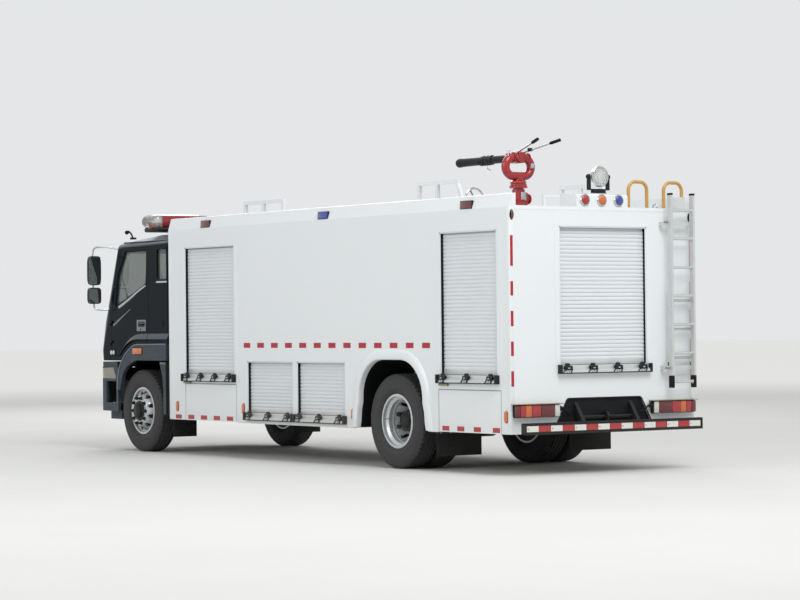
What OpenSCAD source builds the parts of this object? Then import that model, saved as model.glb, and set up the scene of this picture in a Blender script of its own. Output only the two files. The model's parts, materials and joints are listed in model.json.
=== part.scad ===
// Two-axle tanker fire truck with a tilting cab, shutter lockers and a roof monitor.
// Millimetres. +X is forward, +Y is the left side, +Z is up from the ground.
// Stations along the truck are measured forward from the rear wall of the body.

/* [Layout] */
// Distance between the axles
wheelbase = 5800; // [5700:50:6100]
// Distance from the rear wall to the rear axle
rear_overhang = 2210; // [2190:10:2300]
// Distance from the front axle back to the rear of the cab
cab_setback = 760; // [740:10:780]
// Gap between the cab and the body
cab_gap = 80; // [60:5:110]

/* [Body] */
// Width over the side walls
body_w = 2500; // [2480:10:2550]
// Height of the lower edge of the body
body_bottom = 440; // [430:5:460]
// Height of the roof deck, where the coaming begins
deck_z = 2820; // [2750:10:2900]
// Rise of the coaming above the deck
coaming_rise = 145; // [100:5:180]
// Width of the coaming at the deck
coaming_w = 90; // [80:5:110]
// Thickness of the body walls
wall_t = 30; // [26:1:36]
// Thickness of the floor, deck and partition plates
plate_t = 10; // [6:1:14]

/* [Lockers] */
// Length of the front side opening
front_door_l = 1190; // [1100:10:1220]
// Distance from the front wall back to the front side opening
front_door_inset = 410; // [380:10:440]
// Lower edge of the front side opening
front_door_z = 1020; // [1000:10:1060]
// Length of the rear side opening
rear_door_l = 1030; // [950:10:1060]
// Distance from the rear wall to the rear side opening
rear_door_inset = 220; // [200:10:250]
// Lower edge of the rear side opening
rear_door_z = 1060; // [1040:10:1090]
// Distance from the deck down to the tall side openings
side_door_drop = 230; // [200:10:320]
// Upper edge of the low openings between the axles
low_door_top = 1180; // [1120:10:1200]
// Lower edge of the low openings between the axles
low_door_z = 545; // [540:5:600]
// Width of the back opening
back_door_w = 1190; // [1000:10:1250]
// Lower edge of the back opening
back_door_z = 1160; // [1120:10:1200]
// Distance from the deck down to the back opening
back_door_drop = 195; // [170:5:320]
// Width of the trim around each opening
trim_w = 58; // [40:2:66]
// Thickness of the trim around each opening
trim_t = 6; // [4:1:10]
// Height of one shutter slat
slat_pitch = 42; // [36:2:50]
// Thickness of the shutters
shutter_t = 14; // [12:1:18]
// Depth of the shutters behind the outer face of the wall
shutter_recess = 38; // [32:1:44]
// Width of the guides that line each opening
guide_w = 14; // [10:1:20]

/* [Wheels] */
// Outer diameter of the tyres
tyre_d = 1054; // [1030:2:1060]
// Width of the tyres
tyre_w = 280; // [260:2:290]
// Outer diameter of the rim flanges
rim_d = 600; // [580:2:610]
// Distance between the centres of the front tyres
front_track = 2120; // [2100:2:2130]
// Distance between the centres of the outer rear tyres
rear_track = 2120; // [2100:2:2130]
// Distance between the centres of twin tyres
twin_pitch = 322; // [310:2:330]
// Radius of the circle of wheel nuts
nut_circle_r = 167; // [160:1:175]
// Steering angle each way, in degrees
steer_deg = 35; // [30:1:36]

/* [Chassis] */
// Height of the top of the frame rails
frame_top = 960; // [950:5:975]
// Height of the frame rails
rail_h = 260; // [230:5:280]
// Width of the flanges of the frame rails
rail_w = 80; // [70:5:90]
// Thickness of the frame rails
rail_t = 8; // [6:1:12]
// Width over the frame rails
frame_w = 860; // [840:5:880]
// Diameter of the rear axle tubes
axle_d = 140; // [120:5:150]
// Distance between the king pins
kingpin_span = 1720; // [1700:10:1730]

/* [Cab] */
// Width of the cab
cab_w = 2400; // [2360:10:2440]
// Height of the cab's underside
cab_z = 1170; // [1160:5:1185]
// Height of the cab roof
cab_top = 2810; // [2760:10:2850]
// Distance from the front axle to the cab's nose
nose_reach = 1180; // [1160:10:1220]
// Thickness of the cab walls and doors
cab_t = 55; // [45:1:65]
// Thickness of the window glass
glass_t = 6; // [4:1:8]
// Cab tilt angle, in degrees
tilt_deg = 45; // [30:1:45]
// Gap around the doors and the step panels
seam = 5; // [4:0.5:6]

/* [Fittings] */
// Height of the rear bumper's centre
tail_z = 498; // [490:1:520]
// Distance that the rear bumper stands behind the rear wall
tail_reach = 190; // [170:5:220]
// Outer tube diameter of the yellow hoops
hoop_d = 38; // [32:1:44]
// Distance between the ladder rungs
rung_pitch = 310; // [290:5:320]
// Station of the monitor's turning axis
monitor_x = 690; // [660:10:720]
// Distance of the monitor's turning axis from the centre plane
monitor_y = 600; // [580:10:620]
// Height of the monitor's pitching axis above the deck
monitor_h = 565; // [555:5:600]

/* [Hidden] */
$fn = 48;

// Main stations and heights
front_axle_x = rear_overhang + wheelbase;
cab_rear_x = front_axle_x - cab_setback;
body_len = cab_rear_x - cab_gap;
nose_x = front_axle_x + nose_reach;
mid_x = (nose_x - tail_reach) / 2;
side_y = body_w / 2;
inner_y = side_y - wall_t;
side_door_top = deck_z - side_door_drop;
back_door_top = deck_z - back_door_drop;
hub_z = tyre_d / 2;
rail_z = frame_top - rail_h;
rail_y = frame_w / 2;

// Side openings: rear and front tall ones, and two low ones between the arch and the front one
arch_half = 630;
arch_top = 1210;
arch_foot_half = 690;
low_gap = 90;
low_zone_x = rear_overhang + arch_half + 290;
front_door_x = body_len - front_door_inset - front_door_l;
low_zone_end = front_door_x - 300;
low_door_l = (low_zone_end - low_zone_x - low_gap) / 2;
// Columns: first station, length, lower edge, upper edge, number of latches
SIDE_DOORS = [
    [rear_door_inset, rear_door_l, rear_door_z, side_door_top, 3],
    [low_zone_x, low_door_l, low_door_z, low_door_top, 3],
    [low_zone_x + low_door_l + low_gap, low_door_l, low_door_z, low_door_top, 3],
    [front_door_x, front_door_l, front_door_z, side_door_top, 4]
];
BACK_DOOR = [-back_door_w / 2, back_door_w, back_door_z, back_door_top, 4];
bar_h = 56;
bar_t = 22;
bar_drop = 92;

// Step panels below the tall openings
step_h = 450;
step_pin_r = 6;
step_pin_gap = 0.05;
step_pin_bite = 26;
step_pin_z = 14;
// Columns: first station, length
STEP_REAR = [rear_door_inset - 50, rear_door_l + 90];
STEP_FRONT = [front_door_x - 30, front_door_l + 30];

// Lockers: floors outside the frame
locker_inner_y = rail_y + 130;
liner_t = 6;
arch_rear_x = rear_overhang - arch_foot_half - liner_t - 1;
arch_front_x = rear_overhang + arch_foot_half + liner_t + 1;
bulkhead_rear_x = arch_rear_x - plate_t;
bulkhead_front_x = low_zone_end + 120;
floor_z = frame_top + plate_t;

// Frame ends
frame_rear_x = 90;
frame_front_x = nose_x - 170;

// Cab outline stations
cab_side_y = cab_w / 2;
belt_z = 1700;
screen_top_x = front_axle_x + 640;
screen_base_x = nose_x - 50;
cab_corner_r = 190;
roof_edge_r = 110;
tilt_x = front_axle_x + 990;
tilt_z = 850;
tilt_r = 20;
tilt_arm = [300, 336];

// Door outline stations
door_rear_x = front_axle_x - 220;
door_front_x = front_axle_x + 790;
door_top = 2640;
door_bottom = 1235;
door_arch_z = 1430;
hinge_r = 11;
hinge_pin_r = 5;
hinge_l = 60;
hinge_out = 4;

// Wheels
bead_r = 286;
front_y = front_track / 2;
rear_y = rear_track / 2;
twin_y = rear_y - twin_pitch;
pair_y = (rear_y + twin_y) / 2;
kingpin_y = kingpin_span / 2;
kingpin_r = 22;
run_gap = 0.05;
boss_r = 48;
boss_h = 130;
fork_t = 34;
spindle_r = 38;
bearing_r = spindle_r + run_gap;
rim_t = 8;
nut_count = 10;

// Monitor
monitor_z = deck_z + monitor_h;
column_r = 62;
elbow_r = 46;
elbow_y = 70;
elbow_face = 60;
elbow_bend = 100;
trunnion_r = 26;
turn_ring_z = deck_z + 282;

// Searchlight
lamp_x = 205;
lamp_y = -110;
lamp_box_w = 700;
lamp_box_y = -10;
lamp_box_h = 155;
lamp_box_d = 300;
search_base_h = 50;
search_z = deck_z + lamp_box_h + search_base_h;
search_axis_z = search_z + 145;
search_r = 114;

// Roof hatch
hatch_x = 3700;
hatch_r = 250;
hatch_h = 150;
hatch_axis_x = hatch_x - hatch_r - 40;

// Frame holes and cross member sizes
tow_r = 18;
tow_z = rail_z + 90;
TOW_HOLES = [frame_rear_x + 60, frame_front_x - 60];
kit_r = 8;
kit_pitch_x = 150;
kit_pitch_z = 100;
kit_x = 3400;
kit_z = rail_z + rail_h / 2;
KIT_HOLES = [kit_x - kit_pitch_x / 2, kit_x + kit_pitch_x / 2];
cross_h = 120;
cross_w = 70;
cross_count = 6;

// Front axle and springs
beam_h = 100;
beam_w = 90;
beam_z = hub_z - 95;
beam_end_y = kingpin_y - boss_r - 90;
riser_y = beam_end_y - 100;
front_spring_y = rail_y - rail_w / 2;
spring_w = 76;
leaf_t = 13;
front_spring_half = 760;
rear_spring_half = 830;
seat_t = 10;

// Spring leaves
front_spring_z = beam_z + beam_h / 2 + seat_t;
rear_spring_z = hub_z + axle_d / 2 + seat_t;
FRONT_LEAVES = 4;
REAR_LEAVES = 6;

// Rear axle
drum_y = twin_y - tyre_w / 2 + 55;
bowl_r = 205;
bowl_w = 250;
stub_r = 52;

// Engine's rear end
engine_x = front_axle_x - 560;

// Cross members
cross_pitch = (engine_x - 190 - frame_rear_x) / (cross_count - 1);
CROSS_X = [for (i = [0:cross_count]) i < cross_count
    ? frame_rear_x + cross_w / 2 + i * cross_pitch : frame_front_x - 150];

// Engine's length, width and height
engine_l = 1250;
engine_w = 600;
engine_top = 1110;

// Driveline
gearbox_l = 620;
shaft_r = 50;

// Front bumper, lamps and air dam
bumper_reach = nose_x - 20;
bumper_top = 1085;
bumper_mid_top = 840;
bumper_z = 510;
bumper_t = 40;
bumper_r = 170;
bumper_rear_x = front_axle_x + 610;
dam_z = 395;
lamp_z = 935;
scuttle_l = 50;
scuttle_gap = 15;
lamp_in_y = cab_side_y - 480;
step_in_x = bumper_rear_x + 55;

// End walls
recess_top = 800;
recess_half_top = 505;
recess_half = 700;
recess_x = 66;

// Roof coaming
coaming_top_w = 30;
coaming_r = 24;
coaming_lean = (coaming_w - coaming_top_w - coaming_r) / (coaming_rise - coaming_r);

// Locker pan
hatch_pin_r = 6;
hatch_axis_z = deck_z + hatch_h + 14;
side_floor_z = body_bottom + plate_t;

// Wheel arches
flare_w = 110;
flare_t = 22;

// Shutter plane
shutter_y = side_y - shutter_recess;

// Shutter guides
guide_depth = shutter_recess + shutter_t + 10;

// Lift bars and latches
latch_w = 46;
latch_h = 74;
latch_t = 34;
lift_rod_r = 8;

// Rear bumper
tail_half = side_y - 35;
tail_h = 124;
tail_t = 60;

// Tail lamps
tail_lamp_y = tail_half - 585;
tail_lamp_l = 600;
tail_lamp_z = 610;
tail_lamp_h = 140;
tail_lamp_t = 62;

// Mudguards
guard_x = front_axle_x - 665;
guard_t = 30;
guard_in_y = cab_side_y - 500;
guard_z = 490;
guard_top = cab_z - 40;
flap_z = 165;
flap_t = 10;
front_flap_z = 205;
leg_l = 85;
leg_t = 40;
leg_gap = 12;

// Ladder
ladder_y = -840;
ladder_w = 310;
ladder_x = -105;
ladder_z = 900;
ladder_top = 2990;
stile_w = 26;
stile_d = 62;
rung_r = 15;
slide_z = 1130;
slide_h = 790;
bracket_z = [1080, 2640];

// Grab hoops
hoop_r = hoop_d / 2;
hoop_x = 95;
hoop_w = 256;
hoop_h = 300;
hoop_bend = 90;
HOOP_Y = [-438, -932];

// Roof racks
rack_tube = 40;
rack_y = 1000;
// Columns: rear station, front station, middle post's station, height, rear foot's set-back
RACKS = [[1230, 2000, 1610, 350, 140], [4800, 5710, 5250, 300, 0]];

// Deck fittings
bracket_x = 1200;
BRACKET_Y = [-450, -120];
bracket_h = 210;
valve_x = 1360;
valve_y = 750;
valve_z = 140;
valve_r = 132;

// Lamp box
LAMP_Y = [230, 0, -230];
lamp_r = 55;

// Marker lamps
marker_t = 12;
// Columns: first station, last station, lower edge, upper edge
SIDE_MARKERS = [
    [body_len - 205, body_len - 180, 520, 640], [low_zone_end + 95, low_zone_end + 120, 510, 650],
    [low_zone_x - 160, low_zone_x - 135, 510, 640], [75, 100, 550, 680]
];
TOP_LAMPS = [[660, 860], [3470, 3680], [6230, 6460]];

// Monitor base
base_flange_r = 115;
post_r = 38;
post_top = turn_ring_z + 30;

// Monitor head

// Monitor barrel
cross_r = 52;
barrel_r = 45;
barrel_x = 1090;
grip_x = -545;
grip_z = 165;
grip_y = 150;

// Searchlight yoke
yoke_t = 14;
yoke_in = search_r + 8;
search_pin_r = 9;

// Cab form
// Columns: station, half width of the surface, height of the centre, radius
CAB_FORM = [
    [cab_rear_x + 60, cab_side_y, cab_z + 30, 60],
    [cab_rear_x + 60, cab_side_y, cab_top - 160, 60],
    [cab_rear_x + 90, cab_side_y - 390, cab_top - 60, 60],
    [screen_top_x - 450, cab_side_y - 390, cab_top - 66, 60],
    [screen_top_x - 55, cab_side_y - 12, cab_top - 195, 85],
    [screen_top_x - 25, cab_side_y - 550, cab_top - 190, 100],
    [screen_base_x - 190, cab_side_y - 20, belt_z - 40, 110],
    [screen_base_x - 100, cab_side_y - 560, belt_z - 40, 110],
    [nose_x - 190, cab_side_y, cab_z + 130, 120],
    [nose_x - 120, cab_side_y - 560, cab_z + 130, 120],
    [nose_x - 200, cab_side_y, cab_z + 30, 110],
    [nose_x - 130, cab_side_y - 560, cab_z + 30, 110]
];

// Cab shell
hinge_x = door_front_x - seam / 2;
hinge_y = cab_side_y + hinge_out;
HINGE_Z = [1400, 1660];

// Door glass
glass_in = 20;

// Cab interior
seat_y = 560;
seat_w = 520;
floor_top = cab_z + cab_t;
seat_x = cab_rear_x + 200;
dash_x = screen_base_x - 420;

// Steering wheel
wheel_lean = 35;
wheel_x = dash_x - 150;
wheel_z = floor_top + 620;
column_head = [wheel_x, seat_y, wheel_z];
column_foot = column_head + 260 * [sin(wheel_lean), 0, -cos(wheel_lean)];
wheel_r = 225;
wheel_tube = 16;

// Light bar
bar_x = front_axle_x + 290;
bar_half = 850;
bar_z = cab_top + 35;
bar_top_h = 200;
bar_d = 400;

// Mirrors
mirror_y = 1370;
mirror_x = nose_x - 230;
mirror_w = 185;
mirror_t = 90;
arm_r_tube = 13;
arm_top_z = door_top - 20;
arm_low_z = belt_z + 150;
// Columns: lower edge, upper edge
MIRROR_Z = [[2160, 2545], [1915, 2130]];
// Columns: height of the arm at the mirror, its end on the cab
MIRROR_FEET = [
    [MIRROR_Z[0][1] + 60, [screen_top_x, cab_side_y - 58, arm_top_z]],
    [MIRROR_Z[1][0] - 60, [screen_base_x - 238, cab_side_y - 38, arm_low_z]]
];

// Arch trim of the cab
trim_out = 50;

// Knuckle
ear_gap = 0.3;
web_y = kingpin_y + boss_r + 8;
web_t = 30;
spindle_end = front_y + 130;

// Tyre section
tyre_half = tyre_w / 2;
rim_half = 114;
flange_t = 10;
rim_r = rim_d / 2;
groove_w = 9;
groove_d = 11;
GROOVES = [-72, -26, 26, 72];

// Rim section
well_r = 255;
disc_y = twin_pitch / 2;
disc_t = 12;
disc_edge_r = 192;
hub_r = 118;
hand_hole_r = 27;

// Wheel nuts
nut_r = 17;
nut_h = 30;

// Front rim
front_drum_y = web_y + web_t + 8;
drum_r = 200;

// Helpers

// Moves a piece from stations to the part's own frame
module on_truck() {
    translate([-mid_x, 0, 0]) children();
}

// Draws a piece on the left side and its mirror image on the right
module both_sides() {
    children();
    mirror([0, 1, 0]) children();
}

// A box between two limits on each axis
module block(xs, ys, zs) {
    translate([xs[0], ys[0], zs[0]])
        cube([xs[1] - xs[0], ys[1] - ys[0], zs[1] - zs[0]]);
}

// A box with its mirror image
module blocks(xs, ys, zs) {
    both_sides() block(xs, ys, zs);
}

// A round bar between two points
module rod(from, to, r) {
    d = to - from;
    flat = norm([d[0], d[1]]);
    translate(from)
        rotate([0, atan2(flat, d[2]), atan2(d[1], d[0])])
            cylinder(r = r, h = norm(d));
}

// Extrudes an outline in X and Z along Y between two limits
module plate_y(ys) {
    translate([0, ys[1], 0])
        rotate([90, 0, 0])
            linear_extrude(ys[1] - ys[0]) children();
}

// Extrudes an outline in Y and Z along X between two limits
module plate_x(xs) {
    translate([xs[0], 0, 0])
        rotate([90, 0, 90])
            linear_extrude(xs[1] - xs[0]) children();
}

// Extrudes an outline in X and Y upward between two heights
module plate_z(zs) {
    translate([0, 0, zs[0]])
        linear_extrude(zs[1] - zs[0]) children();
}

// A flat rectangle between two limits
module area(us, vs) {
    translate([us[0], vs[0]]) square([us[1] - us[0], vs[1] - vs[0]]);
}

// A flat rectangle with round corners
module soft_area(us, vs, r) {
    area([us[0] + r, us[1] - r], vs);
    area(us, [vs[0] + r, vs[1] - r]);
    for (u = [us[0] + r, us[1] - r], v = [vs[0] + r, vs[1] - r])
        translate([u, v]) circle(r);
}

// A bent tube: an arc of radius bend_r and angle a, in the XY plane from the X axis
module bend(bend_r, r, a) {
    rotate_extrude(angle = a) translate([bend_r, 0]) circle(r);
}

// Turns children about a spin axis along Y at a hub
module at_hub(x, y) {
    translate([x, y, hub_z]) rotate([-90, 0, 0]) children();
}

// Chassis

module rail() {
    difference() {
        block([frame_rear_x, frame_front_x], [rail_y - rail_w, rail_y], [rail_z, frame_top]);
        block([frame_rear_x - 1, frame_front_x + 1], [rail_y - rail_w - 1, rail_y - rail_t],
            [rail_z + rail_t, frame_top - rail_t]);
        for (x = TOW_HOLES) translate([x, rail_y - rail_t - 1, tow_z]) rotate([-90, 0, 0])
            cylinder(r = tow_r, h = rail_t + 2);
        for (x = KIT_HOLES, z = [-kit_pitch_z / 2, kit_pitch_z / 2])
            translate([x, rail_y - rail_t - 1, kit_z + z]) rotate([-90, 0, 0])
                cylinder(r = kit_r, h = rail_t + 2);
    }
}

module chassis_frame() {
    color("#26282b") on_truck() {
        both_sides() rail();
        for (x = CROSS_X)
            block([x - cross_w / 2, x + cross_w / 2], [-rail_y + rail_t, rail_y - rail_t],
                [frame_top - rail_t - cross_h, frame_top - rail_t]);
        blocks([tilt_x - 60, frame_front_x], [tilt_arm[1] + 6, rail_y - rail_w], [rail_z, frame_top]);
        both_sides() translate([tilt_x, tilt_arm[0] - 4, tilt_z]) rotate([-90, 0, 0])
            cylinder(r = tilt_r, h = tilt_arm[1] - tilt_arm[0] + 14);
    }
}

module axle_front() {
    color("#2b2d30") on_truck() translate([front_axle_x, 0, 0]) difference() {
        union() {
            block([-beam_w / 2, beam_w / 2], [-beam_end_y, beam_end_y],
                [beam_z - beam_h / 2, beam_z + beam_h / 2]);
            blocks([-beam_w / 2 + 5, beam_w / 2 - 5], [riser_y, kingpin_y - boss_r + 10],
                [beam_z + beam_h / 2, hub_z + boss_h / 2 - 20]);
            both_sides() translate([0, kingpin_y, hub_z - boss_h / 2])
                cylinder(r = boss_r, h = boss_h);
            blocks([-90, 90], [front_spring_y - spring_w / 2, front_spring_y + spring_w / 2],
                [beam_z + beam_h / 2, front_spring_z]);
        }
        both_sides() translate([0, kingpin_y, hub_z - boss_h])
            cylinder(r = kingpin_r + run_gap, h = boss_h * 2);
    }
}

// A stack of leaves with its lowest leaf at z, its eyes hung from the rail
module spring_pack(x, z, half, count, y) {
    for (i = [0:count - 1])
        block([x - half * (i + 1) / count, x + half * (i + 1) / count],
            [y - spring_w / 2, y + spring_w / 2], [z + i * leaf_t, z + (i + 1) * leaf_t]);
    for (s = [-1, 1])
        block([x + s * half - 40, x + s * half + 40], [y - spring_w / 2, y + spring_w / 2],
            [z + count * leaf_t, rail_z]);
}

module leaf_springs() {
    color("#303236") on_truck() both_sides() {
        spring_pack(front_axle_x, front_spring_z, front_spring_half, FRONT_LEAVES,
            front_spring_y);
        spring_pack(rear_overhang, rear_spring_z, rear_spring_half, REAR_LEAVES,
            front_spring_y);
    }
}

module axle_rear() {
    color("#2b2d30") on_truck() translate([rear_overhang, 0, 0]) {
        translate([0, -drum_y, hub_z]) rotate([-90, 0, 0])
            cylinder(r = axle_d / 2, h = drum_y * 2);
        translate([0, -bowl_w / 2, hub_z]) rotate([-90, 0, 0])
            cylinder(r = bowl_r, h = bowl_w);
        both_sides() translate([0, drum_y, hub_z]) rotate([-90, 0, 0])
            cylinder(r = stub_r, h = rear_y - drum_y - 40);
        blocks([-110, 110], [front_spring_y - spring_w / 2, front_spring_y + spring_w / 2],
            [hub_z + 20, rear_spring_z]);
        translate([-bowl_r + 20, 0, hub_z]) rotate([0, 90, 0])
            cylinder(r = 90, h = bowl_r * 2 + 60);
    }
}

module engine_block() {
    color("#3a3c3e") on_truck() {
        block([engine_x, engine_x + engine_l], [-engine_w / 2, engine_w / 2], [600, engine_top]);
        for (x = [engine_x + 220, engine_x + 920])
            blocks([x, x + 110], [engine_w / 2, rail_y - rail_t], [780, 840]);
    }
}

module driveline() {
    color("#34363a") on_truck() {
        block([engine_x - gearbox_l, engine_x], [-210, 210], [640, frame_top - 140]);
        translate([rear_overhang + bowl_r + 80, 0, hub_z]) rotate([0, 90, 0]) cylinder(r = 70, h = 40);
        rod([rear_overhang + bowl_r + 105, 0, hub_z], [engine_x - gearbox_l, 0, 740], shaft_r);
    }
}

module underbody_tanks() {
    color("#2a2c2f") on_truck() {
        for (y = [-1, 1]) translate([low_zone_x + 300, y * 250, rail_z - 130])
            rotate([0, 90, 0]) cylinder(r = 120, h = 900);
        for (x = [low_zone_x + 420, low_zone_x + 1020])
            blocks([x, x + 60], [200, rail_y], [rail_z - 30, rail_z]);
    }
}

// The bumper's shape from above, smaller all round by inset
module bumper_plan(inset) {
    difference() {
        soft_area([front_axle_x, bumper_reach - inset], [-cab_side_y + inset, cab_side_y - inset],
            bumper_r - inset);
        area([front_axle_x - 1, bumper_rear_x], [-cab_side_y - 1, cab_side_y + 1]);
    }
}

module bumper_shell(zs) {
    plate_z(zs) difference() {
        bumper_plan(0);
        bumper_plan(bumper_t);
        area([bumper_rear_x - 1, bumper_rear_x + bumper_t + 1],
            [-cab_side_y + bumper_t, cab_side_y - bumper_t]);
    }
}

// The part of the bumper that the headlamps fill
module headlamp_space() {
    both_sides() plate_y([lamp_in_y, cab_side_y + 1]) polygon([
        [bumper_rear_x + 50, lamp_z], [nose_x, lamp_z], [nose_x, bumper_top - 20],
        [bumper_rear_x + 130, bumper_top - 5]
    ]);
}

module front_bumper() {
    color("#1b1d20") on_truck() {
        difference() {
            bumper_shell([bumper_z, bumper_top]);
            headlamp_space();
            block([bumper_reach - bumper_t - 1, nose_x], [-700, 700], [bumper_mid_top, bumper_top + 1]);
            blocks([bumper_rear_x + 50, bumper_reach - bumper_r - 60],
                [cab_side_y - bumper_t - 1, cab_side_y + 1], [620, lamp_z - 35]);
        }
        blocks([step_in_x, bumper_reach - bumper_r - 40], [cab_side_y - 220, cab_side_y - bumper_t],
            [600, 620]);
        blocks([step_in_x, bumper_reach - bumper_r - 40], [cab_side_y - 230, cab_side_y - 220],
            [600, lamp_z - 30]);
        blocks([bumper_rear_x + 40, tilt_x + scuttle_l], [cab_side_y - 70, cab_side_y - 12],
            [bumper_top - 4, cab_z - scuttle_gap]);
        blocks([tilt_x + scuttle_l - 30, tilt_x + scuttle_l], [tilt_arm[1] + 350, cab_side_y - 70],
            [bumper_top - 4, cab_z - scuttle_gap]);
        block([bumper_reach - 320, bumper_reach - 20], [-1020, 1020], [dam_z, bumper_z]);
        blocks([frame_front_x, bumper_reach - bumper_t], [rail_y - rail_w, rail_y],
            [rail_z, frame_top]);
        blocks([bumper_reach - bumper_t - 40, bumper_reach - bumper_t], [300, cab_side_y - bumper_r - 10],
            [640, 720]);
    }
}

module headlamps() {
    color("#cfd3cf") on_truck() intersection() {
        bumper_shell([lamp_z, bumper_top]);
        headlamp_space();
    }
}

// Body

// The wheel arch seen from the side, larger all round by grow
module arch_area(grow) {
    r = 430 + grow;
    hull_x = arch_half + grow;
    union() {
        soft_area([rear_overhang - hull_x, rear_overhang + hull_x], [0, arch_top + grow], r);
        polygon([
            [rear_overhang - hull_x, 800], [rear_overhang + hull_x, 800],
            [rear_overhang + arch_foot_half + grow, body_bottom - 1],
            [rear_overhang - arch_foot_half - grow, body_bottom - 1]
        ]);
    }
}

module door_area(d) {
    area([d[0], d[0] + d[1]], [d[2], d[3]]);
}

module step_area(s, gap) {
    area([s[0] - gap, s[0] + s[1] + gap], [body_bottom - gap, body_bottom + step_h + gap]);
}

module trim_ring(d, foot) {
    difference() {
        area([d[0] - trim_w, d[0] + d[1] + trim_w], [d[2] - foot, d[3] + trim_w / 2]);
        door_area(d);
    }
}

module step_pin_cut(s) {
    for (x = [s[0] - seam - step_pin_bite, s[0] + s[1]])
        translate([x - 0.5, inner_y + wall_t / 2, body_bottom + step_pin_z]) rotate([0, 90, 0])
            cylinder(r = step_pin_r + step_pin_gap, h = step_pin_bite + seam + 1);
}

module side_wall() {
    difference() {
        plate_y([inner_y, side_y]) difference() {
            area([0, body_len], [body_bottom, deck_z]);
            for (d = SIDE_DOORS) door_area(d);
            arch_area(0);
            step_area(STEP_REAR, seam);
            step_area(STEP_FRONT, seam);
        }
        step_pin_cut(STEP_REAR);
        step_pin_cut(STEP_FRONT);
    }
    for (d = SIDE_DOORS) plate_y([side_y, side_y + trim_t]) trim_ring(d, bar_drop + 8);
}

module side_walls() {
    color("#eef0ef") on_truck() both_sides() side_wall();
}

// The recess around the tow bar, seen from behind
module recess_area() {
    polygon([
        [-recess_half_top, recess_top], [recess_half_top, recess_top],
        [recess_half, body_bottom - 1], [-recess_half, body_bottom - 1]
    ]);
}

module end_walls() {
    color("#eef0ef") on_truck() {
        plate_x([0, wall_t - plate_t]) difference() {
            area([-inner_y, inner_y], [body_bottom, deck_z]);
            door_area(BACK_DOOR);
            recess_area();
        }
        plate_x([wall_t - plate_t, wall_t]) difference() {
            area([-inner_y, inner_y], [body_bottom, deck_z]);
            door_area(BACK_DOOR);
            intersection() {
                recess_area();
                area([-locker_inner_y + plate_t + 1, locker_inner_y - plate_t - 1], [0, deck_z]);
            }
        }
        plate_x([-trim_t, 0]) trim_ring(BACK_DOOR, bar_drop + 8);
        plate_x([body_len - wall_t, body_len]) difference() {
            area([-inner_y, inner_y], [body_bottom, deck_z]);
            area([-locker_inner_y, locker_inner_y], [body_bottom - 1, frame_top]);
        }
    }
}

module coaming_area() {
    top = deck_z + coaming_rise;
    union() {
        polygon([
            [side_y - coaming_w, deck_z], [side_y, deck_z],
            [side_y - coaming_w + coaming_top_w + coaming_r, top - coaming_r],
            [side_y - coaming_w + coaming_top_w, top], [side_y - coaming_w, top]
        ]);
        translate([side_y - coaming_w + coaming_top_w, top - coaming_r]) circle(coaming_r);
    }
}

module roof_deck() {
    color("#e9ebea") on_truck() {
        difference() {
            block([wall_t, body_len - wall_t], [-inner_y, inner_y], [deck_z - plate_t, deck_z]);
            translate([hatch_x, 0, deck_z - plate_t - 1]) cylinder(r = hatch_r - 20, h = plate_t + 2);
        }
        both_sides() plate_x([0, body_len]) coaming_area();
        block([body_len - coaming_w, body_len], [-side_y + coaming_w, side_y - coaming_w],
            [deck_z, deck_z + coaming_rise]);
        block([0, 15], [-side_y + coaming_w, side_y - coaming_w], [deck_z, deck_z + 15]);
        translate([hatch_x, 0, deck_z]) difference() {
            cylinder(r = hatch_r, h = hatch_h);
            translate([0, 0, -1]) cylinder(r = hatch_r - 20, h = hatch_h + 2);
        }
        both_sides() plate_y([80, 100]) difference() {
            union() {
                area([hatch_axis_x - 16, hatch_x - hatch_r - 17], [deck_z, hatch_axis_z]);
                translate([hatch_axis_x, hatch_axis_z]) circle(16);
            }
            translate([hatch_axis_x, hatch_axis_z]) circle(hatch_pin_r + run_gap);
        }
    }
}

// A locker floor with its inner wall and end plates, on the left side
module locker_pan(x0, x1) {
    block([x0, x1], [locker_inner_y, inner_y], [body_bottom, side_floor_z]);
    block([x0, x1], [locker_inner_y - plate_t, locker_inner_y], [body_bottom, frame_top]);
}

module body_floor() {
    color("#d9dbda") on_truck() {
        difference() {
            block([wall_t, body_len - wall_t], [-inner_y, inner_y], [frame_top, floor_z]);
            blocks([rear_overhang - arch_half - liner_t, bulkhead_front_x],
                [locker_inner_y, inner_y + 1], [frame_top - 1, floor_z + 1]);
        }
        difference() {
            both_sides() {
                locker_pan(wall_t, arch_rear_x);
                locker_pan(arch_front_x, body_len - wall_t);
            }
            for (s = [STEP_REAR, STEP_FRONT])
                blocks([s[0] - 10, s[0] + s[1] + 10], [inner_y - 15, inner_y + 1],
                    [body_bottom - 1, side_floor_z + 1]);
        }
        for (x = [bulkhead_rear_x, bulkhead_front_x])
            block([x, x + plate_t], [-inner_y, inner_y], [floor_z, deck_z - plate_t]);
        for (x = [bulkhead_rear_x, bulkhead_front_x])
            blocks([x, x + plate_t], [locker_inner_y, inner_y], [side_floor_z, frame_top]);
        blocks([arch_front_x, arch_front_x + plate_t], [locker_inner_y, inner_y],
            [side_floor_z, arch_top]);
        blocks([arch_front_x, bulkhead_front_x], [locker_inner_y, inner_y],
            [arch_top, arch_top + plate_t]);
        blocks([arch_rear_x, bulkhead_front_x], [locker_inner_y - plate_t, locker_inner_y],
            [floor_z, arch_top + plate_t]);
    }
}

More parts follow.
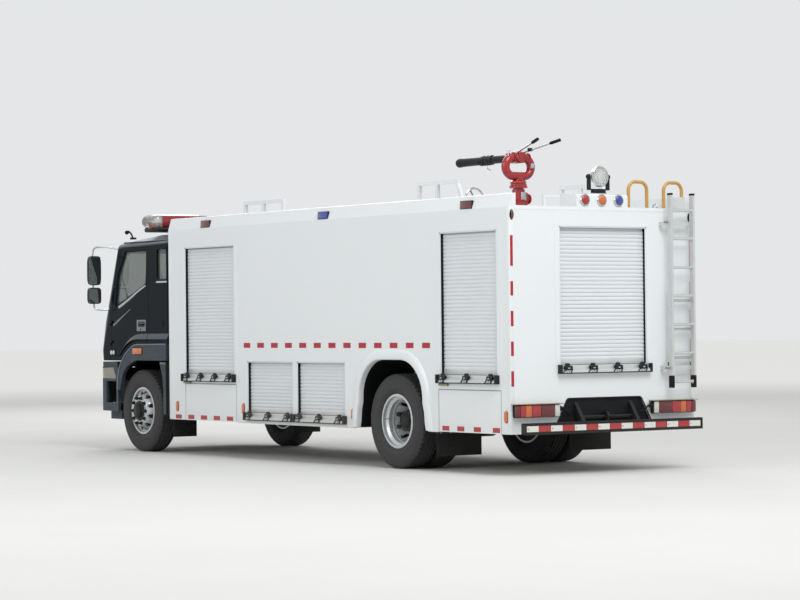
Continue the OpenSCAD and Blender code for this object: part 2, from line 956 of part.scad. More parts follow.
module wheel_arches() {
    color("#e6e8e7") on_truck() both_sides() {
        plate_y([locker_inner_y, inner_y]) intersection() {
            difference() {
                arch_area(liner_t);
                arch_area(0);
            }
            area([arch_rear_x, arch_front_x], [body_bottom, arch_top + 100]);
        }
        plate_y([side_y, side_y + flare_t]) intersection() {
            difference() {
                arch_area(flare_w);
                arch_area(0);
            }
            area([rear_overhang - arch_half - flare_w, rear_overhang + arch_half + flare_w],
                [body_bottom + 40, arch_top + flare_w]);
        }
    }
}

// Slats seen edge on: height u, depth v, the outer face at the top
module slat_area(z0, z1, y) {
    count = floor((z1 - z0) / slat_pitch);
    polygon(concat(
        [for (i = [0:count - 1], p = [[0, -3], [5, 0], [slat_pitch - 4, 0]])
            [y + p[1], z0 + i * slat_pitch + p[0]]],
        [[y - 3, z0 + count * slat_pitch], [y - 3, z1], [y - shutter_t, z1], [y - shutter_t, z0]]
    ));
}

module shutter(d, y) {
    translate([d[0] + guide_w, 0, 0])
        plate_x([0, d[1] - 2 * guide_w]) slat_area(d[2], d[3] - guide_w, y);
}

module roller_shutters() {
    color("#d5d8da") on_truck() {
        both_sides() for (d = SIDE_DOORS) shutter(d, shutter_y);
        rotate([0, 0, 90]) shutter(BACK_DOOR, -shutter_recess);
    }
}

module guide_frame(d) {
    difference() {
        door_area(d);
        area([d[0] + guide_w, d[0] + d[1] - guide_w], [d[2] - 1, d[3] - guide_w]);
    }
}

module shutter_guides() {
    color("#17181a") on_truck() {
        both_sides() for (d = SIDE_DOORS)
            plate_y([side_y - guide_depth, side_y]) guide_frame(d);
        plate_x([0, guide_depth]) guide_frame(BACK_DOOR);
    }
}

// The bar below an opening, its latches and its lift rod, standing out from y
module door_bar(d, y) {
    z = d[2] - bar_drop + 6;
    block([d[0] - 20, d[0] + d[1] + 20], [y, y + bar_t], [z, z + bar_h]);
    for (i = [0:d[4] - 1]) {
        x = d[0] + 10 + i * (d[1] - 20 - latch_w) / (d[4] - 1);
        block([x, x + latch_w], [y + bar_t, y + bar_t + latch_t], [z - 12, z - 12 + latch_h]);
    }
    rod([d[0] - 30, y + bar_t + latch_t, z - 12], [d[0] + d[1] + 30, y + bar_t + latch_t, z - 12],
        lift_rod_r);
}

module shutter_bars() {
    color("#c3c6c8") on_truck() {
        both_sides() for (d = SIDE_DOORS) door_bar(d, side_y + trim_t);
        rotate([0, 0, 90]) door_bar(BACK_DOOR, trim_t);
    }
}

module rear_bumper() {
    color("#2c2f33") on_truck() {
        block([-tail_reach, -tail_reach + tail_t], [-tail_half, tail_half],
            [tail_z - tail_h / 2, tail_z + tail_h / 2]);
        both_sides() plate_y([rail_y - rail_w, rail_y - rail_w + 45]) polygon([
            [-tail_reach + tail_t, tail_z - 50], [-tail_reach + tail_t, tail_z + 50],
            [frame_rear_x, frame_top - rail_t - 90], [frame_rear_x, rail_z]
        ]);
        plate_x([recess_x, recess_x + flap_t])
            area([-locker_inner_y + plate_t + 6, locker_inner_y - plate_t - 6],
                [body_bottom, recess_top + 25]);
        plate_x([recess_x - 14, recess_x]) for (z = [body_bottom + 30:46:recess_top])
            area([20, rail_y - rail_w - 20], [z, z + 22]);
    }
}

module tail_lamps() {
    color("#a3202a") on_truck() both_sides() {
        plate_x([-tail_lamp_t, 0]) soft_area([tail_lamp_y, tail_lamp_y + tail_lamp_l],
            [tail_lamp_z, tail_lamp_z + tail_lamp_h], 40);
        block([-tail_lamp_t - 10, 0], [tail_lamp_y - 15, tail_lamp_y + tail_lamp_l + 10],
            [tail_lamp_z + tail_lamp_h, tail_lamp_z + tail_lamp_h + 8]);
    }
}

module mudguards() {
    color("#2b2d2f") on_truck() both_sides() {
        block([guard_x - guard_t, guard_x], [guard_in_y, cab_side_y - 10], [guard_z, guard_top]);
        block([guard_x - guard_t, guard_x], [rail_y, guard_in_y], [rail_z, rail_z + 60]);
        block([body_len, guard_x - guard_t], [cab_side_y - 130, cab_side_y - 60],
            [guard_z + 150, guard_z + 210]);
        block([guard_x - guard_t - 20, guard_x + leg_l], [cab_side_y - leg_t, cab_side_y],
            [guard_z, cab_z - leg_gap]);
        block([guard_x - 20, guard_x - 20 + flap_t], [guard_in_y + 70, guard_in_y + 405],
            [front_flap_z, guard_z + 40]);
        block([arch_rear_x - 120, arch_rear_x - 120 + flap_t], [side_y - 640, side_y - 40],
            [flap_z, body_bottom]);
    }
}

module ladder_rung(x, y0, y1, z) {
    translate([x, y1, z]) rotate([-90, 0, 0]) cylinder(r = rung_r, h = y0 - y1);
}

module ladder() {
    color("#b9bdc0") on_truck() {
        for (y = [ladder_y, ladder_y - ladder_w])
            block([ladder_x - stile_d / 2, ladder_x + stile_d / 2], [y - stile_w, y],
                [ladder_z, ladder_top]);
        for (z = [ladder_z + 50:rung_pitch:ladder_top - 60])
            ladder_rung(ladder_x, ladder_y - stile_w, ladder_y - ladder_w, z);
        for (y = [ladder_y - stile_w, ladder_y - ladder_w - stile_w])
            block([ladder_x + stile_d / 2, ladder_x + stile_d / 2 + 24], [y - 18, y + 6],
                [slide_z, slide_z + slide_h]);
        for (z = [slide_z + 80:rung_pitch:slide_z + slide_h])
            ladder_rung(ladder_x + stile_d / 2 + 12, ladder_y - stile_w, ladder_y - ladder_w - stile_w, z);
        for (z = bracket_z) {
            block([ladder_x + stile_d / 2, ladder_x + stile_d / 2 + 6],
                [ladder_y - ladder_w - stile_w - 20, ladder_y + 60], [z, z + 45]);
            for (y = [ladder_y - ladder_w - stile_w - 20, ladder_y + 30])
                block([ladder_x + stile_d / 2 + 6, 0], [y, y + 30], [z, z + 45]);
        }
    }
}

module grab_hoops() {
    color("#d9a33a") on_truck() difference() {
        for (y = HOOP_Y) translate([hoop_x, y, deck_z]) hoop();
        both_sides() plate_x([0, hoop_x + 60]) coaming_area();
    }
}

module hoop() {
    for (s = [0, -hoop_w])
        translate([0, s, 0]) cylinder(r = hoop_r, h = hoop_h - hoop_bend);
    translate([0, -hoop_bend, hoop_h - hoop_bend]) rotate([90, 0, 90])
        bend(hoop_bend, hoop_r, 90);
    translate([0, hoop_bend - hoop_w, hoop_h - hoop_bend]) rotate([90, 0, 90]) rotate([0, 0, 90])
        bend(hoop_bend, hoop_r, 90);
    translate([0, hoop_bend - hoop_w, hoop_h]) rotate([-90, 0, 0])
        cylinder(r = hoop_r, h = hoop_w - 2 * hoop_bend);
}

module roof_racks() {
    color("#f0f1f0") on_truck() both_sides() for (r = RACKS) {
        block([r[0], r[1]], [rack_y - rack_tube / 2, rack_y + rack_tube / 2],
            [deck_z + r[3] - rack_tube, deck_z + r[3]]);
        for (x = [r[2], r[1] - rack_tube])
            block([x, x + rack_tube], [rack_y - rack_tube / 2, rack_y + rack_tube / 2],
                [deck_z, deck_z + r[3] - rack_tube]);
        plate_y([rack_y - rack_tube / 2, rack_y + rack_tube / 2]) polygon([
            [r[0] - r[4], deck_z], [r[0] - r[4] + rack_tube, deck_z],
            [r[0] + rack_tube, deck_z + r[3] - rack_tube], [r[0], deck_z + r[3] - rack_tube]
        ]);
    }
}

module deck_bracket() {
    color("#f0f1f0") on_truck() {
        block([bracket_x - 16, bracket_x + 16], BRACKET_Y, [deck_z + bracket_h - 32, deck_z + bracket_h]);
        for (y = [BRACKET_Y[0], BRACKET_Y[1] - 32])
            block([bracket_x - 16, bracket_x + 16], [y, y + 32], [deck_z, deck_z + bracket_h - 32]);
    }
}

// A valve with a handwheel whose rim stands upright
module roof_valve() {
    color("#8a8d90") on_truck() translate([valve_x, valve_y, deck_z]) {
        cylinder(r = 62, h = 14);
        cylinder(r = 34, h = valve_z + 26);
        translate([-70, 0, valve_z]) rotate([0, 90, 0]) cylinder(r = 22, h = 120);
        translate([-70, 0, valve_z]) rotate([0, 90, 0]) {
            rotate_extrude() translate([valve_r - 12, 0]) circle(12);
            for (a = [0:120:240]) rotate([0, 0, a + 30]) translate([10, -8, -5])
                cube([valve_r - 20, 16, 10]);
        }
    }
}

module lamp_box() {
    color("#eef0ef") on_truck() {
        plate_y([lamp_box_y - lamp_box_w / 2, lamp_box_y + lamp_box_w / 2]) polygon([
            [15, deck_z], [15, deck_z + lamp_box_h - 20], [35, deck_z + lamp_box_h],
            [lamp_box_d, deck_z + lamp_box_h], [lamp_box_d, deck_z]
        ]);
        for (y = LAMP_Y) translate([3, y, deck_z + lamp_box_h / 2 + 10]) rotate([0, 90, 0])
            cylinder(r = lamp_r, h = 12);
    }
}

module marker_lamps() {
    color("#d9822b") on_truck() both_sides() {
        for (m = SIDE_MARKERS)
            block([m[0], m[1]], [side_y, side_y + marker_t], [m[2], m[3]]);
        for (m = TOP_LAMPS) plate_x([m[0], m[1]]) polygon([
            [side_y - coaming_lean * 20, deck_z + 20], [side_y + marker_t, deck_z + 24],
            [side_y + marker_t - coaming_lean * 75, deck_z + 99], [side_y - coaming_lean * 95, deck_z + 95]
        ]);
    }
}

// Monitor: the base stands on the deck, the head turns about Z, the barrel pitches about Y

module monitor_base() {
    color("#b3222b") on_truck() translate([monitor_x, monitor_y, deck_z]) {
        cylinder(r = base_flange_r, h = 18);
        cylinder(r = column_r + 8, h = turn_ring_z - deck_z - 60);
        cylinder(r = column_r - 6, h = turn_ring_z - deck_z - 0.3);
        cylinder(r = post_r, h = post_top - deck_z);
        translate([0, -column_r - 60, 120]) rotate([-90, 0, 0])
            cylinder(r = 42, h = column_r + 60);
    }
}

// The ring of two elbows, seen along X, as a tube of radius r
module elbow_ring(r) {
    z = monitor_z - turn_ring_z - elbow_bend;
    translate([0, -elbow_y, z - elbow_bend]) rotate([-90, 0, 0]) cylinder(r = r, h = 2 * elbow_y);
    both_sides() {
        translate([0, elbow_y, z]) rotate([90, 0, 90]) rotate([0, 0, -90]) bend(elbow_bend, r, 180);
        translate([0, elbow_face, z + elbow_bend]) rotate([-90, 0, 0])
            cylinder(r = r, h = elbow_y - elbow_face);
    }
}

module monitor_head() {
    color("#b3222b") on_truck() translate([monitor_x, monitor_y, turn_ring_z]) difference() {
        union() {
            cylinder(r = column_r + 14, h = 22);
            cylinder(r = column_r - 8, h = monitor_z - turn_ring_z - 2 * elbow_bend);
            elbow_ring(elbow_r);
            both_sides() translate([0, elbow_face, monitor_z - turn_ring_z]) rotate([-90, 0, 0])
                cylinder(r = elbow_r + 10, h = 16);
        }
        translate([0, 0, -1]) cylinder(r = post_r + run_gap, h = post_top - turn_ring_z + 1.3);
        translate([0, -elbow_y - 30, monitor_z - turn_ring_z]) rotate([-90, 0, 0])
            cylinder(r = trunnion_r + run_gap, h = 2 * (elbow_y + 30));
    }
}

module monitor_barrel() {
    color("#1d1e20") on_truck() translate([monitor_x, monitor_y, monitor_z]) {
        translate([0, -elbow_y - 28, 0]) rotate([-90, 0, 0])
            cylinder(r = trunnion_r, h = 2 * (elbow_y + 28));
        translate([0, 6 - elbow_face, 0]) rotate([-90, 0, 0])
            cylinder(r = cross_r, h = 2 * (elbow_face - 6));
        rod([-60, 0, 0], [84, 0, 0], cross_r - 4);
        difference() {
            union() {
                rod([0, 0, 0], [barrel_x, 0, 0], barrel_r - 3);
                rod([barrel_x - 46, 0, 0], [barrel_x - 1, 0, 0], barrel_r + 4);
            }
            rod([barrel_x - 300, 0, 0], [barrel_x + 1, 0, 0], barrel_r - 9);
        }
        rod([470, 0, 0], [670, 0, 0], barrel_r + 7);
        for (s = [-1, 1]) {
            rod([0, s * 30, 44], [grip_x, s * grip_y, grip_z], 10);
            rod([grip_x * 0.78, s * (30 + (grip_y - 30) * 0.78), 44 + (grip_z - 44) * 0.78],
                [grip_x, s * grip_y, grip_z], 16);
        }
    }
}

module searchlight_base() {
    color("#1c1d1f") on_truck() translate([lamp_x, lamp_y, deck_z + lamp_box_h]) {
        cylinder(r = 82, h = search_base_h);
        cylinder(r = 16, h = search_base_h + 12);
    }
}

module searchlight_yoke() {
    color("#1c1d1f") on_truck() translate([lamp_x, lamp_y, search_z + 0.3]) difference() {
        union() {
            cylinder(r = 70, h = 12);
            block([-28, 28], [-yoke_in - yoke_t, yoke_in + yoke_t], [0, 12]);
            blocks([-28, 28], [yoke_in, yoke_in + yoke_t], [0, search_axis_z - search_z]);
            both_sides() translate([0, yoke_in, search_axis_z - search_z]) rotate([-90, 0, 0])
                cylinder(r = 28, h = yoke_t);
        }
        translate([0, 0, -1]) cylinder(r = 16 + run_gap, h = 14);
        translate([0, -yoke_in - yoke_t - 1, search_axis_z - search_z - 0.3]) rotate([-90, 0, 0])
            cylinder(r = search_pin_r + run_gap, h = 2 * (yoke_in + yoke_t + 1));
    }
}

module searchlight_head() {
    color("#e4e6e8") on_truck() translate([lamp_x, lamp_y, search_axis_z]) {
        translate([0, -yoke_in - yoke_t, 0]) rotate([-90, 0, 0])
            cylinder(r = search_pin_r, h = 2 * (yoke_in + yoke_t));
        rotate([0, -90, 0]) {
            cylinder(r = search_r, h = 42);
            translate([0, 0, -50]) cylinder(r1 = 70, r2 = search_r, h = 50);
        }
    }
}

module hatch_lid() {
    color("#dfe1e0") on_truck() translate([hatch_x, 0, deck_z + hatch_h]) {
        cylinder(r = hatch_r + 12, h = 14);
        cylinder(r = hatch_r - 60, h = 26);
        for (y = [-62, 62])
            block([-hatch_r - 40 - 14, -hatch_r + 20], [y - 10, y + 10], [6, 22]);
        translate([-hatch_r - 40, -100, 14]) rotate([-90, 0, 0]) cylinder(r = hatch_pin_r, h = 200);
    }
}

// Fold-down step panels, hinged along their lower edge

module step_panel(s) {
    y = inner_y + wall_t / 2;
    plate_y([inner_y, side_y]) area([s[0], s[0] + s[1]], [body_bottom, body_bottom + step_h]);
    for (x = [s[0] - seam - step_pin_bite + 1, s[0] + s[1] - 1])
        translate([x, y, body_bottom + step_pin_z]) rotate([0, 90, 0])
            cylinder(r = step_pin_r, h = step_pin_bite + seam);
}

module step_front_left() {
    color("#eceeed") on_truck() step_panel(STEP_FRONT);
}

module step_front_right() {
    color("#eceeed") on_truck() mirror([0, 1, 0]) step_panel(STEP_FRONT);
}

module step_rear_left() {
    color("#eceeed") on_truck() step_panel(STEP_REAR);
}

module step_rear_right() {
    color("#eceeed") on_truck() mirror([0, 1, 0]) step_panel(STEP_REAR);
}

// Cab

// The cab's outer form, smaller all round by inset
module cab_form(inset) {
    hull() for (p = CAB_FORM, s = [-1, 1])
        translate([p[0], s * (p[1] - p[3]), p[2]]) sphere(r = p[3] - inset, $fn = 24);
}

module cab_skin(outer, inner) {
    difference() {
        cab_form(outer);
        cab_form(inner);
    }
}

// Outline of the left door seen from the side, smaller all round by gap
module door_outline(gap) {
    polygon([
        [door_rear_x + gap, door_arch_z + gap], [door_rear_x + 360, door_arch_z + gap],
        [door_rear_x + 560, door_arch_z - 100 + gap], [door_front_x - 240, door_bottom + gap],
        [door_front_x - gap, door_bottom + gap], [door_front_x - gap, belt_z + 50],
        [screen_top_x - 130 - gap, door_top - gap], [door_rear_x + gap, door_top - gap]
    ]);
}

// Outline of the left door's window
module door_window() {
    polygon([
        [door_rear_x + 60, belt_z + 450], [door_front_x - 110, belt_z + 170],
        [door_front_x - 175, belt_z + 570], [screen_top_x - 230, door_top - 45],
        [door_rear_x + 60, door_top - 45]
    ]);
}

module quarter_window() {
    soft_area([cab_rear_x + 65, cab_rear_x + 325], [2200, door_top - 35], 40);
}

// The opening for the grille, through the front
module grille_space() {
    plate_x([nose_x - 140, nose_x + 20]) soft_area([-610, 610], [cab_z + 75, belt_z - 90], 40);
}

// The opening for the windscreen, through the front
module screen_space() {
    plate_x([screen_top_x - 140, nose_x + 20]) soft_area([-cab_side_y + 160, cab_side_y - 160],
        [belt_z + 40, cab_top - 235], 90);
}

module cab_shell() {
    color("#14171b") on_truck() {
        difference() {
            cab_skin(0, cab_t);
            block([cab_rear_x - 1, nose_x + 1], [-cab_side_y - 1, cab_side_y + 1], [cab_z - 200, cab_z]);
            both_sides() plate_y([cab_side_y - 200, cab_side_y + 20]) {
                door_outline(0);
                quarter_window();
            }
            screen_space();
            grille_space();
            both_sides() hinge_cut();
        }
        block([cab_rear_x + cab_t, nose_x - cab_t - 70], [-cab_side_y + cab_t, cab_side_y - cab_t],
            [cab_z, cab_z + cab_t]);
        both_sides() plate_y(tilt_arm) difference() {
            union() {
                translate([tilt_x, tilt_z]) circle(45);
                polygon([
                    [tilt_x - 45, tilt_z], [tilt_x + 45, tilt_z], [tilt_x + 60, cab_z + 5],
                    [tilt_x - 130, cab_z + 5]
                ]);
            }
            translate([tilt_x, tilt_z]) circle(tilt_r + run_gap);
        }
        block([nose_x - 80, nose_x - 35], [-660, 660], [cab_z - 165, cab_z + 5]);
        both_sides() for (z = HINGE_Z) difference() {
            union() {
                translate([hinge_x, hinge_y, z - hinge_l / 2]) cylinder(r = hinge_r, h = hinge_l / 2 - 0.3);
                block([hinge_x + 2.5, hinge_x + 40], [cab_side_y - 30, hinge_y + hinge_r],
                    [z - hinge_l / 2, z - 0.3]);
            }
            translate([hinge_x, hinge_y, z - hinge_l]) cylinder(r = hinge_pin_r + run_gap, h = hinge_l);
        }
    }
}

// Room for the door's hinge barrels
module hinge_cut() {
    for (z = HINGE_Z)
        translate([hinge_x, hinge_y, z - hinge_l / 2 - 1]) cylinder(r = hinge_r + 4, h = hinge_l + 2);
}

module side_door() {
    difference() {
        intersection() {
            cab_skin(0, cab_t);
            plate_y([cab_side_y - 200, cab_side_y + 20]) difference() {
                door_outline(seam);
                door_window();
            }
        }
        hinge_cut();
    }
    for (z = HINGE_Z) {
        translate([hinge_x, hinge_y, z]) cylinder(r = hinge_r, h = hinge_l / 2);
        translate([hinge_x, hinge_y, z - hinge_l / 2]) cylinder(r = hinge_pin_r, h = hinge_l / 2);
        block([hinge_x - 40, hinge_x - 4], [cab_side_y - 30, hinge_y + hinge_r], [z, z + hinge_l / 2]);
    }
}

module door_left() {
    color("#14171b") on_truck() side_door();
}

module door_right() {
    color("#14171b") on_truck() mirror([0, 1, 0]) side_door();
}

module door_glass() {
    intersection() {
        cab_skin(glass_in, glass_in + glass_t);
        plate_y([cab_side_y - 200, cab_side_y + 20]) door_window();
    }
}

module door_glass_left() {
    color("#5f7477") on_truck() door_glass();
}

module door_glass_right() {
    color("#5f7477") on_truck() mirror([0, 1, 0]) door_glass();
}

module cab_glass() {
    color("#5f7477") on_truck() intersection() {
        cab_skin(glass_in, glass_in + glass_t);
        union() {
            both_sides() plate_y([cab_side_y - 200, cab_side_y + 20]) quarter_window();
            screen_space();
        }
    }
}

module cab_interior() {
    color("#3a3c40") on_truck() {
        both_sides() {
            block([seat_x + 60, seat_x + 440], [seat_y - 180, seat_y + 180],
                [floor_top, floor_top + 280]);
            block([seat_x, seat_x + 520], [seat_y - seat_w / 2, seat_y + seat_w / 2],
                [floor_top + 280, floor_top + 410]);
            block([seat_x, seat_x + 130], [seat_y - seat_w / 2 + 20, seat_y + seat_w / 2 - 20],
                [floor_top + 410, floor_top + 1000]);
            block([seat_x + 20, seat_x + 110], [seat_y - 140, seat_y + 140],
                [floor_top + 1000, floor_top + 1180]);
        }
        block([dash_x, dash_x + 250], [-cab_side_y + 160, cab_side_y - 160],
            [floor_top + 130, belt_z - 10]);
        block([dash_x + 60, dash_x + 240], [-300, 300], [floor_top, floor_top + 130]);
        block([cab_rear_x + 300, dash_x], [-230, 230], [floor_top, floor_top + 180]);
        rod(column_foot, column_head, 32);
    }
}

module steering_wheel() {
    color("#232427") on_truck() translate(column_head) rotate([0, -wheel_lean, 0])
        translate([0, 0, 0.3]) {
            cylinder(r = 26, h = 30);
            translate([0, 0, 45]) rotate_extrude() translate([wheel_r, 0]) circle(wheel_tube);
            translate([0, 0, 30]) cylinder(r = 70, h = 26);
            for (a = [20, 160, 270]) rotate([0, 0, a]) translate([50, -16, 36])
                cube([wheel_r - 55, 32, 14]);
        }
}

module light_bar() {
    color("#c21d2b") on_truck() {
        plate_y([-bar_half, bar_half]) soft_area([bar_x - bar_d / 2, bar_x + bar_d / 2],
            [bar_z, bar_z + bar_top_h], 80);
        blocks([bar_x - 60, bar_x + 60], [420, 520], [cab_top - 48, bar_z + 20]);
    }
}

module mirrors() {
    color("#1a1b1d") on_truck() both_sides() {
        for (m = MIRROR_Z)
            plate_x([mirror_x - mirror_t / 2, mirror_x + mirror_t / 2])
                soft_area([mirror_y - mirror_w / 2, mirror_y + mirror_w / 2], m, 45);
        rod([mirror_x, mirror_y, MIRROR_Z[1][0] - 60], [mirror_x, mirror_y, MIRROR_Z[0][1] + 60],
            arm_r_tube);
        for (z = [MIRROR_Z[0][1] + 60, MIRROR_Z[1][0] - 60])
            translate([mirror_x, mirror_y, z]) sphere(arm_r_tube + 5);
        for (f = MIRROR_FEET) rod([mirror_x, mirror_y, f[0]], f[1], arm_r_tube);
    }
}

// The dark trim over the front wheel, seen from the side
module arch_trim_area() {
    x = front_axle_x;
    polygon([
        [cab_rear_x + 10, 1185], [x + 60, 1185], [x + 280, 1100], [x + 390, 1000], [x + 465, 790],
        [x + 540, 790], [x + 525, 960], [x + 490, 1080], [x + 340, 1250], [x + 100, 1380],
        [cab_rear_x + 10, 1385]
    ]);
}

module cab_trim() {
    color("#3c4146") on_truck() {
        both_sides() plate_y([cab_side_y, cab_side_y + trim_out]) arch_trim_area();
        difference() {
            intersection() {
                cab_skin(6, 46);
                grille_space();
            }
            for (z = [cab_z + 110:74:belt_z - 120])
                block([nose_x - 52, nose_x + 1], [-560, 560], [z, z + 34]);
        }
    }
}

// Wheels, axles' ends

module knuckle() {
    translate([front_axle_x, 0, 0]) {
        for (z = [hub_z + boss_h / 2 + ear_gap, hub_z - boss_h / 2 - ear_gap - fork_t]) {
            translate([0, kingpin_y, z]) cylinder(r = boss_r, h = fork_t);
            block([-boss_r, boss_r], [kingpin_y, web_y + web_t], [z, z + fork_t]);
        }
        translate([0, kingpin_y, hub_z - boss_h / 2 - fork_t])
            cylinder(r = kingpin_r, h = boss_h + 2 * fork_t);
        block([-boss_r, boss_r], [web_y, web_y + web_t],
            [hub_z - boss_h / 2 - fork_t, hub_z + boss_h / 2 + fork_t]);
        translate([0, web_y + web_t, hub_z]) rotate([-90, 0, 0])
            cylinder(r = spindle_r, h = spindle_end - web_y - web_t);
        block([-210, 0], [kingpin_y - 20, kingpin_y + 20],
            [hub_z - boss_h / 2 - ear_gap - fork_t, hub_z - boss_h / 2 - ear_gap]);
    }
}

module knuckle_left() {
    color("#35373a") on_truck() knuckle();
}

module knuckle_right() {
    color("#35373a") on_truck() mirror([0, 1, 0]) knuckle();
}

// The tyre's section: radius along X, distance from its centre plane along Y
module tyre_section() {
    side = [
        [bead_r, rim_half - flange_t - 2], [rim_r + 2, rim_half - flange_t - 1],
        [rim_r + 14, tyre_half - 24], [rim_r + 45, tyre_half - 6], [rim_r + 100, tyre_half],
        [hub_z - 72, tyre_half - 4], [hub_z - 28, tyre_half - 15], [hub_z - 8, tyre_half - 28],
        [hub_z, tyre_half - 42]
    ];
    difference() {
        polygon(concat(side, [for (i = [len(side) - 1:-1:0]) [side[i][0], -side[i][1]]]));
        for (g = GROOVES) area([hub_z - groove_d, hub_z + 1], [g - groove_w / 2, g + groove_w / 2]);
    }
}

module tyre_at(x, y) {
    at_hub(x, y) rotate_extrude($fn = 96) tyre_section();
}

module tyre_front_left() {
    color("#2a2b2d") on_truck() tyre_at(front_axle_x, front_y);
}

module tyre_front_right() {
    color("#2a2b2d") on_truck() mirror([0, 1, 0]) tyre_at(front_axle_x, front_y);
}

module tyres_rear_left() {
    color("#2a2b2d") on_truck() for (y = [rear_y, twin_y]) tyre_at(rear_overhang, y);
}

module tyres_rear_right() {
    color("#2a2b2d") on_truck() mirror([0, 1, 0])
        for (y = [rear_y, twin_y]) tyre_at(rear_overhang, y);
}

// The rim's section with its disc bulging towards positive Y
module rim_section() {
    w = rim_half;
    polygon([
        [bead_r, -w + flange_t], [rim_r, -w + flange_t - 2], [rim_r, -w], [bead_r - rim_t, -w],
        [bead_r - rim_t, -w + 40], [well_r - rim_t, -w + 62], [well_r - rim_t, w - 62],
        [bead_r - rim_t, w - 40], [bead_r - rim_t, w], [rim_r, w], [rim_r, w - flange_t + 2],
        [bead_r, w - flange_t], [bead_r, w - 42], [well_r, w - 64], [well_r, -w + 64],
        [bead_r, -w + 42]
    ]);
    polygon([
        [well_r - rim_t + 2, 0], [well_r - rim_t + 2, 30], [disc_edge_r + 18, disc_y - 32],
        [disc_edge_r, disc_y], [hub_r - 6, disc_y], [hub_r - 6, disc_y - disc_t],
        [disc_edge_r - 6, disc_y - disc_t], [disc_edge_r + 8, disc_y - 38],
        [well_r - rim_t - 10, 24], [well_r - rim_t - 10, 0]
    ]);
}

module rim_body() {
    difference() {
        rotate_extrude($fn = 96) rim_section();
        for (i = [0:nut_count - 1]) rotate([0, 0, (i + 0.5) * 360 / nut_count])
            translate([disc_edge_r + 30, 0, 30]) cylinder(r = hand_hole_r, h = disc_y);
    }
}

module wheel_nuts() {
    for (i = [0:nut_count - 1]) rotate([0, 0, i * 360 / nut_count])
        translate([nut_circle_r, 0, 0]) cylinder(r = nut_r, h = nut_h, $fn = 6);
}

module front_rim() {
    at_hub(front_axle_x, front_y) {
        rim_body();
        translate([0, 0, disc_y]) wheel_nuts();
    }
    at_hub(front_axle_x, 0) difference() {
        union() {
            translate([0, 0, front_drum_y]) cylinder(r = drum_r, h = 130);
            translate([0, 0, front_drum_y + 130])
                cylinder(r = hub_r - 6, h = front_y + disc_y - front_drum_y - 130);
            translate([0, 0, front_y + disc_y]) cylinder(r = 92, h = 40);
            translate([0, 0, front_y + disc_y - disc_t - 20])
                cylinder(r = disc_edge_r - 8, h = 20);
        }
        translate([0, 0, front_drum_y - 1])
            cylinder(r = bearing_r, h = spindle_end - front_drum_y + 1.3);
    }
}

module rear_rims() {
    at_hub(rear_overhang, rear_y) mirror([0, 0, 1]) rim_body();
    at_hub(rear_overhang, twin_y) rim_body();
    at_hub(rear_overhang, pair_y + disc_t) wheel_nuts();
    at_hub(rear_overhang, 0) difference() {
        union() {
            translate([0, 0, drum_y + 7]) cylinder(r = drum_r, h = 160);
            translate([0, 0, drum_y + 167]) cylinder(r = hub_r - 6, h = rear_y - drum_y - 167);
        }
        translate([0, 0, drum_y + 6])
            cylinder(r = stub_r + run_gap, h = rear_y - 40 - drum_y - 6 + 0.3);
    }
}

module rim_front_left() {
    color("#bfc3c6") on_truck() front_rim();
}

module rim_front_right() {
    color("#bfc3c6") on_truck() mirror([0, 1, 0]) front_rim();
}

module rims_rear_left() {
    color("#bfc3c6") on_truck() rear_rims();
}

module rims_rear_right() {
    color("#bfc3c6") on_truck() mirror([0, 1, 0]) rear_rims();
}

chassis_frame();
axle_front();
axle_rear();
leaf_springs();
engine_block();
driveline();
underbody_tanks();
front_bumper();
headlamps();
side_walls();
end_walls();
roof_deck();
body_floor();
wheel_arches();
roller_shutters();
shutter_guides();
shutter_bars();
rear_bumper();
tail_lamps();
mudguards();
ladder();
grab_hoops();
roof_racks();
deck_bracket();
roof_valve();
lamp_box();
marker_lamps();
monitor_base();
monitor_head();
monitor_barrel();
searchlight_base();
searchlight_yoke();
searchlight_head();
hatch_lid();
step_front_left();
step_front_right();
step_rear_left();
step_rear_right();
cab_shell();
cab_glass();
cab_interior();
steering_wheel();
light_bar();
mirrors();
cab_trim();
door_left();
door_right();
door_glass_left();
door_glass_right();
knuckle_left();
knuckle_right();
tyre_front_left();
tyre_front_right();
rim_front_left();
rim_front_right();
tyres_rear_left();
tyres_rear_right();
rims_rear_left();
rims_rear_right();
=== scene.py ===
"""Looks of a two-axle tanker fire truck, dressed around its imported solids.

Metres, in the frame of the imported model: +X forward, +Y the truck's left, +Z up.
"""

import json
import logging
import math
from dataclasses import dataclass
from enum import Enum

import bmesh
import bpy
from mathutils import Matrix, Vector

